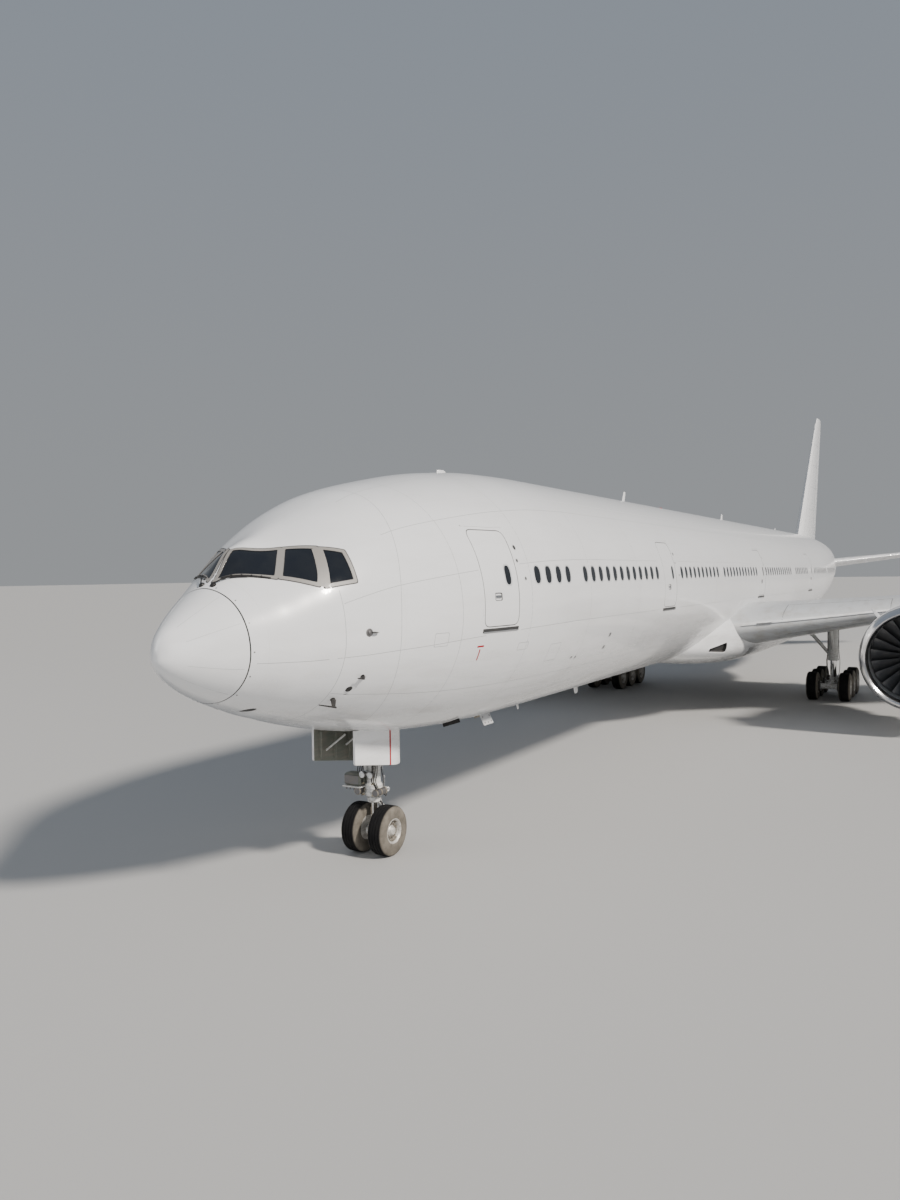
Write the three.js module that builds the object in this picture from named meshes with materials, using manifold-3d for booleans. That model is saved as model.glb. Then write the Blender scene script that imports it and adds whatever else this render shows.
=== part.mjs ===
// A long twin-engined wide body airliner, parked on its landing gear, as a half size model.
// Full-size dimensions are in metres. at() turns them into model millimetres, +Z up, nose towards -Y.
// "out" is the distance from the centre plane to port (+X), "aft" the distance behind the nose tip,
// "up" the height above the ground.

import * as THREE from 'three';
import { mergeVertices } from 'three/addons/utils/BufferGeometryUtils.js';
import Module from 'manifold-3d';

const wasm = await Module();
wasm.setup();

// Scale and clearances

const SCALE = 1 / 2;
const MM = 1000 * SCALE;              // model millimetres in one full-size metre
const SEAT = 0.3;                     // mm between pieces that touch
const FREE = 5;                       // mm between pieces that move past each other
const WELD = 1e-3;                    // mm within which vertices are one

// Whole aeroplane, full-size metres

const LENGTH = 73.86;
const AXIS_UP = 5.6;                  // height of the cabin's centre line
const SKIN = 0.08;                    // thickness of doors and window panes
const CABIN = { from: 0.75, to: 66 }; // the stretch of the fuselage that has them
const RADOME_AFT = 1.1;
const BODY_LENGTH = 73.08;
const BODY_SIDES = 36;
const CREST_SPREAD = 0.25;            // how far the crest over the flight deck reaches round, radians

// Fuselage sections. Heights are measured from the cabin's centre line. The crest is the share by which
// the middle of the crown stands above the plain curve.
const BODY = table(['aft', 'top', 'bottom', 'half', 'widest', 'fullness', 'crest'], [
  [0.00, -0.80, -0.80, 0.00, -0.80, 2.00, 0.000],
  [0.10, -0.44, -1.02, 0.23, -0.80, 2.10, 0.000],
  [0.35, -0.21, -1.24, 0.48, -0.79, 2.10, 0.000],
  [0.75, 0.08, -1.49, 0.80, -0.77, 2.10, 0.000],
  [1.30, 0.44, -1.74, 1.17, -0.73, 2.05, 0.030],
  [1.70, 0.72, -1.89, 1.41, -0.70, 2.05, 0.176],
  [2.05, 0.95, -2.02, 1.60, -0.67, 2.15, 0.120],
  [2.45, 1.20, -2.14, 1.81, -0.62, 2.25, 0.060],
  [3.05, 1.57, -2.32, 2.05, -0.55, 2.30, 0.020],
  [3.65, 1.91, -2.47, 2.24, -0.47, 2.25, 0.000],
  [4.45, 2.24, -2.64, 2.45, -0.38, 2.15, 0.000],
  [5.85, 2.57, -2.87, 2.74, -0.22, 2.05, 0.000],
  [7.85, 2.90, -3.03, 2.99, -0.08, 2.00, 0.000],
  [9.85, 3.06, -3.09, 3.08, -0.02, 2.00, 0.000],
  [11.85, 3.10, -3.10, 3.10, 0.00, 2.00, 0.000],
  [47.85, 3.10, -3.10, 3.10, 0.00, 2.00, 0.000],
  [51.85, 3.10, -2.90, 3.09, 0.05, 2.00, 0.000],
  [55.85, 3.10, -2.35, 2.98, 0.25, 2.00, 0.000],
  [59.85, 3.05, -1.60, 2.70, 0.55, 2.00, 0.000],
  [63.85, 2.92, -0.75, 2.22, 0.95, 2.00, 0.000],
  [67.85, 2.68, 0.15, 1.50, 1.35, 2.00, 0.000],
  [70.85, 2.42, 0.80, 0.80, 1.60, 2.00, 0.000],
  [73.08, 2.20, 1.25, 0.12, 1.70, 2.00, 0.000],
]);

// Belly fairing under and round the wing roots, heights above the ground
const FAIRING_SIDES = 24;
const FAIRING = table(['aft', 'top', 'bottom', 'half', 'widest', 'fullness'], [
  [24.0, 4.10, 2.72, 1.60, 3.30, 2.60],
  [25.5, 4.35, 2.47, 2.40, 3.30, 2.80],
  [27.5, 4.60, 2.26, 3.05, 3.35, 3.00],
  [30.0, 4.75, 2.12, 3.35, 3.40, 3.00],
  [34.0, 4.80, 2.08, 3.45, 3.40, 3.00],
  [39.5, 4.75, 2.08, 3.42, 3.40, 3.00],
  [42.5, 4.60, 2.20, 3.15, 3.35, 3.00],
  [45.0, 4.35, 2.45, 2.40, 3.30, 2.80],
  [47.0, 4.10, 2.75, 1.50, 3.30, 2.60],
]);

// Flight deck panes, port side. Corners are [aft, out, up above the cabin's centre line].
const PANES = table(['name', 'lowInner', 'lowOuter', 'highOuter', 'highInner'], [
  ['windshield', [1.34, 0.085, 0.52], [1.84, 0.92, 0.52], [2.28, 0.66, 1.00], [1.72, 0.085, 0.94]],
  ['sliding_window', [1.93, 1.02, 0.51], [2.35, 1.50, 0.40], [2.64, 1.17, 1.00], [2.35, 0.76, 1.01]],
  ['aft_window', [2.47, 1.60, 0.37], [2.95, 1.84, 0.45], [2.98, 1.55, 0.94], [2.74, 1.28, 1.00]],
]);

// Passenger doors, one of each on either side
const DOOR = { width: 1.25, height: 2.01, sill: -0.57, radius: 0.18 };
const DOOR_AFT = [6.795, 18.2, 32.4, 46.4, 60.3];
const DOOR_CUT = { inner: 1.0, outer: 3.6 };   // how far out from the centre plane the cuts for doors reach

// Cargo doors, starboard side, hinged at the top. Heights from the cabin's centre line.
const CARGO = { width: 2.70, top: -0.42, bottom: -2.12, radius: 0.12, knuckle: 0.03, openDeg: 130 };
const CARGO_DOORS = table(['name', 'aft'], [
  ['cargo_door_forward', 12.6],
  ['cargo_door_aft', 50.2],
]);

// Wing stations, heights at the leading edge
const WING = table(['out', 'aft', 'chord', 'up', 'thickness', 'twistDeg'], [
  [2.0, 26.73, 14.60, 3.72, 0.135, 1.5],
  [3.1, 27.50, 13.50, 3.80, 0.135, 1.5],
  [6.5, 29.88, 11.00, 4.15, 0.122, 1.2],
  [9.8, 32.19, 8.60, 4.52, 0.112, 0.8],
  [16.0, 36.53, 6.88, 5.22, 0.103, 0.2],
  [23.0, 41.43, 4.95, 6.10, 0.098, -0.6],
  [30.4, 46.61, 2.90, 7.12, 0.095, -1.2],
  [31.6, 47.82, 1.98, 7.33, 0.095, -1.4],
  [32.4, 49.05, 0.95, 7.46, 0.095, -1.5],
]);

// Pieces of the wing's trailing edge: where they lie along the span, and their front edge in the chord
const FLAPS = table(['name', 'inner', 'outer', 'front'], [
  ['inboard_flap', 3.95, 8.55, 0.80],
  ['outboard_flap', 11.3, 22.3, 0.77],
]);
const AILERONS = table(['name', 'inner', 'outer', 'front', 'downDeg', 'upDeg'], [
  ['flaperon', 9.0, 10.7, 0.80, 30, 12],
  ['aileron', 22.6, 28.6, 0.76, 20, 25],
]);
const TRACK_FAIRINGS = table(['out', 'length', 'radius'], [
  [12.6, 4.6, 0.34],
  [16.6, 4.3, 0.31],
  [20.8, 3.9, 0.28],
  [7.2, 3.4, 0.30],
]);

// Tail surfaces
const STABILISER = table(['out', 'aft', 'chord', 'up', 'thickness', 'twistDeg'], [
  [0.4, 62.72, 7.10, 6.50, 0.10, 0],
  [1.9, 63.95, 6.40, 6.68, 0.10, 0],
  [10.3, 71.00, 2.70, 7.72, 0.09, 0],
  [10.76, 71.95, 1.91, 7.78, 0.09, 0],
]);
const ELEVATOR = { inner: 2.0, outer: 10.15, front: 0.74, downDeg: 25, upDeg: 30 };
const FIN = table(['up', 'aft', 'chord', 'thickness'], [
  [7.6, 59.55, 9.10, 0.10],
  [9.0, 61.10, 8.10, 0.10],
  [17.9, 69.25, 2.95, 0.09],
  [18.6, 70.25, 2.05, 0.09],
]);
const RUDDER = { inner: 9.0, outer: 17.8, front: 0.70, swingDeg: 27, endGap: 36 };

// Hinges of the control surfaces. The pins' size and the lip of the cove are parts of the nose's radius.
const HINGE = { sides: 12, pinLength: 0.2, pinSize: 0.4, lip: 0.55 };

// Engines
const ENGINE = { out: 9.61, aft: 26.0, up: 2.87, sides: 24, coreSides: 16 };
// Cowl ring, distance behind the intake lip and radius: outer skin from the lip aft, then the duct forward
const COWL = table(['aft', 'radius'], [
  [0.00, 1.72],
  [0.08, 1.81],
  [0.40, 1.91],
  [1.20, 1.97],
  [2.60, 1.97],
  [4.20, 1.81],
  [5.30, 1.58],
  [5.30, 1.54],
  [4.00, 1.63],
  [2.60, 1.645],
  [1.10, 1.645],
  [0.40, 1.59],
  [0.08, 1.65],
]);
const COWL_SKIN_ROWS = 7;             // rows of the cowl's outer skin, before the duct's
// Engine core: distance behind the intake lip and radius
const CORE = table(['aft', 'radius'], [
  [2.05, 0.00],
  [2.05, 0.70],
  [2.60, 0.86],
  [3.60, 1.10],
  [4.80, 1.12],
  [5.80, 0.98],
  [6.50, 0.78],
  [6.50, 0.60],
  [6.90, 0.50],
  [7.45, 0.22],
  [7.55, 0.00],
]);
const FAN = { tip: 1.61, root: 0.50, blades: 22, front: 1.28, back: 1.86, spinner: 0.72 };
const SHAFT = { radius: 0.14, length: 0.4 };
const GUIDE_VANES = { count: 8, front: 2.75, back: 3.25, thickness: 0.05 };
const PYLON_HALF = 0.24;

// Landing gear
const NOSE_GEAR = { aft: 6.08, wheelOut: 0.35, radius: 0.546, width: 0.40, rim: 0.235, steerDeg: 70 };
const NOSE_LEG = { foot: 1.28, top: 3.55, radius: 0.155, collarTop: 1.55, collarRadius: 0.20 };
const NOSE_BRACE = { low: 1.95, high: 3.4, ahead: 0.78, radius: 0.07 };
const NOSE_PISTON = { top: 1.62, radius: 0.085, axleHalf: 0.12 };
const NOSE_BAY = { ahead: 0.38, up: 3.0, width: 0.96, length: 1.9, height: 1.1 };
// Outer face of a nose gear door, seen from above: how far out and aft. Its foot slopes down towards the tail.
const NOSE_DOOR = table(['out', 'aft', 'foot'], [
  [0.555, 4.65, 2.25],
  [0.555, 5.85, 2.04],
  [0.525, 6.20, 1.98],
  [0.455, 6.45, 1.96],
]);
const NOSE_DOOR_TOP = 3.0;
const NOSE_DOOR_THICKNESS = 0.05;
const MAIN_GEAR = { aft: 36.97, out: 5.485, wheelOut: 0.70, pitch: 1.47, radius: 0.66, width: 0.52, rim: 0.30, steerDeg: 8 };
const MAIN_LEG = { pistonTop: 2.0, pistonRadius: 0.15, foot: 1.75, top: 4.4, radius: 0.235 };
const SIDE_BRACE = { low: 1.95, high: 3.9, inward: 1.75, ahead: 0.1, radius: 0.09 };
const DRAG_BRACE = { low: 2.2, high: 4.3, ahead: 2.0, radius: 0.10 };
const TRUCK = { width: 0.26, height: 0.30, shift: 0.34, short: 0.4, axleHalf: 0.36 };
const STEERED_AXLE = { pinRadius: 0.07, reach: 0.2, plateAft: 0.29, webAft: 0.59 };
const WHEEL_SIDES = 16;
const STRUT_SIDES = 8;
const AXLE_RADIUS = 0.075;
const HUB_RADIUS = 0.13;

// Jacking pads: round bosses with a flat underside. "face" is the height of that face.
const JACK_RADIUS = 0.14;
const WING_JACK = { out: 7.6, aft: 35.6, face: 3.66, top: 4.1 };
const NOSE_JACK = { aft: 8.9, face: 2.44, top: 2.8 };

// Finishes

const FINISH = {
  white: { color: 0xe9ebee, roughness: 0.3, metalness: 0.0 },
  radome: { color: 0xdfe2e6, roughness: 0.35, metalness: 0.0 },
  grey: { color: 0xb9bdc2, roughness: 0.4, metalness: 0.1 },
  glass: { color: 0x15181c, roughness: 0.08, metalness: 0.0 },
  metal: { color: 0x9aa0a6, roughness: 0.35, metalness: 0.8 },
  gear: { color: 0xd8dadc, roughness: 0.45, metalness: 0.1 },
  fan: { color: 0x4a4e54, roughness: 0.35, metalness: 0.6 },
  rubber: { color: 0x1b1b1c, roughness: 0.85, metalness: 0.0 },
};

// Small tools

function table(columns, rows) {
  return rows.map((row) => Object.fromEntries(columns.map((name, i) => [name, row[i]])));
}

function at(out, aft, up) {
  return new THREE.Vector3(out * MM, (aft - LENGTH / 2) * MM, up * MM);
}

function rad(degrees) {
  return THREE.MathUtils.degToRad(degrees);
}

// Slopes of a smooth curve through a table that never overshoots its rows
function slopes(xs, ys) {
  const steep = xs.slice(1).map((x, i) => (ys[i + 1] - ys[i]) / (x - xs[i]));
  const out = [steep[0]];
  for (let i = 1; i < steep.length; i += 1) {
    const product = steep[i - 1] * steep[i];
    out.push(product > 0 ? (2 * product) / (steep[i - 1] + steep[i]) : 0);
  }
  out.push(steep[steep.length - 1]);
  return out;
}

function curveThrough(xs, ys) {
  const tangent = slopes(xs, ys);
  return (x) => {
    let i = xs.findIndex((value) => value >= x) - 1;
    i = i < -1 ? xs.length - 2 : Math.max(i, 0);
    const width = xs[i + 1] - xs[i];
    const t = (x - xs[i]) / width;
    const t2 = t * t;
    const t3 = t2 * t;
    return ys[i] * (2 * t3 - 3 * t2 + 1) + ys[i + 1] * (3 * t2 - 2 * t3)
      + width * (tangent[i] * (t3 - 2 * t2 + t) + tangent[i + 1] * (t3 - t2));
  };
}

// Reads a table at any place in one of its columns, curved or in straight lines
function reader(rows, key, curved) {
  const xs = rows.map((row) => row[key]);
  const names = Object.keys(rows[0]).filter((name) => name !== key);
  const curves = names.map((name) => {
    const ys = rows.map((row) => row[name]);
    return curved ? curveThrough(xs, ys) : straightThrough(xs, ys);
  });
  return (x) => ({ [key]: x, ...Object.fromEntries(names.map((name, i) => [name, curves[i](x)])) });
}

function straightThrough(xs, ys) {
  return (x) => {
    let i = xs.findIndex((value) => value >= x) - 1;
    i = i < -1 ? xs.length - 2 : Math.max(i, 0);
    return ys[i] + ((ys[i + 1] - ys[i]) * (x - xs[i])) / (xs[i + 1] - xs[i]);
  };
}

// Solids

function toSolid(positions, triangles) {
  const a = new THREE.Vector3();
  const b = new THREE.Vector3();
  const c = new THREE.Vector3();
  let volume = 0;
  for (const [i, j, k] of triangles) {
    volume += a.copy(positions[i]).dot(b.copy(positions[j]).cross(c.copy(positions[k])));
  }
  const faces = volume < 0 ? triangles.map(([i, j, k]) => [i, k, j]) : triangles;
  return new wasm.Manifold(new wasm.Mesh({
    numProp: 3,
    vertProperties: new Float32Array(positions.flatMap((point) => point.toArray())),
    triVerts: new Uint32Array(faces.flat()),
  }));
}

function fromGeometry(geometry) {
  geometry.deleteAttribute('normal');
  geometry.deleteAttribute('uv');
  const merged = mergeVertices(geometry, WELD);
  const place = merged.attributes.position;
  const positions = Array.from({ length: place.count }, (_, i) => new THREE.Vector3().fromBufferAttribute(place, i));
  const index = merged.index.array;
  const triangles = [];
  for (let i = 0; i < index.length; i += 3) {
    const corners = [index[i], index[i + 1], index[i + 2]];
    if (new Set(corners).size === 3) {
      triangles.push(corners);
    }
  }
  return toSolid(positions, triangles);
}

function capTriangles(ring, first) {
  const normal = new THREE.Vector3();
  ring.forEach((point, i) => {
    const next = ring[(i + 1) % ring.length];
    normal.x += (point.y - next.y) * (point.z + next.z);
    normal.y += (point.z - next.z) * (point.x + next.x);
    normal.z += (point.x - next.x) * (point.y + next.y);
  });
  normal.normalize();
  const helper = Math.abs(normal.x) < 0.7 ? new THREE.Vector3(1, 0, 0) : new THREE.Vector3(0, 1, 0);
  const u = helper.cross(normal).normalize();
  const v = normal.clone().cross(u);
  const flat = ring.map((point) => new THREE.Vector2(point.dot(u), point.dot(v)));
  return THREE.ShapeUtils.triangulateShape(flat, []).map((face) => face.map((i) => first + i));
}

// Skins a list of rings, each with the same number of points. A ring of one point is a tip.
function loft(rings) {
  const positions = [];
  const starts = rings.map((ring) => {
    const first = positions.length;
    positions.push(...ring);
    return first;
  });
  const triangles = [];
  for (let r = 0; r + 1 < rings.length; r += 1) {
    const [from, to] = [rings[r], rings[r + 1]];
    const count = Math.max(from.length, to.length);
    for (let i = 0; i < count; i += 1) {
      const next = (i + 1) % count;
      const a = starts[r] + (from.length > 1 ? i : 0);
      const b = starts[r] + (from.length > 1 ? next : 0);
      const c = starts[r + 1] + (to.length > 1 ? next : 0);
      const d = starts[r + 1] + (to.length > 1 ? i : 0);
      if (from.length > 1) {
        triangles.push([a, b, c]);
      }
      if (to.length > 1) {
        triangles.push([a, c, d]);
      }
    }
  }
  const last = rings.length - 1;
  if (rings[0].length > 1) {
    triangles.push(...capTriangles(rings[0], starts[0]).map(([i, j, k]) => [i, k, j]));
  }
  if (rings[last].length > 1) {
    triangles.push(...capTriangles(rings[last], starts[last]));
  }
  return toSolid(positions, triangles);
}

// A straight or tapered round bar between two points
function rod(from, to, radius, endRadius = radius, sides = 14, turn = 0) {
  const along = to.clone().sub(from);
  const geometry = new THREE.CylinderGeometry(endRadius, radius, along.length(), sides, 1, false, turn);
  geometry.applyQuaternion(new THREE.Quaternion().setFromUnitVectors(new THREE.Vector3(0, 1, 0), along.clone().normalize()));
  geometry.translate(...from.clone().add(to).multiplyScalar(0.5).toArray());
  return fromGeometry(geometry);
}

// A slim brace of the landing gear
function strut(from, to, radius) {
  return rod(from, to, radius * MM, radius * MM, STRUT_SIDES);
}

// The hole that a round bar turns in: its flats clear the bar's corners, and half a flat out of step
function socket(from, to, radius, endRadius = radius, sides = 14) {
  const [start, end] = [radius, endRadius].map((r) => (r + 1.5 * SEAT) / Math.cos(Math.PI / sides));
  return rod(from, to, start, end, sides, Math.PI / sides);
}

function block(low, high) {
  const size = high.clone().sub(low);
  const geometry = new THREE.BoxGeometry(Math.abs(size.x), Math.abs(size.y), Math.abs(size.z));
  geometry.translate(...low.clone().add(high).multiplyScalar(0.5).toArray());
  return fromGeometry(geometry);
}

// A block given by its centre and size in full-size metres
function brick(out, aft, up, width, length, height) {
  return block(
    at(out - width / 2, aft - length / 2, up - height / 2),
    at(out + width / 2, aft + length / 2, up + height / 2),
  );
}

// Turns a profile of { x: along, y: radius } about the +Y axis of the model
function turned(profile, sides, turn = 0) {
  const geometry = new THREE.LatheGeometry(profile.map(({ along, radius }) => new THREE.Vector2(radius, along)), sides, turn);
  return fromGeometry(geometry);
}

function joined(solids) {
  return solids.reduce((whole, piece) => whole.add(piece));
}

function cut(solid, ...tools) {
  return tools.reduce((left, tool) => left.subtract(tool), solid);
}

// The biggest of the pieces that a cut leaves
function biggest(solid) {
  return solid.decompose().reduce((best, piece) => (piece.volume() > best.volume() ? piece : best));
}

// Scene graph

const airliner = new THREE.Group();
airliner.userData.hinges = {};

function addPart(name, finish, solid, place = new THREE.Vector3(), parent = airliner) {
  const mesh = solid.getMesh();
  const geometry = new THREE.BufferGeometry();
  geometry.setAttribute('position', new THREE.BufferAttribute(mesh.vertProperties.slice(), 3));
  geometry.setIndex(new THREE.BufferAttribute(mesh.triVerts.slice(), 1));
  geometry.computeVertexNormals();
  const part = new THREE.Mesh(geometry, new THREE.MeshStandardMaterial(FINISH[finish]));
  part.name = name;
  part.position.copy(place);
  parent.add(part);
  return part;
}

// Notes a hinge line in model millimetres, from one end to the other
function noteHinge(name, from, to, lowDeg, highDeg) {
  airliner.userData.hinges[name] = { from: from.toArray(), to: to.toArray(), lowDeg, highDeg };
}

// Fuselage

const bodyAt = reader(BODY.map((row) => ({ ...row, root: Math.sqrt(row.aft) })), 'root', true);
const fairingAt = reader(FAIRING, 'aft', true);

function evenAngles(sides) {
  return Array.from({ length: sides }, (_, i) => (2 * Math.PI * (i + 0.5)) / sides);
}

// One more point at the very top, where the crest stands highest
const BODY_ANGLES = [0, ...evenAngles(BODY_SIDES)];
const FAIRING_ANGLES = evenAngles(FAIRING_SIDES);

function superellipse(row, angles, baseUp, offset) {
  return angles.map((angle) => {
    const [s, c] = [Math.sin(angle), Math.cos(angle)];
    const power = c > 0 || row.wholeFullness ? 2 / row.fullness : 1;
    const reach = c > 0 ? row.top + offset - row.widest : row.widest - row.bottom + offset;
    const out = (row.half + offset) * Math.sign(s) * Math.abs(s) ** power;
    const rise = Math.sign(c) * reach * Math.abs(c) ** power;
    const share = 1 + (row.crest ?? 0) * Math.exp(-((Math.atan2(Math.abs(out), rise) / CREST_SPREAD) ** 2));
    return at(out * share, row.aft, baseUp + row.widest + rise * share);
  });
}

function bodyRing(aft, offset) {
  const row = bodyAt(Math.sqrt(aft));
  return superellipse({ ...row, aft }, BODY_ANGLES, AXIS_UP, offset);
}

// Stations between two places: close together at the nose, one long barrel, then the tapered tail
function stations(from, to) {
  const all = [0.05, 0.15, 0.35, 0.7, 1.05, 1.3, 1.5, 1.72, 2.05, 2.45, 3.0, 3.7, 4.7, 6.0, 8.0, 10.0, 12.0,
    47.8, 51, 54, 57, 60, 63, 66, 69, 71.5];
  return [from, ...all.filter((aft) => aft > from + 0.02 && aft < to - 0.02), to];
}

function bodySolid(from, to, offset) {
  const rings = stations(from, to).map((aft) => (aft === 0 ? [at(0, 0, AXIS_UP + BODY[0].top)] : bodyRing(aft, offset)));
  return loft(rings);
}

function fairingSolid(offset) {
  const steps = 10;
  const [first, last] = [FAIRING[0].aft, FAIRING[FAIRING.length - 1].aft];
  const rings = Array.from({ length: steps + 1 }, (_, i) => {
    const row = fairingAt(first + ((last - first) * i) / steps);
    return superellipse({ ...row, wholeFullness: true }, FAIRING_ANGLES, 0, offset);
  });
  return loft(rings);
}

const SEAT_M = SEAT / MM;
const bodyCore = bodySolid(CABIN.from, CABIN.to, -SKIN);
const deepCore = bodySolid(CABIN.from, CABIN.to, -SKIN - SEAT_M);
const bodyWhole = bodySolid(0, BODY_LENGTH, 0);
const bodyClear = bodySolid(0, BODY_LENGTH, SEAT_M);

// Door and pane outlines pushed through the skin

function roundedRectangle(width, height, radius, clearance) {
  const shape = [];
  const arcSteps = 2;
  const [a, b, r] = [width / 2 + clearance, height / 2 + clearance, radius + clearance];
  const corners = [[1, 1, 0], [-1, 1, 1], [-1, -1, 2], [1, -1, 3]];
  for (const [sx, sy, quarter] of corners) {
    for (let i = 0; i <= arcSteps; i += 1) {
      const angle = ((quarter + i / arcSteps) * Math.PI) / 2;
      shape.push([sx * (a - r) + r * Math.cos(angle), sy * (b - r) + r * Math.sin(angle)]);
    }
  }
  return shape;
}

function doorPrism(side, aft, up, width, height, radius, clearance) {
  const outline = roundedRectangle(width, height, radius, clearance);
  const ring = (out) => outline.map(([x, z]) => at(side * out, aft + x, up + z));
  return loft([ring(DOOR_CUT.inner), ring(DOOR_CUT.outer)]);
}

function panePrism(side, pane, clearance) {
  const corners = [pane.lowInner, pane.lowOuter, pane.highOuter, pane.highInner];
  const points = corners.map(([aft, out, up]) => at(side * out, aft, AXIS_UP + up));
  const centre = points.reduce((sum, p) => sum.add(p), new THREE.Vector3()).divideScalar(points.length);
  const normal = points[2].clone().sub(points[0]).cross(points[3].clone().sub(points[1])).normalize();
  const grown = points.map((p) => {
    const spoke = p.clone().sub(centre);
    return p.clone().add(spoke.normalize().multiplyScalar(clearance * 1.4));
  });
  const reach = 0.35 * MM;
  return loft([-reach, reach].map((shift) => grown.map((p) => p.clone().addScaledVector(normal, shift))));
}

let fuselage = bodySolid(RADOME_AFT, BODY_LENGTH, 0);

for (const side of [1, -1]) {
  const hand = side > 0 ? 'left' : 'right';
  for (const pane of PANES) {
    const glass = cut(bodyWhole.intersect(panePrism(side, pane, 0)), bodyCore);
    fuselage = cut(fuselage, cut(panePrism(side, pane, SEAT), deepCore));
    addPart(`${pane.name}_${hand}`, 'glass', biggest(glass));
  }
  DOOR_AFT.forEach((aft, i) => {
    const up = AXIS_UP + DOOR.sill + DOOR.height / 2;
    const panel = cut(bodyWhole.intersect(doorPrism(side, aft, up, DOOR.width, DOOR.height, DOOR.radius, 0)), bodyCore);
    fuselage = cut(fuselage, cut(doorPrism(side, aft, up, DOOR.width, DOOR.height, DOOR.radius, SEAT_M), deepCore));
    addPart(`passenger_door_${i + 1}_${hand}`, 'white', biggest(panel));
  });
}

// Cargo doors swing up about a knuckle along their top edge
for (const { name, aft } of CARGO_DOORS) {
  const height = CARGO.top - CARGO.bottom;
  const up = AXIS_UP + CARGO.bottom + height / 2;
  const row = bodyAt(Math.sqrt(aft));
  const lower = row.widest - row.bottom;
  const hingeOut = row.half * Math.sqrt(1 - ((row.widest - CARGO.top) / lower) ** 2);
  const knuckle = (make, extra) => make(
    at(-hingeOut, aft - CARGO.width / 2 - extra, AXIS_UP + CARGO.top),
    at(-hingeOut, aft + CARGO.width / 2 + extra, AXIS_UP + CARGO.top),
    CARGO.knuckle * MM,
  );
  const freeM = FREE / MM;
  const pocket = bodySolid(CABIN.from, CABIN.to, -SKIN - freeM);
  const hole = cut(doorPrism(-1, aft, up, CARGO.width, height, CARGO.radius, freeM), pocket);
  const panel = cut(bodyWhole.intersect(doorPrism(-1, aft, up, CARGO.width, height, CARGO.radius, 0)), bodyCore);
  fuselage = cut(fuselage, hole, knuckle(socket, SEAT_M));
  addPart(name, 'white', biggest(joined([panel, knuckle(rod, 0)])));
  noteHinge(name, at(-hingeOut, aft - 1, AXIS_UP + CARGO.top), at(-hingeOut, aft + 1, AXIS_UP + CARGO.top), 0, CARGO.openDeg);
}

// Lifting surfaces

const CHORD_STEPS = 8;

// Half thickness of the section at a place in the chord, for a section of unit thickness
function halfThickness(x) {
  return 5 * (0.2969 * Math.sqrt(x) - 0.126 * x - 0.3516 * x ** 2 + 0.2843 * x ** 3 - 0.1015 * x ** 4);
}

function camber(x, amount) {
  return amount * 4 * x * (1 - x);
}

// Points round a section, as fractions of the chord: over the top from the trailing edge, back underneath
function aerofoil(thickness, curve) {
  const xs = Array.from({ length: CHORD_STEPS + 1 }, (_, i) => (1 + Math.cos((Math.PI * i) / CHORD_STEPS)) / 2);
  const upper = xs.map((x) => [x, camber(x, curve) + thickness * halfThickness(x)]);
  const lower = xs.slice(1, -1).reverse().map((x) => [x, camber(x, curve) - thickness * halfThickness(x)]);
  return [...upper, ...lower, [1, -thickness * halfThickness(1)]];
}

const WING_CAMBER = 0.012;
const wingAt = reader(WING, 'out', false);
const stabiliserAt = reader(STABILISER, 'out', false);
const finAt = reader(FIN, 'up', false);

// A point of a wing or stabiliser: x is the place in the chord, z the height above it, in chords
function wingPoint(side, row, x, z) {
  const tilt = rad(row.twistDeg);
  const aft = row.aft + row.chord * (x * Math.cos(tilt) + z * Math.sin(tilt));
  const up = row.up + row.chord * (z * Math.cos(tilt) - x * Math.sin(tilt));
  return at(side * row.out, aft, up);
}

function finPoint(row, x, y) {
  return at(row.chord * y, row.aft + row.chord * x, row.up);
}

function grownSection(thickness, curve, clearance) {
  return aerofoil(thickness, curve).map(([x, z]) => {
    const upper = z >= camber(x, curve) ? 1 : -1;
    const nose = x < 1e-6;
    return [nose ? x - clearance : x + (x > 0.999 ? clearance : 0), nose ? z : z + upper * clearance];
  });
}

function wingSolid(side, rows, curve, clearance) {
  return loft(rows.map((row) => grownSection(row.thickness, curve, clearance / (row.chord * MM))
    .map(([x, z]) => wingPoint(side, row, x, z))));
}

function finSolid(clearance) {
  return loft(FIN.map((row) => grownSection(row.thickness, 0, clearance / (row.chord * MM))
    .map(([x, y]) => finPoint(row, x, y))));
}

function hingeEnds(side, reading, piece, curve) {
  return ['inner', 'outer'].map((end) => {
    const row = reading(piece[end]);
    return {
      point: wingPoint(side, row, piece.front, camber(piece.front, curve)),
      radius: row.chord * row.thickness * halfThickness(piece.front) * MM,
    };
  });
}

function onHinge(ends, t) {
  return {
    point: ends[0].point.clone().lerp(ends[1].point, t),
    radius: THREE.MathUtils.lerp(ends[0].radius, ends[1].radius, t),
  };
}

// A round bar along a hinge line. "from" and "to" are in millimetres from the line's inner end.
function hingeBar(make, ends, from, to, size, grow) {
  const span = ends[0].point.distanceTo(ends[1].point);
  const [a, b] = [from, to].map((distance) => onHinge(ends, distance / span));
  return make(a.point, b.point, a.radius * size + grow, b.radius * size + grow, HINGE.sides);
}

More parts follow.
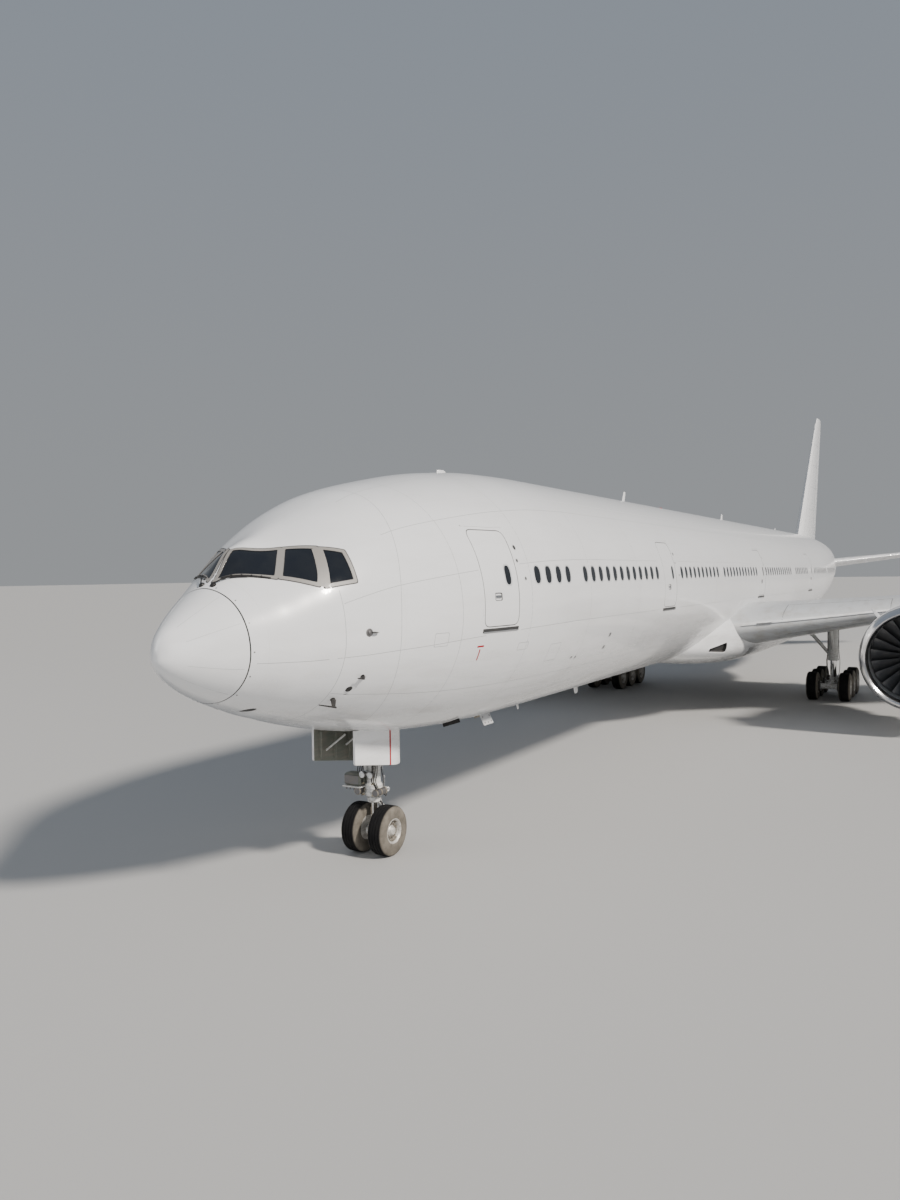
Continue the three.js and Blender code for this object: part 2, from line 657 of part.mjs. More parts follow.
// Everything behind a hinge line, from "ahead" mm in front of it. The two end faces are square to the
// line, or "level" ones lie flat, for a surface that stands upright.
function behind(ends, ahead, endGap, level = false) {
  const axis = ends[1].point.clone().sub(ends[0].point).normalize();
  const square = new THREE.Vector3(0, 1, 0).addScaledVector(axis, -axis.y).normalize();
  const aft = level ? new THREE.Vector3(0, 1, 0) : square;
  const across = axis.clone().cross(square);
  const [depth, reach] = [4 * MM, 1 * MM];
  const corners = [[-ahead, -reach], [depth, -reach], [depth, reach], [-ahead, reach]];
  const ring = (end, shift) => corners.map(([y, z]) => end.point.clone()
    .addScaledVector(axis, shift)
    .addScaledVector(aft, y)
    .addScaledVector(across, z));
  return loft([ring(ends[0], -endGap), ring(ends[1], endGap)]);
}

// A hinged surface, and the cuts that it needs: a round nose about the hinge, and a pin at each end
function hinged(whole, ends, endGap = FREE, level = false) {
  const span = ends[0].point.distanceTo(ends[1].point);
  const pinLength = HINGE.pinLength * MM;
  const ahead = 2 * ends[0].radius;
  const bar = (grow, gap) => hingeBar(rod, ends, -pinLength, span + pinLength, 1, grow)
    .intersect(behind(ends, ahead, gap, level));
  const pins = (make, extra) => [[-pinLength - extra, pinLength], [span - pinLength, span + pinLength + extra]]
    .map(([from, to]) => hingeBar(make, ends, from, to, HINGE.pinSize, 0));
  const lip = HINGE.lip * ends[0].radius + FREE;
  const panel = whole.intersect(behind(ends, 0, -endGap, level));
  return {
    surface: biggest(joined([panel, bar(-FREE, -endGap), ...pins(rod, 0)])),
    cutters: [behind(ends, lip, 0, level), bar(FREE, 0), ...pins(socket, SEAT)],
  };
}

const fairingClear = fairingSolid(SEAT_M);

function trackFairing(side, { out, length, radius }) {
  const row = wingAt(out);
  const rear = row.aft + row.chord;
  const under = row.chord * row.thickness * halfThickness(0.7);
  const middle = row.up - row.chord * Math.sin(rad(row.twistDeg)) * 0.7 - under - radius * 0.45;
  const sections = table(['t', 'size', 'drop'], [
    [0.08, 0.52, 0.26],
    [0.3, 0.95, 0.04],
    [0.6, 0.92, 0],
    [0.85, 0.5, 0],
  ]);
  const start = rear - length * 0.74;
  const ring = ({ t, size, drop }) => Array.from({ length: 8 }, (_, i) => {
    const angle = (2 * Math.PI * (i + 0.5)) / 8;
    return at(
      side * (out + radius * 0.62 * size * Math.sin(angle)),
      start + length * t,
      middle + radius * (drop + size * Math.cos(angle)),
    );
  });
  return loft([
    [at(side * out, start, middle + radius * 0.55)],
    ...sections.map(ring),
    [at(side * out, start + length, middle - radius * 0.1)],
  ]);
}

function jackBoss(out, { aft, face, top }) {
  return rod(at(out, aft, face), at(out, aft, top), JACK_RADIUS * MM);
}

const wingClear = {};

for (const side of [1, -1]) {
  const hand = side > 0 ? 'left' : 'right';
  const whole = wingSolid(side, WING, WING_CAMBER, 0);
  wingClear[hand] = wingSolid(side, WING, WING_CAMBER, SEAT);
  let wing = cut(whole, bodyClear, fairingClear);
  const pods = joined(TRACK_FAIRINGS.map((row) => trackFairing(side, row)));
  const jackPad = jackBoss(side * WING_JACK.out, WING_JACK);
  const openings = [];
  for (const flap of FLAPS) {
    const ends = hingeEnds(side, wingAt, flap, WING_CAMBER);
    openings.push(behind(ends, SEAT, SEAT).intersect(wingClear[hand]));
    addPart(`${flap.name}_${hand}`, 'grey', biggest(cut(whole.intersect(behind(ends, 0, 0)), fairingClear, bodyClear)));
  }
  for (const flap of AILERONS) {
    const ends = hingeEnds(side, wingAt, flap, WING_CAMBER);
    const { surface, cutters } = hinged(whole, ends);
    openings.push(...cutters);
    addPart(`${flap.name}_${hand}`, 'grey', surface);
    const [low, high] = side > 0 ? [-flap.downDeg, flap.upDeg] : [-flap.upDeg, flap.downDeg];
    noteHinge(`${flap.name}_${hand}`, ends[0].point, ends[1].point, low, high);
  }
  wing = biggest(cut(joined([wing, pods, jackPad]), ...openings));
  addPart(`wing_${hand}`, 'grey', wing);
}

// Belly fairing, cut round the fuselage and both wings
const fairing = cut(fairingSolid(0), bodyClear, wingClear.left, wingClear.right);
addPart('wing_body_fairing', 'white', biggest(fairing));

// Tailplane and fin

for (const side of [1, -1]) {
  const hand = side > 0 ? 'left' : 'right';
  const whole = wingSolid(side, STABILISER, 0, 0);
  const ends = hingeEnds(side, stabiliserAt, ELEVATOR, 0);
  const { surface, cutters } = hinged(whole, ends);
  addPart(`horizontal_stabiliser_${hand}`, 'white', biggest(cut(whole, bodyClear, ...cutters)));
  addPart(`elevator_${hand}`, 'white', surface);
  const [low, high] = side > 0 ? [-ELEVATOR.downDeg, ELEVATOR.upDeg] : [-ELEVATOR.upDeg, ELEVATOR.downDeg];
  noteHinge(`elevator_${hand}`, ends[0].point, ends[1].point, low, high);
}

const finWhole = finSolid(0);
const rudderEnds = ['inner', 'outer'].map((end) => {
  const row = finAt(RUDDER[end]);
  return { point: finPoint(row, RUDDER.front, 0), radius: row.chord * row.thickness * halfThickness(RUDDER.front) * MM };
});
const rudder = hinged(finWhole, rudderEnds, RUDDER.endGap, true);
addPart('fin', 'white', biggest(cut(finWhole, bodyClear, ...rudder.cutters)));
addPart('rudder', 'white', rudder.surface);
noteHinge('rudder', rudderEnds[0].point, rudderEnds[1].point, -RUDDER.swingDeg, RUDDER.swingDeg);

// Engines

function engineProfile(rows) {
  return rows.map(({ aft, radius }) => ({ along: aft * MM, radius: radius * MM }));
}

function grownRows(rows, grow) {
  return rows.map(({ aft, radius }) => ({ aft, radius: radius > 0 ? radius + grow : 0 }));
}

function fanSolid() {
  const hub = turned(engineProfile(table(['aft', 'radius'], [
    [FAN.spinner, 0],
    [FAN.spinner + 0.04, 0.10],
    [FAN.front - 0.2, 0.36],
    [FAN.front, 0.48],
    [FAN.back, 0.56],
    [FAN.back, SHAFT.radius],
    [FAN.back + SHAFT.length, SHAFT.radius],
    [FAN.back + SHAFT.length, 0],
  ])), ENGINE.coreSides);
  const blade = (angle) => {
    const section = (radius, sweep, pitchDeg, width) => {
      const pitch = rad(pitchDeg);
      const middle = (FAN.front + FAN.back) / 2;
      const thickness = 0.018;
      return [[-1, 0], [0, thickness], [1, 0], [0, -thickness]].map(([u, w]) => {
        const aft = middle + width * u * Math.cos(pitch) - w * Math.sin(pitch);
        const side = width * u * Math.sin(pitch) + w * Math.cos(pitch) + sweep;
        const p = new THREE.Vector3(radius, 0, side).multiplyScalar(MM).applyAxisAngle(new THREE.Vector3(0, 1, 0), angle);
        return p.setY(aft * MM);
      });
    };
    return loft([section(FAN.root - 0.06, 0, 28, 0.24), section(FAN.tip, 0, 60, 0.26)]);
  };
  const blades = Array.from({ length: FAN.blades }, (_, i) => blade((2 * Math.PI * i) / FAN.blades));
  return joined([hub, ...blades]);
}

// The space inside the cowl, a little smaller than the duct
function ductSolid() {
  const rows = COWL.slice(COWL_SKIN_ROWS);
  const [aftEnd, foreEnd] = [rows[0].aft, rows[rows.length - 1].aft];
  const inside = grownRows(rows, -SEAT_M * 1.2);
  return turned(engineProfile([{ aft: aftEnd, radius: 0 }, ...inside, { aft: foreEnd, radius: 0 }]), ENGINE.sides);
}

function coreSolid() {
  const body = turned(engineProfile(CORE), ENGINE.coreSides);
  const { count, front, back, thickness } = GUIDE_VANES;
  const vanes = Array.from({ length: count }, (_, i) => {
    const vane = new THREE.BoxGeometry(1.0 * MM, (back - front) * MM, thickness * MM);
    vane.translate(1.35 * MM, ((front + back) / 2) * MM, 0);
    vane.rotateY((2 * Math.PI * (i + 0.5)) / count);
    return fromGeometry(vane);
  });
  const bore = socket(
    new THREE.Vector3(0, FAN.back * MM, 0),
    new THREE.Vector3(0, (FAN.back + SHAFT.length + 0.05) * MM, 0),
    SHAFT.radius * MM,
    SHAFT.radius * MM,
    ENGINE.coreSides,
  );
  return cut(joined([body, joined(vanes).intersect(ductSolid())]), bore);
}

// Side outline of the pylon: [aft of the intake lip, up from the engine's centre line]
const PYLON_OUTLINE = [
  [1.35, 1.9], [2.2, 2.08], [3.6, 2.18], [5.2, 2.12], [6.6, 1.85], [8.5, 1.65], [11.2, 1.3],
  [10.2, 1.0], [8.6, 0.72], [6.4, 0.55], [4.6, 0.9],
];

function pylonSolid(side) {
  const ring = (out, shrink) => PYLON_OUTLINE.map(([aft, up]) => at(
    side * (ENGINE.out + out),
    ENGINE.aft + 6.2 + (aft - 6.2) * shrink,
    ENGINE.up + 1.7 + (up - 1.7) * (shrink === 1 ? 1 : 0.98),
  ));
  return loft([ring(-PYLON_HALF, 0.94), ring(-0.6 * PYLON_HALF, 1), ring(0.6 * PYLON_HALF, 1), ring(PYLON_HALF, 0.94)]);
}

for (const side of [1, -1]) {
  const hand = side > 0 ? 'left' : 'right';
  const engine = new THREE.Group();
  engine.position.copy(at(side * ENGINE.out, ENGINE.aft, ENGINE.up));
  airliner.add(engine);
  const cowl = turned(engineProfile([...COWL, COWL[0]]), ENGINE.sides);
  const here = new THREE.Vector3();
  addPart(`engine_cowl_${hand}`, 'white', cowl, here, engine);
  addPart(`engine_core_${hand}`, 'metal', coreSolid(), here, engine);
  addPart(`engine_fan_${hand}`, 'fan', fanSolid(), here, engine);
  const at0 = engine.position.toArray();
  const outerRows = [{ aft: COWL[0].aft, radius: 0 }, ...COWL.slice(0, COWL_SKIN_ROWS), { aft: COWL[COWL_SKIN_ROWS - 1].aft, radius: 0 }];
  const cowlFull = turned(engineProfile(grownRows(outerRows, 0.001)), ENGINE.sides).translate(at0);
  const coreFull = turned(engineProfile(grownRows(CORE, 0.001)), ENGINE.coreSides).translate(at0);
  const pylon = cut(pylonSolid(side), cowlFull, coreFull, wingClear[hand]);
  addPart(`engine_pylon_${hand}`, 'white', biggest(pylon));
}

// Landing gear

// A pair of wheels on one axle, about the X axis, with a flat facet of the tread at the bottom
function wheelPair({ wheelOut, radius, width, rim }) {
  const full = 1 / Math.cos(Math.PI / WHEEL_SIDES);
  const half = width / 2;
  const one = [
    [wheelOut - half + 0.05, AXLE_RADIUS],
    [wheelOut - half, rim * 1.1],
    [wheelOut - half * 0.97, radius * 0.86],
    [wheelOut - half * 0.72, radius],
    [wheelOut + half * 0.72, radius],
    [wheelOut + half * 0.97, radius * 0.86],
    [wheelOut + half, rim * 1.1],
    [wheelOut + half - 0.12, rim * 0.6],
    [wheelOut + half - 0.06, 0],
  ];
  const mirrored = one.slice().reverse().map(([x, r]) => [-x, r]);
  const profile = [...mirrored, ...one].map(([x, r]) => ({ along: x * MM, radius: r * full * MM }));
  const geometry = new THREE.LatheGeometry(profile.map((p) => new THREE.Vector2(p.radius, p.along)), WHEEL_SIDES, Math.PI / WHEEL_SIDES);
  geometry.rotateZ(-Math.PI / 2);
  return fromGeometry(geometry);
}

function axleHousing(out, aft, up, halfLength) {
  return rod(at(out - halfLength, aft, up), at(out + halfLength, aft, up), HUB_RADIUS * MM);
}

function axleBore(out, aft, up) {
  const full = 1 / Math.cos(Math.PI / WHEEL_SIDES);
  const radius = AXLE_RADIUS * MM * full * full + SEAT;
  return rod(at(out - 1, aft, up), at(out + 1, aft, up), radius, radius, WHEEL_SIDES);
}

function wheelAxis(name, out, aft, up) {
  noteHinge(name, at(out - 0.5, aft, up), at(out + 0.5, aft, up), null, null);
}

// Nose gear: a fixed leg, a piston that steers inside it, and a pair of wheels
const noseAft = NOSE_GEAR.aft;
const noseUp = NOSE_GEAR.radius;
fuselage = cut(fuselage, brick(0, noseAft - NOSE_BAY.ahead, NOSE_BAY.up, NOSE_BAY.width, NOSE_BAY.length, NOSE_BAY.height));

const noseLeg = cut(
  joined([
    rod(at(0, noseAft, NOSE_LEG.foot), at(0, noseAft, NOSE_LEG.top - SEAT_M), NOSE_LEG.radius * MM),
    rod(at(0, noseAft, NOSE_LEG.foot), at(0, noseAft, NOSE_LEG.collarTop), NOSE_LEG.collarRadius * MM),
    strut(at(0, noseAft, NOSE_BRACE.low), at(0, noseAft - NOSE_BRACE.ahead, NOSE_BRACE.high), NOSE_BRACE.radius),
    // trunnion, lamp bar, and the box beside the leg
    brick(0, noseAft, 3.28, 0.94, 0.22, 0.22),
    brick(0, noseAft - 0.24, 1.78, 0.36, 0.16, 0.13),
    brick(-0.30, noseAft - 0.16, 1.60, 0.36, 0.30, 0.24),
  ]),
  socket(at(0, noseAft, NOSE_LEG.foot - 0.28), at(0, noseAft, NOSE_PISTON.top + 0.02), NOSE_PISTON.radius * MM),
);
addPart('nose_gear_leg', 'gear', biggest(noseLeg));

const nosePiston = cut(
  joined([
    rod(at(0, noseAft, noseUp), at(0, noseAft, NOSE_PISTON.top), NOSE_PISTON.radius * MM),
    axleHousing(0, noseAft, noseUp, NOSE_PISTON.axleHalf),
    // torque links behind, towing lug in front
    brick(0, noseAft + 0.18, 1.0, 0.1, 0.26, 0.36),
    brick(0, noseAft - 0.14, noseUp, 0.12, 0.22, 0.12),
  ]),
  axleBore(0, noseAft, noseUp),
);
addPart('nose_gear_piston', 'metal', biggest(nosePiston));
noteHinge('nose_steering', at(0, noseAft, noseUp), at(0, noseAft, 2), -NOSE_GEAR.steerDeg, NOSE_GEAR.steerDeg);
addPart('nose_wheels', 'rubber', wheelPair(NOSE_GEAR), at(0, noseAft, noseUp));
wheelAxis('nose_wheels', 0, noseAft, noseUp);

function noseDoor(side) {
  const ring = (upOf) => {
    const outer = NOSE_DOOR.map((row) => at(side * row.out, row.aft, upOf(row)));
    const inner = NOSE_DOOR.map((row) => at(side * (row.out - NOSE_DOOR_THICKNESS), row.aft, upOf(row)));
    return [...outer, ...inner.reverse()];
  };
  return loft([ring((row) => row.foot), ring(() => NOSE_DOOR_TOP)]);
}

for (const side of [1, -1]) {
  const hand = side > 0 ? 'left' : 'right';
  addPart(`nose_gear_door_${hand}`, 'white', biggest(cut(noseDoor(side), bodyClear)));
}

// Main gear: a leg with a long truck beam, two axles in the beam and a third that steers
for (const side of [1, -1]) {
  const hand = side > 0 ? 'left' : 'right';
  const out = side * MAIN_GEAR.out;
  const up = MAIN_GEAR.radius;
  const [front, middle, rear] = [-1, 0, 1].map((step) => MAIN_GEAR.aft + step * MAIN_GEAR.pitch);
  const { pinRadius, reach, plateAft, webAft } = STEERED_AXLE;
  const leg = cut(
    joined([
      rod(at(out, middle, up), at(out, middle, MAIN_LEG.pistonTop), MAIN_LEG.pistonRadius * MM),
      rod(at(out, middle, MAIN_LEG.foot), at(out, middle, MAIN_LEG.top), MAIN_LEG.radius * MM),
      strut(
        at(out, middle, SIDE_BRACE.low),
        at(out - side * SIDE_BRACE.inward, middle - SIDE_BRACE.ahead, SIDE_BRACE.high),
        SIDE_BRACE.radius,
      ),
      strut(at(out, middle, DRAG_BRACE.low), at(out, middle - DRAG_BRACE.ahead, DRAG_BRACE.high), DRAG_BRACE.radius),
      // torque links, then the truck beam with a fork of two plates and a web behind it
      brick(out, middle + 0.24, 1.45, 0.12, 0.36, 0.75),
      brick(out, middle - TRUCK.shift, up, TRUCK.width, rear - front - TRUCK.short, TRUCK.height),
      brick(out, rear - plateAft, up + reach, 0.22, 0.82, 0.06),
      brick(out, rear - plateAft, up - reach, 0.22, 0.82, 0.06),
      brick(out, rear - webAft, up, 0.2, 0.2, 2 * reach + 0.03),
      axleHousing(out, front, up, TRUCK.axleHalf),
      axleHousing(out, middle, up, TRUCK.axleHalf),
    ]),
    axleBore(out, front, up),
    axleBore(out, middle, up),
    socket(at(out, rear, up - reach - 0.1), at(out, rear, up + reach + 0.1), pinRadius * MM),
    wingClear[hand],
    fairingClear,
  );
  addPart(`main_gear_${hand}`, 'gear', biggest(leg));
  const steering = cut(
    joined([
      axleHousing(out, rear, up, TRUCK.axleHalf),
      rod(at(out, rear, up - reach - 0.04), at(out, rear, up + reach + 0.04), pinRadius * MM),
    ]),
    axleBore(out, rear, up),
  );
  addPart(`aft_axle_${hand}`, 'gear', biggest(steering));
  noteHinge(`aft_axle_${hand}`, at(out, rear, up), at(out, rear, up + 1), -MAIN_GEAR.steerDeg, MAIN_GEAR.steerDeg);
  [['front', front], ['middle', middle], ['aft', rear]].forEach(([place, aft]) => {
    addPart(`main_wheels_${place}_${hand}`, 'rubber', wheelPair(MAIN_GEAR), at(out, aft, up));
    wheelAxis(`main_wheels_${place}_${hand}`, out, aft, up);
  });
}

// Nose cap, and the barrel with its tail cone
addPart('radome', 'radome', bodySolid(0, RADOME_AFT - SEAT_M, 0));
addPart('fuselage', 'white', biggest(fuselage.add(jackBoss(0, NOSE_JACK))));

export default airliner;
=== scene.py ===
import logging
import math
from dataclasses import dataclass
from enum import Enum
from typing import Callable, Iterable, Sequence

import bmesh
import bpy
import numpy as np
from mathutils import Matrix, Vector


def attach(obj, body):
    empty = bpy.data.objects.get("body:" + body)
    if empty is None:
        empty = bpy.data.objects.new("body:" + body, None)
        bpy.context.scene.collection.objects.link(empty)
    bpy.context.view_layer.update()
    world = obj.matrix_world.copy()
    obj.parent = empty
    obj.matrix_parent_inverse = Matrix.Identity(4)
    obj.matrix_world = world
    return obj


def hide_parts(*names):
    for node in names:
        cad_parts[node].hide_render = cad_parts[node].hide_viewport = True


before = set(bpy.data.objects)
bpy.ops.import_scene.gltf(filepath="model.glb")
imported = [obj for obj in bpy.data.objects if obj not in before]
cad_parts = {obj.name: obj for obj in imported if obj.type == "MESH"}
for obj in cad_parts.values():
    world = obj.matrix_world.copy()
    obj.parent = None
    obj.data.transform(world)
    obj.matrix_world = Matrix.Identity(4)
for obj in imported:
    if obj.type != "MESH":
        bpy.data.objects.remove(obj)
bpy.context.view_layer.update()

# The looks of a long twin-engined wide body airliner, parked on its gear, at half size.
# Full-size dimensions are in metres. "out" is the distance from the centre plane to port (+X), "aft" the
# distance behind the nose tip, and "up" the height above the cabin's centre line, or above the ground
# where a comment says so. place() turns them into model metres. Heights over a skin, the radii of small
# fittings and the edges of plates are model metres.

logging.basicConfig(level=logging.INFO, format="%(message)s")
log = logging.getLogger("airliner")

SCALE = 0.5
LENGTH = 73.86
AXIS_UP = 5.6
RADOME_AFT = 1.1
BODY_LENGTH = 73.08
# Angle from the top, in radians, over which a section's crest fades
CREST_SPREAD = 0.25
# Angle in degrees past which an edge is sharp
SHARP_ANGLE = 32.0
SIDES = {"left": 1, "right": -1}

Array = np.ndarray
Points = Sequence[Sequence[float]] | np.ndarray


class Slot(Enum):
    """The record's material slots."""

    SKIN = "skin_white"
    WING = "wing_grey"
    GLASS = "cockpit_glass"
    ENGINE = "engine_metal"
    FAN = "fan_titanium"
    GEAR = "gear_paint"
    PISTON = "chrome_piston"
    TYRE = "tyre"
    RADOME = "radome"


AIRFRAME = "airframe"


def vec(x: float, y: float, z: float) -> Array:
    """Three values as a vector."""
    return np.array([x, y, z], float)


def place(out: float | Array, aft: float | Array, up: float | Array) -> Array:
    """Model place of a full-size point.

    Args:
        out: Distance to port of the centre plane.
        aft: Distance behind the nose tip.
        up: Height above the ground.

    Returns:
        The point, or an array of points, in model metres.
    """
    out, aft, up = np.broadcast_arrays(out, aft, up)
    return np.stack([out, aft - LENGTH / 2, up], axis=-1) * SCALE


class Profile:
    """A table of sections, read at any place along a smooth curve that never overshoots its rows."""

    def __init__(self, xs: Sequence[float], rows: Points, curved: bool = True) -> None:
        """Keeps the rows and works out the slopes at each.

        Args:
            xs: Places of the rows, rising.
            rows: The values at each place.
            curved: Whether to read along a curve, or in straight lines.
        """
        self.xs = np.asarray(xs, float)
        self.ys = np.asarray(rows, float)
        rise = np.diff(self.ys, axis=0) / np.diff(self.xs)[:, None]
        product = rise[:-1] * rise[1:]
        total = np.where(product > 0, rise[:-1] + rise[1:], 1.0)
        self.slopes = np.vstack([rise[:1], np.where(product > 0, 2 * product / total, 0.0), rise[-1:]])
        self.curved = curved

    def __call__(self, x: float | Array) -> Array:
        """Values at a place, as the last axis of the result."""
        x = np.asarray(x, float)
        i = np.clip(np.searchsorted(self.xs, x) - 1, 0, len(self.xs) - 2)
        width = (self.xs[i + 1] - self.xs[i])[..., None]
        t = (x - self.xs[i])[..., None] / width
        low, high = self.ys[i], self.ys[i + 1]
        if not self.curved:
            return low + (high - low) * t
        rise = width * (self.slopes[i] * (t**3 - 2 * t**2 + t) + self.slopes[i + 1] * (t**3 - t**2))
        return low * (2 * t**3 - 3 * t**2 + 1) + high * (3 * t**2 - 2 * t**3) + rise


# Fuselage sections: aft, top, bottom, half width, height of the widest place, fullness of the upper half,
# and the rise of the crest as a part of the distance from the centre
BODY = [
    (0.00, -0.80, -0.80, 0.00, -0.80, 2.00, 0.0),
    (0.10, -0.44, -1.02, 0.23, -0.80, 2.10, 0.0),
    (0.35, -0.21, -1.24, 0.48, -0.79, 2.10, 0.0),
    (0.75, 0.08, -1.49, 0.80, -0.77, 2.10, 0.0),
    (1.30, 0.44, -1.74, 1.17, -0.73, 2.05, 0.030),
    (1.70, 0.72, -1.89, 1.41, -0.70, 2.05, 0.176),
    (2.05, 0.95, -2.02, 1.60, -0.67, 2.15, 0.120),
    (2.45, 1.20, -2.14, 1.81, -0.62, 2.25, 0.060),
    (3.05, 1.57, -2.32, 2.05, -0.55, 2.30, 0.020),
    (3.65, 1.91, -2.47, 2.24, -0.47, 2.25, 0.0),
    (4.45, 2.24, -2.64, 2.45, -0.38, 2.15, 0.0),
    (5.85, 2.57, -2.87, 2.74, -0.22, 2.05, 0.0),
    (7.85, 2.90, -3.03, 2.99, -0.08, 2.00, 0.0),
    (9.85, 3.06, -3.09, 3.08, -0.02, 2.00, 0.0),
    (11.85, 3.10, -3.10, 3.10, 0.00, 2.00, 0.0),
    (47.85, 3.10, -3.10, 3.10, 0.00, 2.00, 0.0),
    (51.85, 3.10, -2.90, 3.09, 0.05, 2.00, 0.0),
    (55.85, 3.10, -2.35, 2.98, 0.25, 2.00, 0.0),
    (59.85, 3.05, -1.60, 2.70, 0.55, 2.00, 0.0),
    (63.85, 2.92, -0.75, 2.22, 0.95, 2.00, 0.0),
    (67.85, 2.68, 0.15, 1.50, 1.35, 2.00, 0.0),
    (70.85, 2.42, 0.80, 0.80, 1.60, 2.00, 0.0),
    (73.08, 2.20, 1.25, 0.12, 1.70, 2.00, 0.0),
]

# Belly fairing sections, heights above the ground: aft, top, bottom, half width, widest, fullness
FAIRING = [
    (24.0, 4.10, 2.72, 1.60, 3.30, 2.60),
    (25.5, 4.35, 2.47, 2.40, 3.30, 2.80),
    (27.5, 4.60, 2.26, 3.05, 3.35, 3.00),
    (30.0, 4.75, 2.12, 3.35, 3.40, 3.00),
    (34.0, 4.80, 2.08, 3.45, 3.40, 3.00),
    (39.5, 4.75, 2.08, 3.42, 3.40, 3.00),
    (42.5, 4.60, 2.20, 3.15, 3.35, 3.00),
    (45.0, 4.35, 2.45, 2.40, 3.30, 2.80),
    (47.0, 4.10, 2.75, 1.50, 3.30, 2.60),
]


class Skin:
    """A round body's outer surface, from a table of its sections."""

    def __init__(self, rows: Points, base_up: float, rooted: bool, full_below: bool) -> None:
        """Reads the table.

        Args:
            rows: Sections, as in BODY.
            base_up: Height above the ground from which the table measures.
            rooted: Whether the curve runs along the square root of aft, for a round nose.
            full_below: Whether the fullness also shapes the lower half.
        """
        data = np.asarray(rows, float)
        if data.shape[1] < 7:
            data = np.pad(data, ((0, 0), (0, 1)))
        self.rooted = rooted
        self.base_up = base_up
        self.full_below = full_below
        self.profile = Profile(np.sqrt(data[:, 0]) if rooted else data[:, 0], data[:, 1:])

    def row(self, aft: float | Array) -> list[Array]:
        """Top, bottom, half width, widest height and fullness at a place."""
        aft = np.asarray(aft, float)
        values = self.profile(np.sqrt(np.maximum(aft, 0)) if self.rooted else aft)
        return [values[..., i] for i in range(5)]

    def crest(self, aft: float | Array, out: Array, rise: Array) -> Array:
        """How many times farther from the centre the surface stands for the crest, at a direction."""
        lift = self.profile(np.sqrt(np.maximum(aft, 0)) if self.rooted else np.asarray(aft, float))[..., 5]
        return 1 + lift * np.exp(-((np.arctan2(np.abs(out), rise) / CREST_SPREAD) ** 2))

    def ring(self, aft: float | Array, angle: Array) -> Array:
        """Points at angles round the section, from the top over the port side, as out, aft, up."""
        top, bottom, half, widest, fullness = self.row(aft)
        s, c = np.sin(angle), np.cos(angle)
        power = np.where((c > 0) | self.full_below, 2 / fullness, 1.0)
        reach = np.where(c > 0, top - widest, widest - bottom)
        out = half * np.sign(s) * np.abs(s) ** power
        rise = np.sign(c) * reach * np.abs(c) ** power
        share = self.crest(aft, out, rise)
        return np.stack(np.broadcast_arrays(out * share, aft, widest + rise * share), axis=-1)

    def measure(self, points: Array) -> Array:
        """1 on the surface, less inside it, more outside it, in straight proportion from the centre."""
        top, bottom, half, widest, fullness = self.row(points[..., 1])
        rise = points[..., 2] - widest
        power = np.where((rise > 0) | self.full_below, fullness, 2.0)
        reach = np.where(rise > 0, top - widest, widest - bottom)
        across = np.abs(points[..., 0]) / np.maximum(half, 1e-6)
        upward = np.abs(rise) / np.maximum(reach, 1e-6)
        plain = np.maximum(across**power + upward**power, 1e-12) ** (1 / power)
        return plain / self.crest(points[..., 1], points[..., 0], rise)

    def snap(self, points: Points) -> Array:
        """Moves points of the form out, aft, up to the surface, straight from the section's centre."""
        points = np.array(points, float)
        widest = self.row(points[..., 1])[3]
        share = self.measure(points)
        points[..., 0] /= share
        points[..., 2] = widest + (points[..., 2] - widest) / share
        return points

    def side(self, aft: Array, up: Array, side: int) -> Array:
        """The surface point at a place seen square from one side."""
        top, bottom, half, widest, fullness = self.row(aft)
        rise = up - widest
        power = np.where((rise > 0) | self.full_below, fullness, 2.0)
        reach = np.where(rise > 0, top - widest, widest - bottom)
        share = np.clip(1 - (np.abs(rise) / reach) ** power, 0, 1) ** (1 / power)
        return np.stack([side * half * share, np.asarray(aft, float) + 0 * up, up + 0 * half], axis=-1)

    def normal(self, points: Array) -> Array:
        """Unit normals at surface points."""
        step = 0.004
        parts = []
        for axis in range(3):
            shift = np.zeros(3)
            shift[axis] = step
            parts.append(self.measure(points + shift) - self.measure(points - shift))
        found = np.stack(parts, axis=-1)
        return found / np.maximum(np.linalg.norm(found, axis=-1, keepdims=True), 1e-9)

    def world(self, points: Array, offset: float | Array = 0.0) -> Array:
        """Model places of surface points, raised by an offset in model metres."""
        flat = place(points[..., 0], points[..., 1], points[..., 2] + self.base_up)
        return flat + self.normal(points) * np.asarray(offset, float)[..., None]


BODY_SKIN = Skin(BODY, AXIS_UP, rooted=True, full_below=False)
BELLY_SKIN = Skin(FAIRING, 0.0, rooted=False, full_below=True)

@dataclass(frozen=True)
class Spot:
    """A part of a body's skin, with the way to lay flat outlines on it."""

    skin: Skin
    lay: Callable[[Array], Array]

    def world(self, flat: Array, offset: float | Array) -> Array:
        """Model places of outline points, raised by an offset in model metres."""
        return self.skin.world(self.lay(flat), offset)


def side_spot(skin: Skin, side: int) -> Spot:
    """One side of a body, for outlines of the form aft, up."""
    return Spot(skin, lambda flat: skin.side(flat[..., 0], flat[..., 1], side))


def plane_spot(skin: Skin, origin: Points, u: Points, v: Points) -> Spot:
    """The skin that a plane's outlines meet on their way straight towards the body's centre."""
    start, along, across = (np.asarray(item, float) for item in (origin, u, v))
    return Spot(skin, lambda flat: skin.snap(start + flat[..., :1] * along + flat[..., 1:] * across))


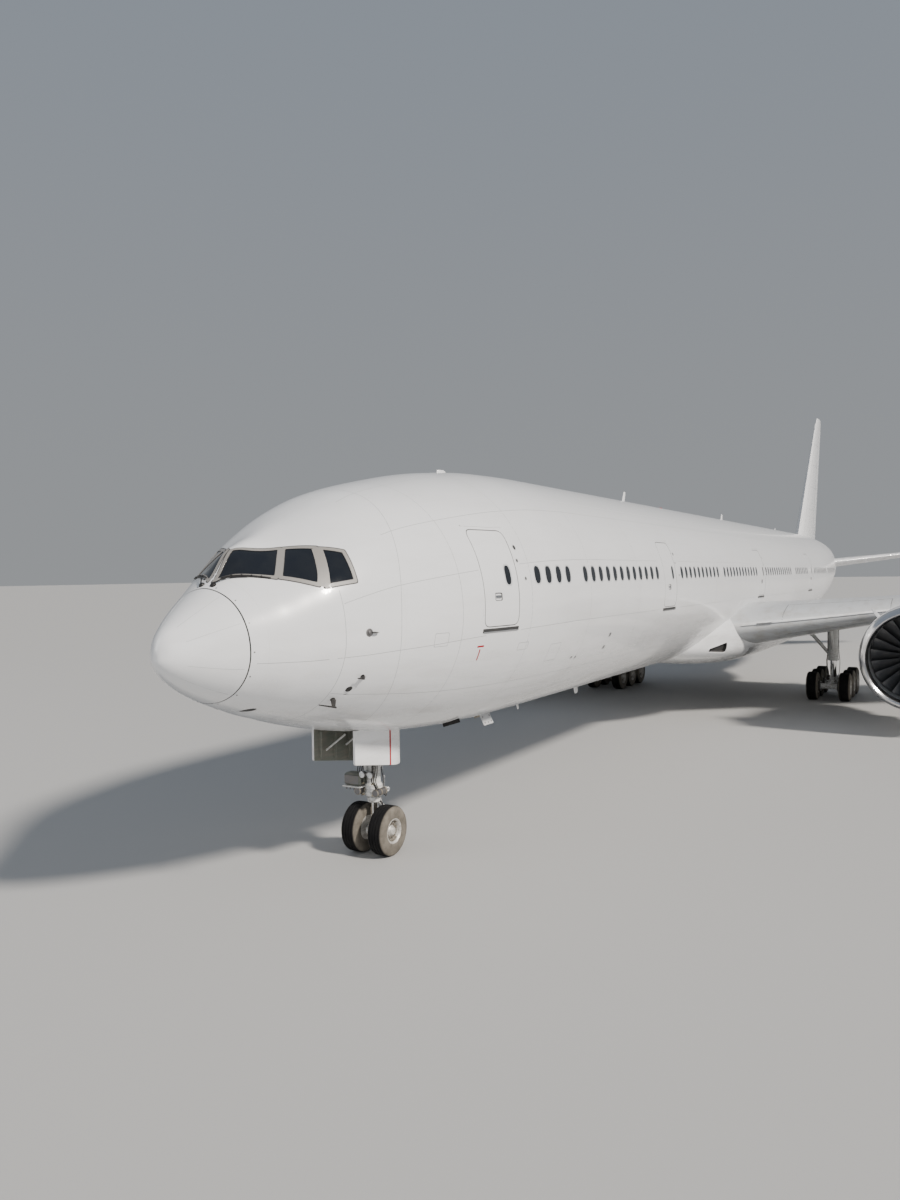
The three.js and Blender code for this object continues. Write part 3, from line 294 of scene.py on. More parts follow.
def rounded(corners: Points, radius: float, steps: int = 6) -> Array:
    """A closed outline with round corners.

    Args:
        corners: The corners, in order.
        radius: Radius of each corner.
        steps: Points in each corner, less one.

    Returns:
        Points of the outline.
    """
    corners = np.asarray(corners, float)
    found = []
    for i, corner in enumerate(corners):
        before, after = corners[i - 1] - corner, corners[(i + 1) % len(corners)] - corner
        a, b = before / np.linalg.norm(before), after / np.linalg.norm(after)
        half = math.acos(float(np.clip(a @ b, -1, 1))) / 2
        reach = min(radius / math.tan(half), 0.45 * min(np.linalg.norm(before), np.linalg.norm(after)))
        start, end = corner + a * reach, corner + b * reach
        for step in range(steps + 1):
            t = step / steps
            found.append((1 - t) ** 2 * start + 2 * t * (1 - t) * corner + t**2 * end)
    return np.array(found)


def rectangle(aft: float, up: float, width: float, height: float, radius: float, steps: int = 6) -> Array:
    """A rectangle with round corners, about a centre."""
    w, h = width / 2, height / 2
    corners = [(aft - w, up - h), (aft + w, up - h), (aft + w, up + h), (aft - w, up + h)]
    return rounded(corners, radius, steps)


def oval(aft: float, up: float, width: float, height: float, count: int = 28,
         fullness: float = 2.6) -> Array:
    """A window's outline: a full ellipse about a centre."""
    angle = np.linspace(0, 2 * math.pi, count, endpoint=False)
    s, c = np.sin(angle), np.cos(angle)
    power = 2 / fullness
    return np.stack([
        aft + width / 2 * np.sign(c) * np.abs(c) ** power,
        up + height / 2 * np.sign(s) * np.abs(s) ** power,
    ], axis=-1)


def grown(outline: Array, by: float) -> Array:
    """An outline moved outwards by a distance."""
    before, after = np.roll(outline, 1, axis=0), np.roll(outline, -1, axis=0)
    along = after - before
    along = along / np.maximum(np.linalg.norm(along, axis=1, keepdims=True), 1e-9)
    outward = np.stack([along[:, 1], -along[:, 0]], axis=-1)
    centre = outline.mean(axis=0)
    if ((outline - centre) * outward).sum() < 0:
        outward = -outward
    return outline + outward * by


def mitred(corners: Array, by: float) -> Array:
    """A shape of straight edges moved outwards by a distance, with its corners kept."""
    along = np.roll(corners, -1, axis=0) - corners
    along = along / np.linalg.norm(along, axis=1, keepdims=True)
    outward = np.stack([along[:, 1], -along[:, 0]], axis=-1)
    if ((corners - corners.mean(axis=0)) * outward).sum() < 0:
        outward = -outward
    before = np.roll(outward, 1, axis=0)
    return corners + (outward + before) * by / (1 + (outward * before).sum(axis=1, keepdims=True))


def divided(outline: Array, like: Array | None = None, step: float = 0.10) -> Array:
    """An outline with extra points, so that no edge of it, or of one like it, is longer than a step."""
    like = outline if like is None else like
    counts = np.ceil(np.linalg.norm(np.roll(like, -1, axis=0) - like, axis=1) / step).astype(int).clip(1)
    ends = np.roll(outline, -1, axis=0)
    return np.array([start + (end - start) * i / count
                     for start, end, count in zip(outline, ends, counts) for i in range(count)])


def ring_faces(count: int, sides: int) -> list[tuple[int, ...]]:
    """The faces between closed rings of points that follow each other."""
    return [(r * sides + i, r * sides + (i + 1) % sides, (r + 1) * sides + (i + 1) % sides,
             (r + 1) * sides + i)
            for r in range(count - 1) for i in range(sides)]


class Shape:
    """Points and faces that grow into one mesh, each face with the number of its finish."""

    def __init__(self) -> None:
        """Starts with nothing."""
        self.points: list[Array] = []
        self.faces: list[tuple[int, ...]] = []
        self.marks: list[int] = []
        self.count = 0

    def add(self, points: Points, faces: Iterable[Sequence[int]], mark: int = 0) -> None:
        """Adds a part with faces that count from its own first point."""
        points = np.asarray(points, float).reshape(-1, 3)
        first = self.count
        for face in faces:
            self.faces.append(tuple(first + i for i in face))
            self.marks.append(mark)
        self.points.append(points)
        self.count += len(points)

    def grid(self, rows: Array, mark: int = 0, caps: tuple[bool, bool] = (True, True)) -> None:
        """Skins closed rings of points.

        Args:
            rows: Array of rings, each an array of points.
            mark: Number of the finish.
            caps: Whether the first and the last ring are closed with a face.
        """
        rows = np.asarray(rows, float)
        count, sides = rows.shape[:2]
        faces = ring_faces(count, sides)
        if caps[0]:
            faces.append(tuple(range(sides))[::-1])
        if caps[1]:
            faces.append(tuple((count - 1) * sides + i for i in range(sides)))
        self.add(rows, faces, mark)

    def rod(self, start: Points, end: Points, radius: float, end_radius: float | None = None,
            sides: int = 24, edge: float = 0.0, mark: int = 0) -> None:
        """A round bar with chamfered ends, in model metres."""
        start, end = np.asarray(start, float), np.asarray(end, float)
        end_radius = radius if end_radius is None else end_radius
        length = float(np.linalg.norm(end - start))
        edge = min(edge, 0.4 * length, 0.6 * min(radius, end_radius))
        profile = [(0.0, radius - edge), (edge, radius), (length - edge, end_radius),
                   (length, end_radius - edge)]
        if edge <= 0:
            profile = [profile[0], profile[-1]]
        self.lathe(profile, start, end - start, sides, mark)

    def lathe(self, profile: Points, start: Points, axis: Points, sides: int = 48, mark: int = 0,
              closed: bool = False) -> None:
        """Turns a profile of distance along and radius about an axis, in model metres.

        Args:
            profile: Pairs of distance along the axis and radius.
            start: Where the axis begins.
            axis: Its direction.
            sides: Number of sides.
            mark: Number of the finish.
            closed: Whether the profile is a loop, so that the result is a ring.
        """
        direction = Vector(axis).normalized()
        turn = np.array(direction.to_track_quat("Z", "Y").to_matrix())
        angle = np.linspace(0, 2 * math.pi, sides, endpoint=False)
        rows = []
        for along, radius in profile:
            radius = max(radius, 1e-5)
            flat = np.stack([radius * np.cos(angle), radius * np.sin(angle), np.full(sides, along)],
                            axis=-1)
            rows.append(flat @ turn.T + np.asarray(start, float))
        if closed:
            rows.append(rows[0])
        self.grid(np.array(rows), mark=mark, caps=(not closed, not closed))

    def tube(self, path: Points, radius: float, sides: int = 10, mark: int = 0, steps: int = 6) -> None:
        """A hose or pipe along a smooth path through a few points, in model metres."""
        path = np.asarray(path, float)
        smooth = Profile(np.arange(len(path)),
                         path)(np.linspace(0, len(path) - 1, (len(path) - 1) * steps + 1))
        angle = np.linspace(0, 2 * math.pi, sides, endpoint=False)
        rows = []
        side = None
        for i, point in enumerate(smooth):
            along = smooth[min(i + 1, len(smooth) - 1)] - smooth[max(i - 1, 0)]
            along = along / np.linalg.norm(along)
            if side is None:
                side = np.cross(along, [0.0, 0.0, 1.0] if abs(along[2]) < 0.9 else [1.0, 0.0, 0.0])
            side = side - along * (side @ along)
            side = side / np.linalg.norm(side)
            other = np.cross(along, side)
            rows.append(point + radius * (np.cos(angle)[:, None] * side + np.sin(angle)[:, None] * other))
        self.grid(np.array(rows), mark=mark)

    def block(self, low: Points, high: Points, edge: float = 0.002, mark: int = 0,
              turn: Matrix | None = None) -> None:
        """A box with chamfered edges between two corners, in model metres, turned about its centre."""
        low, high = np.minimum(low, high).astype(float), np.maximum(low, high).astype(float)
        centre, half = (low + high) / 2, (high - low) / 2
        edge = min(edge, 0.4 * float(half.min()))
        rings = []
        for z, inset in ((-1, edge), (-1, 0.0), (1, 0.0), (1, edge)):
            x, y = half[0] - inset, half[1] - inset
            level = z * (half[2] if inset else half[2] - edge)
            ring = []
            for sx, sy in ((1, 1), (-1, 1), (-1, -1), (1, -1)):
                first = (sx * x, sy * (y - edge)) if sx * sy > 0 else (sx * (x - edge), sy * y)
                second = (sx * (x - edge), sy * y) if sx * sy > 0 else (sx * x, sy * (y - edge))
                ring += [(*first, level), (*second, level)]
            rings.append(ring)
        points = np.array(rings)
        if turn is not None:
            points = points @ np.array(turn.to_3x3()).T
        self.grid(points + centre, mark=mark)

    def slab(self, spot: Spot, outline: Array, high: float, low: float, rings: int = 5, edge: float = 0.0,
             mark: int = 0) -> None:
        """A plate that follows a body's surface.

        Args:
            spot: Where it lies.
            outline: The plate's outline.
            high: Height of its outer face over the surface, in model metres.
            low: Height of its inner face.
            rings: Rings of points between the centre and the outline.
            edge: Radius of the outer face's edge, in model metres.
            mark: Number of the finish.
        """
        outline = divided(outline)
        centre = outline.mean(axis=0)
        inner = [centre + (outline - centre) * share for share in np.linspace(0, 1, rings + 1)[1:-1]]
        rows = [(line, high) for line in inner]
        for turn in np.array([0.0, 0.35, 0.7, 1.0]) * math.pi / 2 if edge > 0 else ():
            rows.append((grown(outline, -edge / SCALE * (1 - math.sin(turn))),
                         high - edge * (1 - math.cos(turn))))
        if edge <= 0:
            rows.append((outline, high))
        rows += [(outline, low), *((line, low) for line in inner[::-1])]
        flat, levels = np.array([line for line, _ in rows]), np.array([level for _, level in rows])
        count, sides = flat.shape[:2]
        upper = spot.world(flat, np.repeat(levels[:, None], sides, axis=1)).reshape(-1, 3)
        ends = spot.world(np.array([centre, centre]), np.array([high, low]))
        faces = ring_faces(count, sides)
        for i in range(sides):
            j = (i + 1) % sides
            last = (count - 1) * sides
            faces += [(count * sides, j, i), (count * sides + 1, last + i, last + j)]
        self.add(np.concatenate([upper, ends]), faces, mark)

    def band(self, spot: Spot, outer: Array, inner: Array, high: float, low: float, edge: float = 0.0,
             mark: int = 0) -> None:
        """A frame between two outlines that follows a body's surface, heights in model metres."""
        outer, inner = divided(outer), divided(inner, outer)
        steps = [(0.0, low), (0.0, high - edge), (edge / SCALE, high)]
        outside = [(grown(outer, -inset), level) for inset, level in steps]
        inside = [(grown(inner, inset), level) for inset, level in steps[::-1]]
        rows = [spot.world(line, level) for line, level in [*outside, *inside]]
        rows.append(rows[0])
        self.grid(np.array(rows), mark=mark, caps=(False, False))

    def ribbon(self, skin: Skin, line: Points, width: float, high: float = 0.0003, mark: int = 0) -> None:
        """A thin strip along surface points.

        Args:
            skin: The body.
            line: Surface points, full-size.
            width: Width in full-size metres.
            high: Height over the surface, in model metres.
            mark: Number of the finish.
        """
        line = np.asarray(line, float)
        across = np.cross(np.gradient(line, axis=0), skin.normal(line))
        across = across / np.linalg.norm(across, axis=1, keepdims=True) * width / 2
        rows = [skin.world(line + across * share, level)
                for share, level in ((-1, -0.001), (-0.8, high), (0.8, high), (1, -0.001))]
        self.grid(np.array(rows).transpose(1, 0, 2), mark=mark)

    def blade(self, foot: Points, up: Points, back: Points, size: tuple[float, float, float, float],
              mark: int = 0) -> None:
        """A swept fin that stands on a surface.

        Args:
            foot: Front of its foot, in model metres.
            up: Direction that it stands in.
            back: Direction of its chord.
            size: Chord, height, sweep and thickness in full-size metres.
            mark: Number of the finish.
        """
        chord, height, sweep, thick = size
        foot, up, back = (np.asarray(item, float) for item in (foot, up, back))
        across = np.cross(up, back)
        section = [(0.0, 0.0), (0.1, 0.7), (0.4, 1.0), (1.0, 0.05), (1.0, -0.05), (0.4, -1.0), (0.1, -0.7)]
        rows = []
        for rise, share in ((-0.12, 1.0), (0.0, 1.0), (0.8, 0.74), (0.95, 0.62), (1.0, 0.5)):
            middle = foot + (up * rise * height + back * sweep * max(rise, 0.0)) * SCALE
            rows.append([middle + (back * chord * share * u + across * thick / 2 * share * w) * SCALE
                         for u, w in section])
        self.grid(np.array(rows), mark=mark)

    def merge(self, other: "Shape") -> None:
        """Adds all of another shape."""
        first = self.count
        self.points += other.points
        self.faces += [tuple(first + i for i in face) for face in other.faces]
        self.marks += other.marks
        self.count += other.count

    def build(self, name: str, finishes: Sequence[bpy.types.Material],
              sharp: float = SHARP_ANGLE) -> bpy.types.Object:
        """Makes the object.

        Args:
            name: Its name.
            finishes: Materials, in the order of the faces' numbers.
            sharp: Angle in degrees past which an edge is sharp.

        Returns:
            The new object, with its faces pointing out.
        """
        mesh = bpy.data.meshes.new(name)
        mesh.from_pydata(np.concatenate(self.points).tolist(), [], self.faces)
        mesh.polygons.foreach_set("material_index", self.marks)
        for finish in finishes:
            mesh.materials.append(finish)
        tidy_mesh(mesh, sharp)
        made = bpy.data.objects.new(name, mesh)
        bpy.context.scene.collection.objects.link(made)
        return made


def tidy_mesh(mesh: bpy.types.Mesh, sharp: float = SHARP_ANGLE) -> None:
    """Merges doubled points, points the faces out, and makes the edges past an angle sharp."""
    bm = bmesh.new()
    bm.from_mesh(mesh)
    bmesh.ops.remove_doubles(bm, verts=bm.verts, dist=1e-5)
    bmesh.ops.dissolve_degenerate(bm, edges=bm.edges, dist=1e-6)
    bmesh.ops.recalc_face_normals(bm, faces=bm.faces)
    limit = math.radians(sharp)
    for face in bm.faces:
        face.smooth = True
    for edge in bm.edges:
        edge.smooth = len(edge.link_faces) == 2 and edge.calc_face_angle(0.0) < limit
    bm.to_mesh(mesh)
    bm.free()


def settle(piece: bpy.types.Object, body: str, slot: Slot, *nodes: str) -> bpy.types.Object:
    """Sets a piece on its body.

    Args:
        piece: The piece, in place.
        body: Name of the body that it moves with.
        slot: The record's slot for its finish; not used.
        nodes: Names of the nodes that it stands for.

    Returns:
        The piece.
    """
    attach(piece, body)
    if nodes:
        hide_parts(*nodes)
    log.info("%s: %d faces on %s", piece.name, len(piece.data.polygons), body)
    return piece


def carve(target: bpy.types.Object, cutters: Shape, operation: str = "DIFFERENCE") -> None:
    """Cuts a closed shape out of a piece, or keeps only what they share."""
    weld(target, cutters.build("cutter", []), operation)
    tidy_mesh(target.data)


def weld(target: bpy.types.Object, tool: bpy.types.Object, operation: str = "UNION") -> None:
    """Joins a closed piece to another, or cuts it out, and removes it."""
    modifier = target.modifiers.new("weld", "BOOLEAN")
    modifier.operation, modifier.object, modifier.solver = operation, tool, "MANIFOLD"
    flatten(target)
    bpy.data.objects.remove(tool)


def flatten(target: bpy.types.Object) -> None:
    """Applies a piece's modifiers to its mesh."""
    graph = bpy.context.evaluated_depsgraph_get()
    made = bpy.data.meshes.new_from_object(target.evaluated_get(graph), depsgraph=graph)
    target.modifiers.clear()
    target.data = made


def skin_normals(target: bpy.types.Object, skin: Skin, sink: float = 0.0) -> None:
    """Gives a piece's outer faces the normals of the body's own skin, so that cuts don't show in the shine.

    Args:
        target: The piece.
        skin: The body.
        sink: How deep below the surface those faces lie, in model metres.
    """
    mesh = target.data
    points = np.zeros(len(mesh.vertices) * 3)
    mesh.vertices.foreach_get("co", points)
    points = points.reshape(-1, 3) / SCALE + vec(0.0, LENGTH / 2, -skin.base_up)
    smooth = skin.normal(points)
    half = np.maximum(skin.row(points[:, 1])[2], 0.1)
    depth = np.abs((1 - skin.measure(points)) * half - sink / SCALE)
    loops = np.zeros(len(mesh.loops) * 3)
    mesh.corner_normals.foreach_get("vector", loops)
    loops = loops.reshape(-1, 3)
    for face in mesh.polygons:
        corners = np.array(face.vertices)
        if (depth[corners] < 0.009).all() and smooth[corners].mean(axis=0) @ np.array(face.normal) > 0.9:
            loops[face.loop_start: face.loop_start + face.loop_total] = smooth[corners]
    mesh.normals_split_custom_set(loops.tolist())


class Board:
    """A node tree while it is wired."""

    def __init__(self, tree: bpy.types.NodeTree) -> None:
        """Takes the tree."""
        self.tree = tree

    def node(self, kind: str, **settings: object) -> bpy.types.Node:
        """Adds a node with its settings."""
        made = self.tree.nodes.new(kind)
        for name, value in settings.items():
            setattr(made, name, value)
        return made

    def feed(self, target: bpy.types.NodeSocket, value: object) -> None:
        """Links a socket, or sets the value, that a socket takes."""
        if isinstance(value, bpy.types.NodeSocket):
            self.tree.links.new(value, target)
        else:
            target.default_value = value

    def math(self, operation: str, *values: object, clamp: bool = False) -> bpy.types.NodeSocket:
        """A sum of one to three values."""
        made = self.node("ShaderNodeMath", operation=operation, use_clamp=clamp)
        for i, value in enumerate(values):
            self.feed(made.inputs[i], value)
        return made.outputs[0]

    def ramp(self, value: object, low: float, high: float, start: float = 0.0,
             end: float = 1.0) -> bpy.types.NodeSocket:
        """Maps a value smoothly from one range to another."""
        made = self.node("ShaderNodeMapRange", interpolation_type="SMOOTHSTEP")
        for i, item in enumerate((value, low, high, start, end)):
            self.feed(made.inputs[i], item)
        return made.outputs[0]

    def mix(self, mask: object, first: object, second: object) -> bpy.types.NodeSocket:
        """A colour between two, by a mask."""
        made = self.node("ShaderNodeMix", data_type="RGBA")
        self.feed(made.inputs[0], mask)
        self.feed(made.inputs[6], first)
        self.feed(made.inputs[7], second)
        return made.outputs[2]

    def noise(self, vector: object, scale: object, detail: float = 3.0,
              rough: float = 0.55) -> bpy.types.NodeSocket:
        """Cloudy noise from 0 to 1."""
        made = self.node("ShaderNodeTexNoise")
        self.feed(made.inputs["Vector"], vector)
        self.feed(made.inputs["Scale"], scale)
        self.feed(made.inputs["Detail"], detail)
        self.feed(made.inputs["Roughness"], rough)
        return made.outputs[0]

    def stretched(self, vector: object, scale: Sequence[float]) -> bpy.types.NodeSocket:
        """A place scaled by another amount along each axis."""
        made = self.node("ShaderNodeMapping")
        self.feed(made.inputs["Vector"], vector)
        made.inputs["Scale"].default_value = scale
        return made.outputs[0]


def rgba(colour: Sequence[float]) -> tuple[float, float, float, float]:
    """A colour with its alpha."""
    return (*colour[:3], 1.0)


class Effects:
    """Node groups that several finishes share, each made once."""

    @staticmethod
    def group(name: str, inputs: dict[str, tuple[str, object]],
              outputs: Sequence[str]) -> tuple[bpy.types.NodeTree, Board, bpy.types.Node, bpy.types.Node]:
        """Starts a group.

        Args:
            name: Its name.
            inputs: Name, socket type and default of each input.
            outputs: Names of the outputs, all values.

        Returns:
            The group, its board, and its input and output nodes.
        """
        tree = bpy.data.node_groups.new(name, "ShaderNodeTree")
        for label, (kind, default) in inputs.items():
            socket = tree.interface.new_socket(name=label, in_out="INPUT", socket_type=kind)
            if default is not None:
                socket.default_value = default
        for label in outputs:
            tree.interface.new_socket(name=label, in_out="OUTPUT", socket_type="NodeSocketFloat")
        board = Board(tree)
        return tree, board, board.node("NodeGroupInput"), board.node("NodeGroupOutput")

    @staticmethod
    def lines(board: Board, value: object, pitch: object, width: object) -> bpy.types.NodeSocket:
        """A mask of lines at every pitch along a value, soft at their edges."""
        turns = board.math("DIVIDE", value, pitch)
        away = board.math("ABSOLUTE", board.math("SUBTRACT", board.math("FRACT", turns), 0.5))
        distance = board.math("MULTIPLY", board.math("SUBTRACT", 0.5, away), pitch)
        return board.math("SUBTRACT", 1.0, board.math("DIVIDE", distance, width, clamp=True))

    @classmethod
    def round_joints(cls) -> bpy.types.NodeTree:
        """Skin joints of a round body: rings along Y, and laps along its length."""
        float_kind = "NodeSocketFloat"
        tree, board, entry, leave = cls.group("round_joints", {
            "Place": ("NodeSocketVector", None),
            "Axis Height": (float_kind, AXIS_UP * SCALE),
            "Ring Pitch": (float_kind, 1.27),
            "Lap Pitch": (float_kind, 0.698),
            "Width": (float_kind, 0.0022),
        }, ["Mask"])
        split = board.node("ShaderNodeSeparateXYZ")
        board.feed(split.inputs[0], entry.outputs["Place"])
        x, y, z = split.outputs
        rings = cls.lines(board, y, entry.outputs["Ring Pitch"], entry.outputs["Width"])
        rise = board.math("SUBTRACT", z, entry.outputs["Axis Height"])
        angle = board.math("ARCTAN2", x, rise)
        radius = board.math("SQRT", board.math("ADD", board.math("MULTIPLY", x, x),
                                               board.math("MULTIPLY", rise, rise)))
        thin = board.math("DIVIDE", entry.outputs["Width"], board.math("MAXIMUM", radius, 0.05))
        laps = cls.lines(board, angle, entry.outputs["Lap Pitch"], thin)
        board.feed(leave.inputs["Mask"], board.math("MAXIMUM", rings, board.math("MULTIPLY", laps, 0.8)))
        return tree

    @classmethod
    def flat_joints(cls) -> bpy.types.NodeTree:
        """Skin joints of a flat surface: a grid along X and along a slanting line."""
        float_kind = "NodeSocketFloat"
        tree, board, entry, leave = cls.group("flat_joints", {
            "Place": ("NodeSocketVector", None),
            "Pitch": (float_kind, 1.3),
            "Chord Pitch": (float_kind, 0.62),
            "Sweep": (float_kind, 0.62),
            "Width": (float_kind, 0.0022),
        }, ["Mask"])
        split = board.node("ShaderNodeSeparateXYZ")
        board.feed(split.inputs[0], entry.outputs["Place"])
        x, y, z = split.outputs
        out = board.math("ADD", board.math("ABSOLUTE", x), z)
        swept = board.math("SUBTRACT", y, board.math("MULTIPLY", out, entry.outputs["Sweep"]))
        across = cls.lines(board, out, entry.outputs["Pitch"], entry.outputs["Width"])
        along = cls.lines(board, swept, entry.outputs["Chord Pitch"], entry.outputs["Width"])
        board.feed(leave.inputs["Mask"], board.math("MAXIMUM", across, along))
        return tree

    @classmethod
    def wear(cls) -> bpy.types.NodeTree:
        """Dirt in clouds and streaks, more of it low down, and a fine grain."""
        float_kind = "NodeSocketFloat"
        tree, board, entry, leave = cls.group("wear", {
            "Place": ("NodeSocketVector", None),
            "Scale": (float_kind, 1.0),
            "Low": (float_kind, 1.2),
            "High": (float_kind, 2.6),
            "Grain Scale": (float_kind, 60.0),
        }, ["Dirt", "Cloud", "Grain"])
        where = entry.outputs["Place"]
        split = board.node("ShaderNodeSeparateXYZ")
        board.feed(split.inputs[0], where)
        low = board.ramp(split.outputs[2], entry.outputs["Low"], entry.outputs["High"], 1.0, 0.0)
        cloud = board.noise(where, board.math("MULTIPLY", entry.outputs["Scale"], 1.3), 5.0)
        streak = board.noise(board.stretched(where, (3.0, 0.5, 5.0)),
                             board.math("MULTIPLY", entry.outputs["Scale"], 1.6), 6.0, 0.62)
        dirt = board.math("MULTIPLY", board.ramp(streak, 0.42, 0.72),
                          board.math("ADD", board.math("MULTIPLY", low, 0.85), 0.15))
        board.feed(leave.inputs["Dirt"], dirt)
        board.feed(leave.inputs["Cloud"], board.ramp(cloud, 0.35, 0.7))
        board.feed(leave.inputs["Grain"], board.noise(where, entry.outputs["Grain Scale"], 3.0, 0.6))
        return tree


class Joints(Enum):
    """Which skin joints a finish shows."""

    NONE = "none"
    ROUND = "round_joints"
    FLAT = "flat_joints"


GROUPS: dict[str, bpy.types.NodeTree] = {}


def shared(name: str) -> bpy.types.NodeTree:
    """A shared group by name, made at its first use."""
    if name not in GROUPS:
        GROUPS[name] = getattr(Effects, name)()
    return GROUPS[name]


@dataclass(frozen=True)
class Finish:
    """A painted, metal, rubber or glass surface."""

    name: str
    colour: tuple[float, float, float]
    roughness: float = 0.3
    metallic: float = 0.0
    coat: float = 0.0
    dirt_colour: tuple[float, float, float] = (0.30, 0.27, 0.23)
    dirt: float = 0.3
    cloud: float = 0.04
    scale: float = 1.0
    low: float = 1.2
    high: float = 2.6
    grain: float = 0.02
    grain_scale: float = 60.0
    joints: Joints = Joints.NONE
    joint_pitch: tuple[float, float] = (1.27, 0.698)
    joint_depth: float = 0.35
    glow: float = 0.0
    ior: float = 1.5
    specular: float = 0.5

    def start(self) -> tuple[bpy.types.Material, Board, bpy.types.Node, bpy.types.NodeSocket]:
        """A material with its shader, and the place on the piece."""
        material = bpy.data.materials.new(self.name)
        material.use_nodes = True
        material.diffuse_color = rgba(self.colour)
        board = Board(material.node_tree)
        shader = material.node_tree.nodes["Principled BSDF"]
        shader.inputs["Metallic"].default_value = self.metallic
        shader.inputs["Coat Weight"].default_value = self.coat
        shader.inputs["Coat Roughness"].default_value = 0.06
        shader.inputs["IOR"].default_value = self.ior
        shader.inputs["Specular IOR Level"].default_value = self.specular
        if self.glow:
            shader.inputs["Emission Color"].default_value = rgba(self.colour)
            shader.inputs["Emission Strength"].default_value = self.glow
        return material, board, shader, board.node("ShaderNodeTexCoord").outputs["Object"]

    def base(self, board: Board, where: bpy.types.NodeSocket) -> object:
        """The colour before dirt, the same all over unless a kind of finish varies it."""
        return rgba(self.colour)

    def height(self, board: Board, where: bpy.types.NodeSocket,
               grain: bpy.types.NodeSocket) -> bpy.types.NodeSocket:
        """The height that the bump follows, before joints."""
        return board.math("MULTIPLY", grain, self.grain)

    def material(self) -> bpy.types.Material:
        """Builds the material."""
        material, board, shader, where = self.start()
        wear = board.node("ShaderNodeGroup", node_tree=shared("wear"))
        board.feed(wear.inputs["Place"], where)
        wear.inputs["Scale"].default_value = self.scale
        wear.inputs["Low"].default_value, wear.inputs["High"].default_value = self.low, self.high
        wear.inputs["Grain Scale"].default_value = self.grain_scale
        dirt = board.math("MULTIPLY", wear.outputs["Dirt"], self.dirt)
        cloud = board.math("MULTIPLY", wear.outputs["Cloud"], self.cloud)
        mask = board.math("ADD", dirt, cloud, clamp=True)
        height = self.height(board, where, wear.outputs["Grain"])
        if self.joints is not Joints.NONE:
            joints = board.node("ShaderNodeGroup", node_tree=shared(self.joints.value))
            board.feed(joints.inputs["Place"], where)
            labels = ("Ring Pitch", "Lap Pitch") if self.joints is Joints.ROUND else ("Pitch", "Chord Pitch")
            for label, pitch in zip(labels, self.joint_pitch):
                joints.inputs[label].default_value = pitch
            line = joints.outputs["Mask"]
            mask = board.math("MAXIMUM", mask, board.math("MULTIPLY", line, self.joint_depth))
            height = board.math("SUBTRACT", height, board.math("MULTIPLY", line, 0.5))
        board.feed(shader.inputs["Base Color"],
                   board.mix(mask, self.base(board, where), rgba(self.dirt_colour)))
        rough = board.math("ADD", board.math("MULTIPLY", wear.outputs["Grain"], 0.06),
                           self.roughness - 0.03)
        board.feed(shader.inputs["Roughness"],
                   board.math("ADD", rough, board.math("MULTIPLY", mask, 0.35), clamp=True))
        bump = board.node("ShaderNodeBump")
        bump.inputs["Strength"].default_value = 0.35
        bump.inputs["Distance"].default_value = 0.002
        board.feed(bump.inputs["Height"], height)
        board.feed(shader.inputs["Normal"], bump.outputs[0])
        return material


@dataclass(frozen=True)
class TyreRubber(Finish):
    """Rubber with pale dust on the sidewalls, measured from each wheel's own axle."""

    dust: tuple[float, float, float] = (0.205, 0.185, 0.155)

    def base(self, board: Board, where: bpy.types.NodeSocket) -> object:
        """Black tread and dusty walls, by the way that the surface faces."""
        split = board.node("ShaderNodeSeparateXYZ")
        board.feed(split.inputs[0], board.node("ShaderNodeTexCoord").outputs["Normal"])
        wall = board.ramp(board.math("ABSOLUTE", split.outputs[0]), 0.35, 0.85)
        cloud = board.noise(where, 9.0, 5.0, 0.6)
        mask = board.math("MULTIPLY", wall, board.ramp(cloud, 0.2, 0.75, 0.45, 1.0))
        return board.mix(mask, rgba(self.colour), rgba(self.dust))


@dataclass(frozen=True)
class HeatedMetal(Finish):
    """Bare metal of a hot nozzle, tinted brown in bands along Y."""

    tint: tuple[float, float, float] = (0.25, 0.215, 0.185)

    def base(self, board: Board, where: bpy.types.NodeSocket) -> object:
        """The metal's colour with a tint in soft bands."""
        bands = board.noise(board.stretched(where, (0.6, 2.5, 0.6)), 2.2, 4.0)
        return board.mix(board.ramp(bands, 0.32, 0.80), rgba(self.colour), rgba(self.tint))


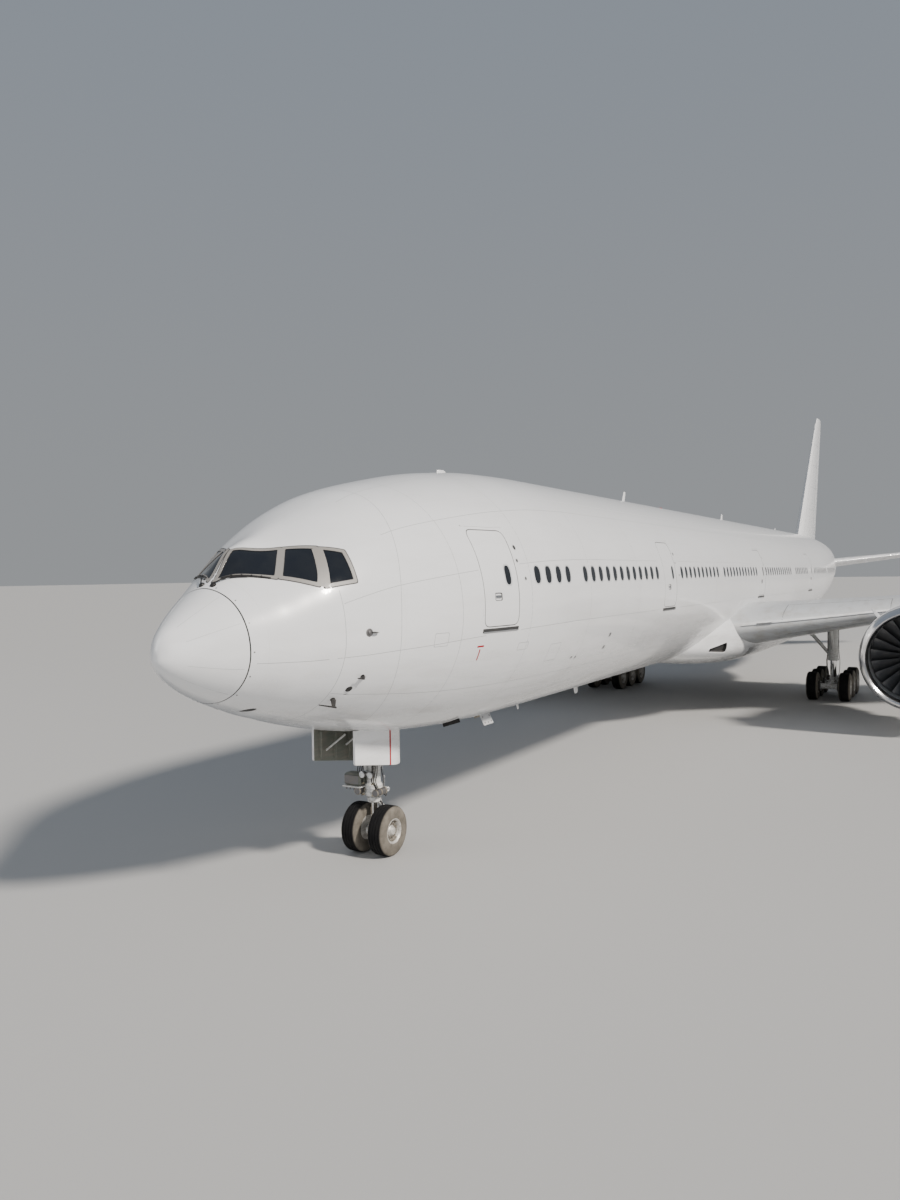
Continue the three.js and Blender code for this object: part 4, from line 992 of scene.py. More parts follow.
class Palette:
    """All the finishes, each built once, and given by their labels."""

    def __init__(self) -> None:
        """Builds the materials."""
        paint = dict(roughness=0.24, coat=0.55, dirt=0.34, grain=0.01)
        lens = dict(roughness=0.12, coat=0.5, dirt=0.05, glow=0.15)
        rubber = dict(low=0.0, high=0.5, grain=0.5, specular=0.15)
        finishes = {
            "skin": Finish("gloss_white_skin", (0.80, 0.81, 0.825), joints=Joints.ROUND, joint_depth=0.3,
                           **paint),
            "panel": Finish("gloss_white_panel", (0.80, 0.81, 0.825), **paint),
            "joint": Finish("skin_joint", (0.36, 0.37, 0.385), roughness=0.5, dirt=0.2, cloud=0.1),
            "radome": Finish("radome_white", (0.795, 0.805, 0.82), roughness=0.2, coat=0.6, dirt=0.2,
                             cloud=0.05,
                             grain=0.01),
            "wing": Finish("wing_grey", (0.52, 0.54, 0.56), roughness=0.36, coat=0.2, joints=Joints.FLAT,
                           joint_pitch=(1.31, 0.71), joint_depth=0.42, dirt=0.5, cloud=0.1, low=1.4,
                           high=3.4),
            "tail": Finish("tail_white", (0.79, 0.80, 0.815), roughness=0.26, coat=0.5, joints=Joints.FLAT,
                           joint_pitch=(1.9, 0.83), joint_depth=0.22, dirt=0.16, low=3.0, high=6.0),
            "metal": Finish("bare_aluminium", (0.62, 0.63, 0.64), roughness=0.24, metallic=1.0, dirt=0.25,
                            cloud=0.08, scale=3.0),
            "lip": Finish("polished_lip", (0.74, 0.74, 0.75), roughness=0.16, metallic=1.0, dirt=0.12,
                          cloud=0.05,
                          scale=2.0),
            "steel": Finish("dark_steel", (0.20, 0.20, 0.21), roughness=0.38, metallic=0.9, dirt=0.4,
                            cloud=0.2,
                            scale=4.0, grain=0.1),
            "hot": HeatedMetal("heated_nozzle", (0.40, 0.37, 0.34), roughness=0.34, metallic=0.95, dirt=0.3,
                               cloud=0.15, scale=3.0, grain=0.06),
            "blade": Finish("fan_blade", (0.085, 0.09, 0.10), metallic=0.3, coat=0.3, dirt=0.15, cloud=0.1,
                            scale=6.0),
            "liner": Finish("duct_liner", (0.33, 0.34, 0.35), roughness=0.5, cloud=0.1, scale=3.0,
                            grain=0.3,
                            grain_scale=220.0),
            "gear": Finish("gear_enamel", (0.70, 0.71, 0.70), roughness=0.34, coat=0.25, dirt=0.75,
                           cloud=0.12,
                           scale=6.0, low=0.2, high=1.8, dirt_colour=(0.16, 0.13, 0.10), grain=0.05),
            "chrome": Finish("piston_chrome", (0.78, 0.78, 0.79), roughness=0.1, metallic=1.0, dirt=0.2,
                             cloud=0.05, scale=8.0),
            "tyre": TyreRubber("tyre_rubber", (0.008, 0.008, 0.009), roughness=0.8, dirt=0.08, cloud=0.03,
                               scale=5.0, dirt_colour=(0.16, 0.14, 0.115), grain_scale=140.0, **rubber),
            "tread": Finish("tyre_tread", (0.010, 0.010, 0.011), roughness=0.85, dirt=0.12, cloud=0.05,
                            scale=7.0,
                            dirt_colour=(0.07, 0.065, 0.055), grain_scale=120.0, **rubber),
            "hub": Finish("wheel_hub", (0.60, 0.585, 0.55), roughness=0.42, metallic=0.35, dirt=0.6,
                          cloud=0.25,
                          scale=7.0, low=0.0, high=0.8, dirt_colour=(0.12, 0.10, 0.08), grain=0.15),
            "brake": Finish("carbon_brake", (0.035, 0.033, 0.032), roughness=0.66, dirt=0.4, cloud=0.2,
                            scale=8.0,
                            grain=0.4),
            "hose": Finish("black_hose", (0.025, 0.025, 0.027), roughness=0.5, cloud=0.1, scale=8.0,
                           grain=0.3,
                           grain_scale=180.0),
            "seal": Finish("dark_seal", (0.025, 0.026, 0.028), roughness=0.6, dirt=0.1, cloud=0.1,
                           scale=5.0,
                           grain=0.2),
            "frame": Finish("window_frame", (0.26, 0.25, 0.235), roughness=0.42, coat=0.1, cloud=0.15,
                            scale=5.0),
            "black": Finish("black_fitting", (0.012, 0.012, 0.013), roughness=0.42, dirt=0.1, cloud=0.05,
                            scale=6.0, specular=0.35),
            # Dark brown for the hub's recessed dish: part grime, part painted shade
            "grime": Finish("wheel_grime_and_shade", (0.13, 0.115, 0.09), roughness=0.55, metallic=0.3, dirt=0.5,
                            cloud=0.3,
                            scale=9.0, grain=0.2),
            "brass": Finish("plated_fitting", (0.50, 0.44, 0.33), roughness=0.38, metallic=0.9, dirt=0.35,
                            cloud=0.2, scale=9.0),
            "rim": Finish("pane_frame", (0.56, 0.575, 0.59), roughness=0.33, coat=0.2, dirt=0.2, cloud=0.12,
                          scale=5.0),
            "glass": Finish("dark_glass", (0.006, 0.008, 0.012), roughness=0.055, coat=0.2, dirt=0.02,
                            cloud=0.015, scale=4.0, grain=0.0, ior=1.52),
            # Grey-green primer made darker than the real paint: painted shade for the nose gear bay's walls,
            # the nose doors' inner faces and ribs, and the case beside the leg
            "bay": Finish("bay_primer_painted_shade", (0.17, 0.185, 0.16), roughness=0.6, dirt=0.7, cloud=0.3, scale=5.0,
                          low=0.0, high=3.0, grain=0.2),
            "mark": Finish("red_mark", (0.36, 0.008, 0.016), roughness=0.5, specular=0.2, dirt=0.2,
                           cloud=0.1,
                           scale=5.0),
            "red_lens": Finish("red_lens", (0.55, 0.02, 0.015), **lens),
            "green_lens": Finish("green_lens", (0.02, 0.45, 0.12), **lens),
            "clear_lens": Finish("clear_lens", (0.82, 0.84, 0.86), roughness=0.08, coat=0.6, metallic=0.3,
                                 dirt=0.05),
        }
        self.made = {label: finish.material() for label, finish in finishes.items()}

    def __call__(self, *labels: str) -> list[bpy.types.Material]:
        """The materials with these labels, in their order."""
        return [self.made[label] for label in labels]


def repaint(piece: bpy.types.Object, rule: Callable[[Vector, Vector], int | None],
            only: int | None = None) -> None:
    """Gives faces another finish.

    Args:
        piece: The piece.
        rule: Takes a face's centre and normal, and gives the finish's number, or None to leave it.
        only: The finish that may be changed, or None for any.
    """
    for face in piece.data.polygons:
        found = rule(face.center, face.normal)
        if found is not None and (only is None or face.material_index == only):
            face.material_index = found


def skin_depth(skin: Skin, centre: Vector) -> float:
    """How far a point lies below a body's surface, as a part of the body's half width."""
    point = np.array([[centre.x, centre.y, centre.z]]) / SCALE + vec(0.0, LENGTH / 2, -skin.base_up)
    return float(1 - skin.measure(point)[0])


@dataclass
class Pane:
    """A flight deck window on the port side, by its corners: aft, out, up."""

    name: str
    corners: tuple[tuple[float, float, float], ...]

    def frame(self, side: int) -> tuple[Spot, Array]:
        """The pane's plane on one side.

        Args:
            side: 1 for port, -1 for starboard.

        Returns:
            The map from the plane to the surface, and the corners in the plane.
        """
        points = np.array([(side * out, aft, up) for aft, out, up in self.corners])
        points = BODY_SKIN.snap(points)
        centre = points.mean(axis=0)
        u = points[1] - points[0] + points[2] - points[3]
        u = u / np.linalg.norm(u)
        v = points[3] - points[0] + points[2] - points[1]
        v = v - u * (u @ v)
        v = v / np.linalg.norm(v)
        flat = np.stack([(points - centre) @ u, (points - centre) @ v], axis=-1)
        return plane_spot(BODY_SKIN, centre, u, v), flat


PANES = [
    Pane("windshield", ((1.34, 0.085, 0.52), (1.84, 0.92, 0.52), (2.28, 0.66, 1.00), (1.72, 0.085, 0.94))),
    Pane("sliding_window", ((1.93, 1.02, 0.51), (2.35, 1.50, 0.40), (2.64, 1.17, 1.00),
                            (2.35, 0.76, 1.01))),
    Pane("aft_window", ((2.47, 1.60, 0.37), (2.95, 1.84, 0.45), (2.98, 1.55, 0.94), (2.74, 1.28, 1.00))),
]
WINDOW_POST = Pane("window_post", ((2.32, 1.49, 0.325), (2.50, 1.62, 0.29), (2.76, 1.27, 1.04),
                                   (2.62, 1.17, 1.04)))


@dataclass
class FlightDeck:
    """The six panes round the flight deck, in pale frames, with their wipers."""

    palette: Palette
    corner: float = 0.025
    glass_sink: float = 0.0045
    seal_width: float = 0.010
    frame_width: float = 0.066
    groove_width: float = 0.02
    frame_height: float = 0.0016
    glass_thickness: float = 0.03

    def outline(self, flat: Array, by: float = 0.0) -> Array:
        """A pane's outline, grown by a distance."""
        return rounded(mitred(flat, by), self.corner + 0.3 * max(by, 0.0), 5)

    def pockets(self) -> Shape:
        """The holes for the panes."""
        cut = Shape()
        for side in SIDES.values():
            for pane in PANES:
                spot, flat = pane.frame(side)
                cut.slab(spot, self.outline(flat, 0.006), 0.03, -0.036, rings=4)
        return cut

    def build(self) -> None:
        """Makes the panes, frames, posts and wipers."""
        trim = Shape()
        for hand, side in SIDES.items():
            for pane in PANES:
                spot, flat = pane.frame(side)
                glass = Shape()
                glass.slab(spot, self.outline(flat), -self.glass_sink, -self.glass_thickness, rings=8,
                           edge=0.001)
                piece = glass.build(f"{pane.name}_pane_{hand}", self.palette("glass"))
                skin_normals(piece, BODY_SKIN, self.glass_sink)
                settle(piece, AIRFRAME, Slot.GLASS, f"{pane.name}_{hand}")
                edge = self.outline(flat, 0.004)
                trim.band(spot, edge, self.outline(flat, -self.seal_width), 0.0004, -0.02, 0.0006, mark=1)
                trim.band(spot, self.outline(flat, self.frame_width), self.outline(flat, -0.002),
                          self.frame_height, -0.012, 0.0008, mark=0)
                trim.band(spot, self.outline(flat, self.frame_width + self.groove_width),
                          self.outline(flat, self.frame_width - 0.004), 0.0007, -0.012, 0.0002, mark=1)
            spot, flat = WINDOW_POST.frame(side)
            trim.slab(spot, flat, self.frame_height - 0.0002, -0.012, rings=3)
        settle(trim.build("flight_deck_frames", self.palette("frame", "seal")), AIRFRAME, Slot.SKIN)
        self.wipers()

    def wipers(self) -> None:
        """Makes a wiper under each windshield pane: a pod, an arm, and a blade along the glass's foot."""
        arm = ((0.13, 1.19, 0.37), (0.30, 1.39, 0.46), (0.58, 1.57, 0.50))
        start, end = vec(0.17, 1.35, 0.50), vec(0.90, 1.79, 0.48)
        rubber = [start + (end - start) * share for share in np.linspace(0, 1, 6)]
        pod = [(-0.02, 0.030), (0.004, 0.028), (0.016, 0.020), (0.022, 0.006)]
        for hand, side in SIDES.items():
            made = Shape()
            knots = BODY_SKIN.snap([(side * out, aft, up) for out, aft, up in (*arm, *rubber)])
            places = BODY_SKIN.world(knots, np.array([0.018, 0.018, 0.016] + [0.010] * 6))
            normal = BODY_SKIN.normal(knots)
            made.lathe(pod, BODY_SKIN.world(knots[:1], 0.0)[0], normal[0], 28)
            made.tube(places[:3], 0.0065)
            made.tube(places[3:], 0.0055, 8, mark=1, steps=3)
            made.tube(places[3:] - normal[3:] * 0.006, 0.0045, 6, mark=1, steps=3)
            for at, way in zip(places[4:8], normal[4:8]):
                made.rod(at - way * 0.005, at + way * 0.008, 0.0065, sides=10)
            settle(made.build(f"windshield_wiper_{hand}", self.palette("black", "hose")), AIRFRAME,
                   Slot.GEAR)


@dataclass
class CabinWindows:
    """The rows of small oval windows along both sides."""

    palette: Palette
    first: float = 8.33
    last: float = 63.4
    pitch: float = 0.5334
    up: float = 0.488
    width: float = 0.285
    height: float = 0.405
    rim: float = 0.026
    sink: float = 0.004
    door_room: float = 0.95
    # Numbers of the places that have no window
    blanks: tuple[int, ...] = (4, 31, 60, 61, 84)

    def places(self) -> list[float]:
        """Where the windows are along the body."""
        count = int((self.last - self.first) / self.pitch) + 1
        rows = [self.first + i * self.pitch for i in range(count) if i not in self.blanks]
        return [aft for aft in rows if all(abs(aft - door) > self.door_room
                                           for door in PassengerDoors.afts)]

    def outline(self, aft: float, by: float = 0.0) -> Array:
        """One window's outline."""
        return oval(aft, self.up, self.width + 2 * by, self.height + 2 * by, 24)

    def pockets(self) -> Shape:
        """The holes for the windows."""
        cut = Shape()
        for side in SIDES.values():
            for aft in self.places():
                cut.slab(side_spot(BODY_SKIN, side), self.outline(aft), 0.02, -0.014, rings=1)
        return cut

    def build(self) -> None:
        """Makes the glass and the rims, one mesh for each side."""
        for hand, side in SIDES.items():
            made = Shape()
            spot = side_spot(BODY_SKIN, side)
            for aft in self.places():
                made.slab(spot, self.outline(aft, -0.001), -self.sink, -0.012, rings=2, mark=0)
                made.band(spot, self.outline(aft, self.rim), self.outline(aft, -0.006), 0.0007, -0.006,
                          0.0006, mark=1)
            settle(made.build(f"cabin_windows_{hand}", self.palette("glass", "rim")), AIRFRAME, Slot.GLASS)


@dataclass
class PassengerDoors:
    """The ten plug doors, each with its small window, handle and sill."""

    palette: Palette
    width: float = 1.25
    height: float = 2.01
    sill: float = -0.57
    radius: float = 0.18
    gap: float = 0.017
    depth: float = 0.036
    # Window and handle: distance behind the door's middle, up, width and height. Vents: the same, up, radius
    window: tuple[float, float, float, float] = (0.28, 0.49, 0.22, 0.42)
    handle: tuple[float, float, float, float] = (-0.15, 0.04, 0.24, 0.15)
    vents = ((0.84, 1.09, 0.05), (0.77, 0.80, 0.035), (0.975, 0.41, 0.035))
    afts = (6.795, 18.2, 32.4, 46.4, 60.3)
    # Height above the sill, extra width, height, thickness and finish: sill strip, lip, gutter
    strips = ((-0.085, 0.08, 0.085, 0.005, 1), (-0.118, 0.04, 0.03, 0.007, 4),
              (2.095, 0.12, 0.028, 0.006, 3))
    hinges = (0.3, 1.12)

    def outline(self, aft: float, by: float = 0.0) -> Array:
        """A door's outline."""
        return rectangle(aft, self.sill + self.height / 2, self.width + 2 * by, self.height + 2 * by,
                         self.radius + by, 7)

    def pane(self, aft: float, by: float = 0.0) -> Array:
        """The outline of a door's window."""
        shift, up, width, height = self.window
        return oval(aft + shift, up, width + 2 * by, height + 2 * by, 28, 3.0)

    def pockets(self) -> Shape:
        """The holes for the doors."""
        cut = Shape()
        for side in SIDES.values():
            for aft in self.afts:
                cut.slab(side_spot(BODY_SKIN, side), self.outline(aft, self.gap), 0.03, -self.depth,
                         rings=3)
        return cut

    def build(self) -> None:
        """Makes the doors and what stands round them."""
        for hand, side in SIDES.items():
            spot = side_spot(BODY_SKIN, side)
            trim = Shape()
            for number, aft in enumerate(self.afts, 1):
                leaf = Shape()
                leaf.slab(spot, self.outline(aft), 0.0, -self.depth + 0.003, rings=14, edge=0.0016)
                piece = leaf.build(f"door_leaf_{number}_{hand}", self.palette("panel", "seal"))
                hole = Shape()
                hole.slab(spot, self.pane(aft), 0.01, -0.012, rings=1)
                shift, up, width, height = self.handle
                handle = rectangle(aft + shift, up, width, height, 0.04, 4)
                hole.slab(spot, handle, 0.01, -0.008, rings=1)
                carve(piece, hole)
                repaint(piece, lambda centre, normal: 1 if skin_depth(BODY_SKIN, centre) > 0.0075 else None)
                skin_normals(piece, BODY_SKIN)
                settle(piece, AIRFRAME, Slot.SKIN, f"passenger_door_{number}_{hand}")
                self.fittings(trim, spot, aft)
            finishes = self.palette("rim", "seal", "glass", "panel", "metal")
            settle(trim.build(f"door_fittings_{hand}", finishes), AIRFRAME, Slot.SKIN)

    def fittings(self, trim: Shape, spot: Spot, aft: float) -> None:
        """Adds the seal, window, handle, vents, sill strips, rain gutter and hinge covers of one door.

        Args:
            trim: The shape that takes them.
            spot: The skin on that side.
            aft: The door's place.
        """
        trim.band(spot, self.outline(aft, self.gap + 0.001), self.outline(aft, 0.001), -0.003, -0.03,
                  mark=1)
        trim.slab(spot, self.pane(aft, -0.002), -0.004, -0.011, rings=2, mark=2)
        trim.band(spot, self.pane(aft, 0.03), self.pane(aft, -0.006), 0.0012, -0.006, 0.0008)
        shift, up, width, height = self.handle
        lever = rectangle(aft + shift, up, width * 0.8, height * 0.4, 0.02, 4)
        trim.slab(spot, lever, -0.001, -0.008, rings=2, edge=0.001, mark=4)
        trim.band(spot, rectangle(aft + shift, up, width + 0.02, height + 0.02, 0.045, 4),
                  rectangle(aft + shift, up, width - 0.004, height - 0.004, 0.04, 4), 0.0005, -0.008,
                  0.0003, mark=1)
        for shift, up, radius in self.vents:
            wide, hole = (oval(aft + shift, up, size, size, 20, 2.0)
                          for size in (2 * radius + 0.03, 2 * radius))
            trim.band(spot, wide, hole, 0.0008, -0.004, 0.0004)
            # The vent's opening is a flat near-black disc on the skin: painted shade
            trim.slab(spot, hole, 0.0003, -0.004, rings=2, mark=1)
        for rise, extra, tall, high, mark in self.strips:
            strip = rectangle(aft, self.sill + rise, self.width + extra, tall, 0.012, 3)
            trim.slab(spot, strip, high, -0.01, rings=4, edge=0.002, mark=mark)
        for height in self.hinges:
            cover = rectangle(aft - self.width / 2 - 0.055, self.sill + height, 0.05, 0.16, 0.015, 3)
            trim.slab(spot, cover, 0.0016, -0.01, rings=2, edge=0.001, mark=3)


@dataclass
class CargoDoors:
    """The two doors under the floor on the starboard side, hinged along the top."""

    palette: Palette
    width: float = 2.70
    top: float = -0.42
    bottom: float = -2.12
    radius: float = 0.12
    knuckle: float = 0.03
    depth: float = 0.038
    doors = (("cargo_door_forward", 12.6), ("cargo_door_aft", 50.2))

    def outline(self, aft: float, by: float = 0.0) -> Array:
        """A door's outline."""
        height = self.top - self.bottom
        return rectangle(aft, self.bottom + height / 2, self.width + 2 * by, height + 2 * by,
                         self.radius + by, 6)

    def knuckle_ends(self, aft: float) -> tuple[Array, Array]:
        """The ends of a door's hinge, in model metres."""
        ends = np.array([aft - self.width / 2, aft + self.width / 2])
        out = BODY_SKIN.side(np.full(2, aft), np.full(2, self.top), -1)[0, 0]
        return tuple(place(out, ends, self.top + AXIS_UP))

    def pockets(self) -> Shape:
        """The holes for the doors and their knuckles."""
        cut = Shape()
        for _, aft in self.doors:
            cut.slab(side_spot(BODY_SKIN, -1), self.outline(aft, 0.0105), 0.05, -0.05, rings=6)
            start, end = self.knuckle_ends(aft)
            along = (end - start) / np.linalg.norm(end - start)
            cut.rod(start - along * 0.0006, end + along * 0.0006, self.knuckle * SCALE + 0.0012, sides=28)
        return cut

    def build(self) -> None:
        """Makes both doors, and the dark lining of their openings."""
        spot = side_spot(BODY_SKIN, -1)
        lining = Shape()
        for name, aft in self.doors:
            made = Shape()
            made.slab(spot, self.outline(aft), 0.0, -self.depth, rings=16, edge=0.0016)
            start, end = self.knuckle_ends(aft)
            piece = made.build(f"{name}_leaf", self.palette("panel", "seal", "metal"))
            skin_normals(piece, BODY_SKIN)
            settle(piece, name, Slot.SKIN, name)
            fittings = Shape()
            along = (end - start) / 9
            for i in range(9):
                fittings.rod(start + along * (i + 0.04), start + along * (i + 0.96), self.knuckle * SCALE,
                             edge=0.001, mark=0)
            for shift in (-0.95, -0.32, 0.32, 0.95):
                latch = rectangle(aft + shift, self.bottom + 0.12, 0.14, 0.06, 0.02, 3)
                fittings.slab(spot, latch, 0.0012, -0.004, rings=2, edge=0.0008, mark=1)
            handle = rectangle(aft + 0.1, self.bottom + 0.34, 0.34, 0.11, 0.03, 4)
            fittings.band(spot, grown(handle, 0.02), handle, 0.0012, -0.003, 0.0006, mark=0)
            fittings.slab(spot, handle, 0.0006, -0.004, rings=2, mark=2)
            view = oval(aft + 0.95, self.bottom + 0.9, 0.10, 0.10, 20, 2.0)
            fittings.slab(spot, view, 0.0008, -0.004, rings=2, edge=0.0005, mark=2)
            settle(fittings.build(f"{name}_fittings", self.palette("panel", "metal", "seal")), name,
                   Slot.SKIN)
            lining.band(spot, self.outline(aft, 0.0103), self.outline(aft, -0.05), -0.044, -0.049, mark=0)
        settle(lining.build("cargo_door_seals", self.palette("seal")), AIRFRAME, Slot.SKIN)


@dataclass
class Hull:
    """The barrel with its tail cone, the nose cap, and what stands on them."""

    palette: Palette
    sides: int = 144
    nose_rings: int = 70
    barrel_rings: int = 44
    tail_rings: int = 60
    seam: float = 0.010
    # The nose gear bay: out, aft and height above the ground of its middle, then width, length and height
    bay: tuple[float, float, float, float, float, float] = (0.0, 5.70, 3.0, 0.96, 1.9, 1.1)

    def rings(self, afts: Array, offset: float | Array = 0.0) -> Array:
        """Rings of skin points at places along the body."""
        angle = 2 * math.pi * (np.arange(self.sides) + 0.5) / self.sides
        return BODY_SKIN.world(BODY_SKIN.ring(np.asarray(afts)[:, None], angle[None, :]), offset)

    def build(self, pockets: Shape) -> None:
        """Makes the barrel with its holes, then the nose cap and the fittings.

        Args:
            pockets: All the holes to cut.
        """
        start = RADOME_AFT + self.seam
        nose = np.linspace(math.sqrt(start), math.sqrt(12.0), self.nose_rings) ** 2
        barrel = np.linspace(12.0, 47.85, self.barrel_rings)[1:]
        tail = np.linspace(47.85, BODY_LENGTH, self.tail_rings)[1:]
        afts = np.concatenate([nose, barrel, tail])
        outer = self.rings(afts)
        inner = self.rings([start, start], np.array([-0.012, -0.0025])[:, None])
        inner[0, :, 1] -= 2 * self.seam * SCALE
        shape = Shape()
        shape.grid(np.concatenate([inner, outer]))
        finishes = self.palette("skin", "seal", "bay")
        hull = shape.build("fuselage_skin", finishes)
        out, aft, up, width, length, height = self.bay
        half = vec(width, length, height) * SCALE / 2
        middle = place(out, aft, up)
        pockets.block(middle - half, middle + half, 0.0008)
        carve(hull, pockets)
        bay_room = half + vec(0.001, 0.001, 0.001)
        seam_y = place(0.0, start, 0.0)[1]

        def rule(centre: Vector, normal: Vector) -> int | None:
            # The bay's walls take the bay primer, darkened as painted shade
            if np.all(np.abs(np.array(centre) - middle) < bay_room):
                return 2 if skin_depth(BODY_SKIN, centre) > 0.002 else None
            if centre.y < seam_y + 0.0005 or skin_depth(BODY_SKIN, centre) > 0.0035:
                return 1
            return None

        repaint(hull, rule)
        skin_normals(hull, BODY_SKIN)
        settle(hull, AIRFRAME, Slot.SKIN, "fuselage")
        self.nose_cap()

    def nose_cap(self) -> None:
        """Makes the radome with its lightning strips and the latches along its seam."""
        end = RADOME_AFT - self.seam
        afts = np.linspace(0.0, math.sqrt(end), 44) ** 2
        outer = self.rings(afts)
        outer[0] = outer[0].mean(axis=0)
        back = self.rings([end, end], np.array([-0.0025, -0.012])[:, None])
        back[:, :, 1] += np.array([0.3, 0.6])[:, None] * self.seam * SCALE
        shape = Shape()
        shape.grid(np.concatenate([outer, back]), caps=(False, True))
        cap = shape.build("nose_radome", self.palette("radome", "seal"))
        edge = place(0.0, end, 0.0)[1]
        repaint(cap, lambda centre, normal: 1 if centre.y > edge - 0.0001 else None)
        skin_normals(cap, BODY_SKIN)
        settle(cap, AIRFRAME, Slot.RADOME, "radome")
        strips = Shape()
        for turn in (-62, -24, 24, 62, 108, 144, -108, -144):
            angle = math.radians(turn)
            strips.ribbon(BODY_SKIN, BODY_SKIN.ring(np.linspace(0.30, end - 0.05, 16), np.array(angle)),
                          0.010, 0.0009)
        for turn in range(12, 360, 26):
            point = BODY_SKIN.ring(np.array([RADOME_AFT + 0.055]), np.array([math.radians(turn)]))
            normal = BODY_SKIN.normal(point)[0]
            base = BODY_SKIN.world(point, 0.0)[0]
            strips.lathe([(-0.003, 0.007), (0.0008, 0.007), (0.0014, 0.0055)], base, normal, 14, mark=1)
        settle(strips.build("radome_strips", self.palette("rim", "steel")), AIRFRAME, Slot.RADOME)


@dataclass
class HullFittings:
    """Skin joints, a red mark, probes, vanes, vents, the tail outlet, antennas, beacons and open hatches.

    Rows give a place, aft and up, then a width and a height. The rows of crown and keel give a place aft,
    then the mast's sizes as blade() takes them.
    """

    palette: Palette
    joint_width: float = 0.012
    rings = (2.62, 3.80, 5.45, 8.0, 11.3, 15.1, 20.2, 24.0, 28.9, 34.0, 38.0, 42.9, 47.9, 53.0, 57.0, 62.4,
             66.2, 69.6)
    # Angle from the top in degrees, and where each lap begins
    laps = ((16.0, 3.9), (48.0, 3.9), (74.0, 2.65), (102.0, 1.2), (128.0, 2.65), (158.0, 2.65))
    # Places of the vane and the sensor, and of the probes with the lengths of their masts and tubes
    vane: tuple[float, float] = (3.08, -0.51)
    probes = ((3.11, -1.315, 0.07, 0.10), (2.785, -1.71, 0.19, 0.50))
    sensor: tuple[float, float] = (2.958, -1.53)
    vents = ((13.21, -1.16, 0.13, 0.10), (13.13, -1.50, 0.13, 0.10), (11.28, -1.62, 0.10, 0.06),
             (11.00, -1.60, 0.10, 0.06))
    panels = ((4.87, -0.75, 0.40, 0.27), (7.86, -1.08, 0.46, 0.17), (9.6, -1.35, 0.60, 0.42),
              (16.4, -1.5, 0.5, 0.5), (23.1, -1.2, 0.42, 0.42), (55.6, -0.9, 0.6, 0.45),
              (65.5, 0.4, 1.1, 0.5))
    crown = ((8.95, 0.46, 0.075, 0.04, 0.10), (22.4, 0.30, 0.44, 0.24, 0.05),
             (37.5, 0.42, 0.36, 0.18, 0.05), (52.0, 0.3, 0.2, 0.12, 0.05))
    keel = ((17.5, 0.42, 0.36, 0.18, 0.05), (51.0, 0.42, 0.34, 0.18, 0.05), (13.2, 0.16, 0.3, 0.14, 0.04))
    # Place and angle from the top of the beacons
    beacons = ((27.2, 0.0), (49.0, math.pi))
    # Middle, slope across, length and width of the two open hatches
    openings = (((0.95, 7.86, -2.87), 0.33, 0.24, 0.50), ((0.86, 9.34, -2.96), 0.30, 0.50, 0.34))

    def spot(self, side: int, aft: float, up: float) -> tuple[Array, Array, Array]:
        """A place on the side: the model point, the normal, and the way aft along the skin."""
        point = BODY_SKIN.side(np.array([aft]), np.array([up]), side)
        return self.stand(point)

    @staticmethod
    def stand(point: Array) -> tuple[Array, Array, Array]:
        """The model point, the normal and the way aft at one surface point."""
        normal = BODY_SKIN.normal(point)[0]
        back = vec(0.0, 1.0, 0.0) - normal * normal[1]
        return BODY_SKIN.world(point)[0], normal, back / np.linalg.norm(back)

    def build(self) -> None:
        """Makes them all, in four pieces."""
        self.joints()
        self.instruments()
        self.masts()
        self.hatches()

    def joints(self) -> None:
        """Makes the skin joints, the outlines of small hatches, and the red mark under the first door."""
        made = Shape()
        self.ring_joints(made)
        self.lap_joints(made)
        for side in SIDES.values():
            spot = side_spot(BODY_SKIN, side)
            for aft, up, width, height in self.panels:
                made.band(spot, rectangle(aft, up, width, height, 0.04, 4),
                          rectangle(aft, up, width - 0.02, height - 0.02, 0.035, 4), 0.0003, -0.002, 0.0001)
            bar = BODY_SKIN.side(np.linspace(6.04, 6.27, 6), np.full(6, -0.97), side)
            upright = BODY_SKIN.side(np.full(8, 6.16), np.linspace(-1.03, -1.26, 8), side)
            for stroke in (bar, upright):
                made.ribbon(BODY_SKIN, stroke, 0.045, 0.0006, mark=1)
        settle(made.build("hull_joints", self.palette("joint", "mark")), AIRFRAME, Slot.SKIN)

    def runs(self, made: Shape, line: Array, keep: Array, least: int) -> None:
        """Adds a joint along each kept part of a line that has more points than the least."""
        for run in np.split(np.arange(len(line)), np.flatnonzero(np.diff(keep.astype(int))) + 1):
            if keep[run[0]] and len(run) > least:
                made.ribbon(BODY_SKIN, line[run], self.joint_width)

    def ring_joints(self, made: Shape) -> None:
        """Adds the rings. The first passes under the panes, and the second leans back above and below."""
        angles = np.linspace(0, 2 * math.pi, 121)
        for number, aft in enumerate(self.rings):
            line = BODY_SKIN.ring(np.full(len(angles), aft), angles)
            if number == 1:
                line[:, 1] += 0.12 * (line[:, 2] + 0.5) ** 2
            line = BODY_SKIN.snap(line)
            out, up = line[:, 0], line[:, 2]
            keep = up < (0.28 if number == 0 else math.inf)
            keep &= ~((up < -2.0) & (np.abs(out) < 0.7) & (4.6 < aft < 6.8))
            for _, door in CargoDoors.doors:
                keep &= ~((out < 0) & (abs(aft - door) < 1.42) & (up < -0.36) & (up > -2.2))
            self.runs(made, line, keep, 3)

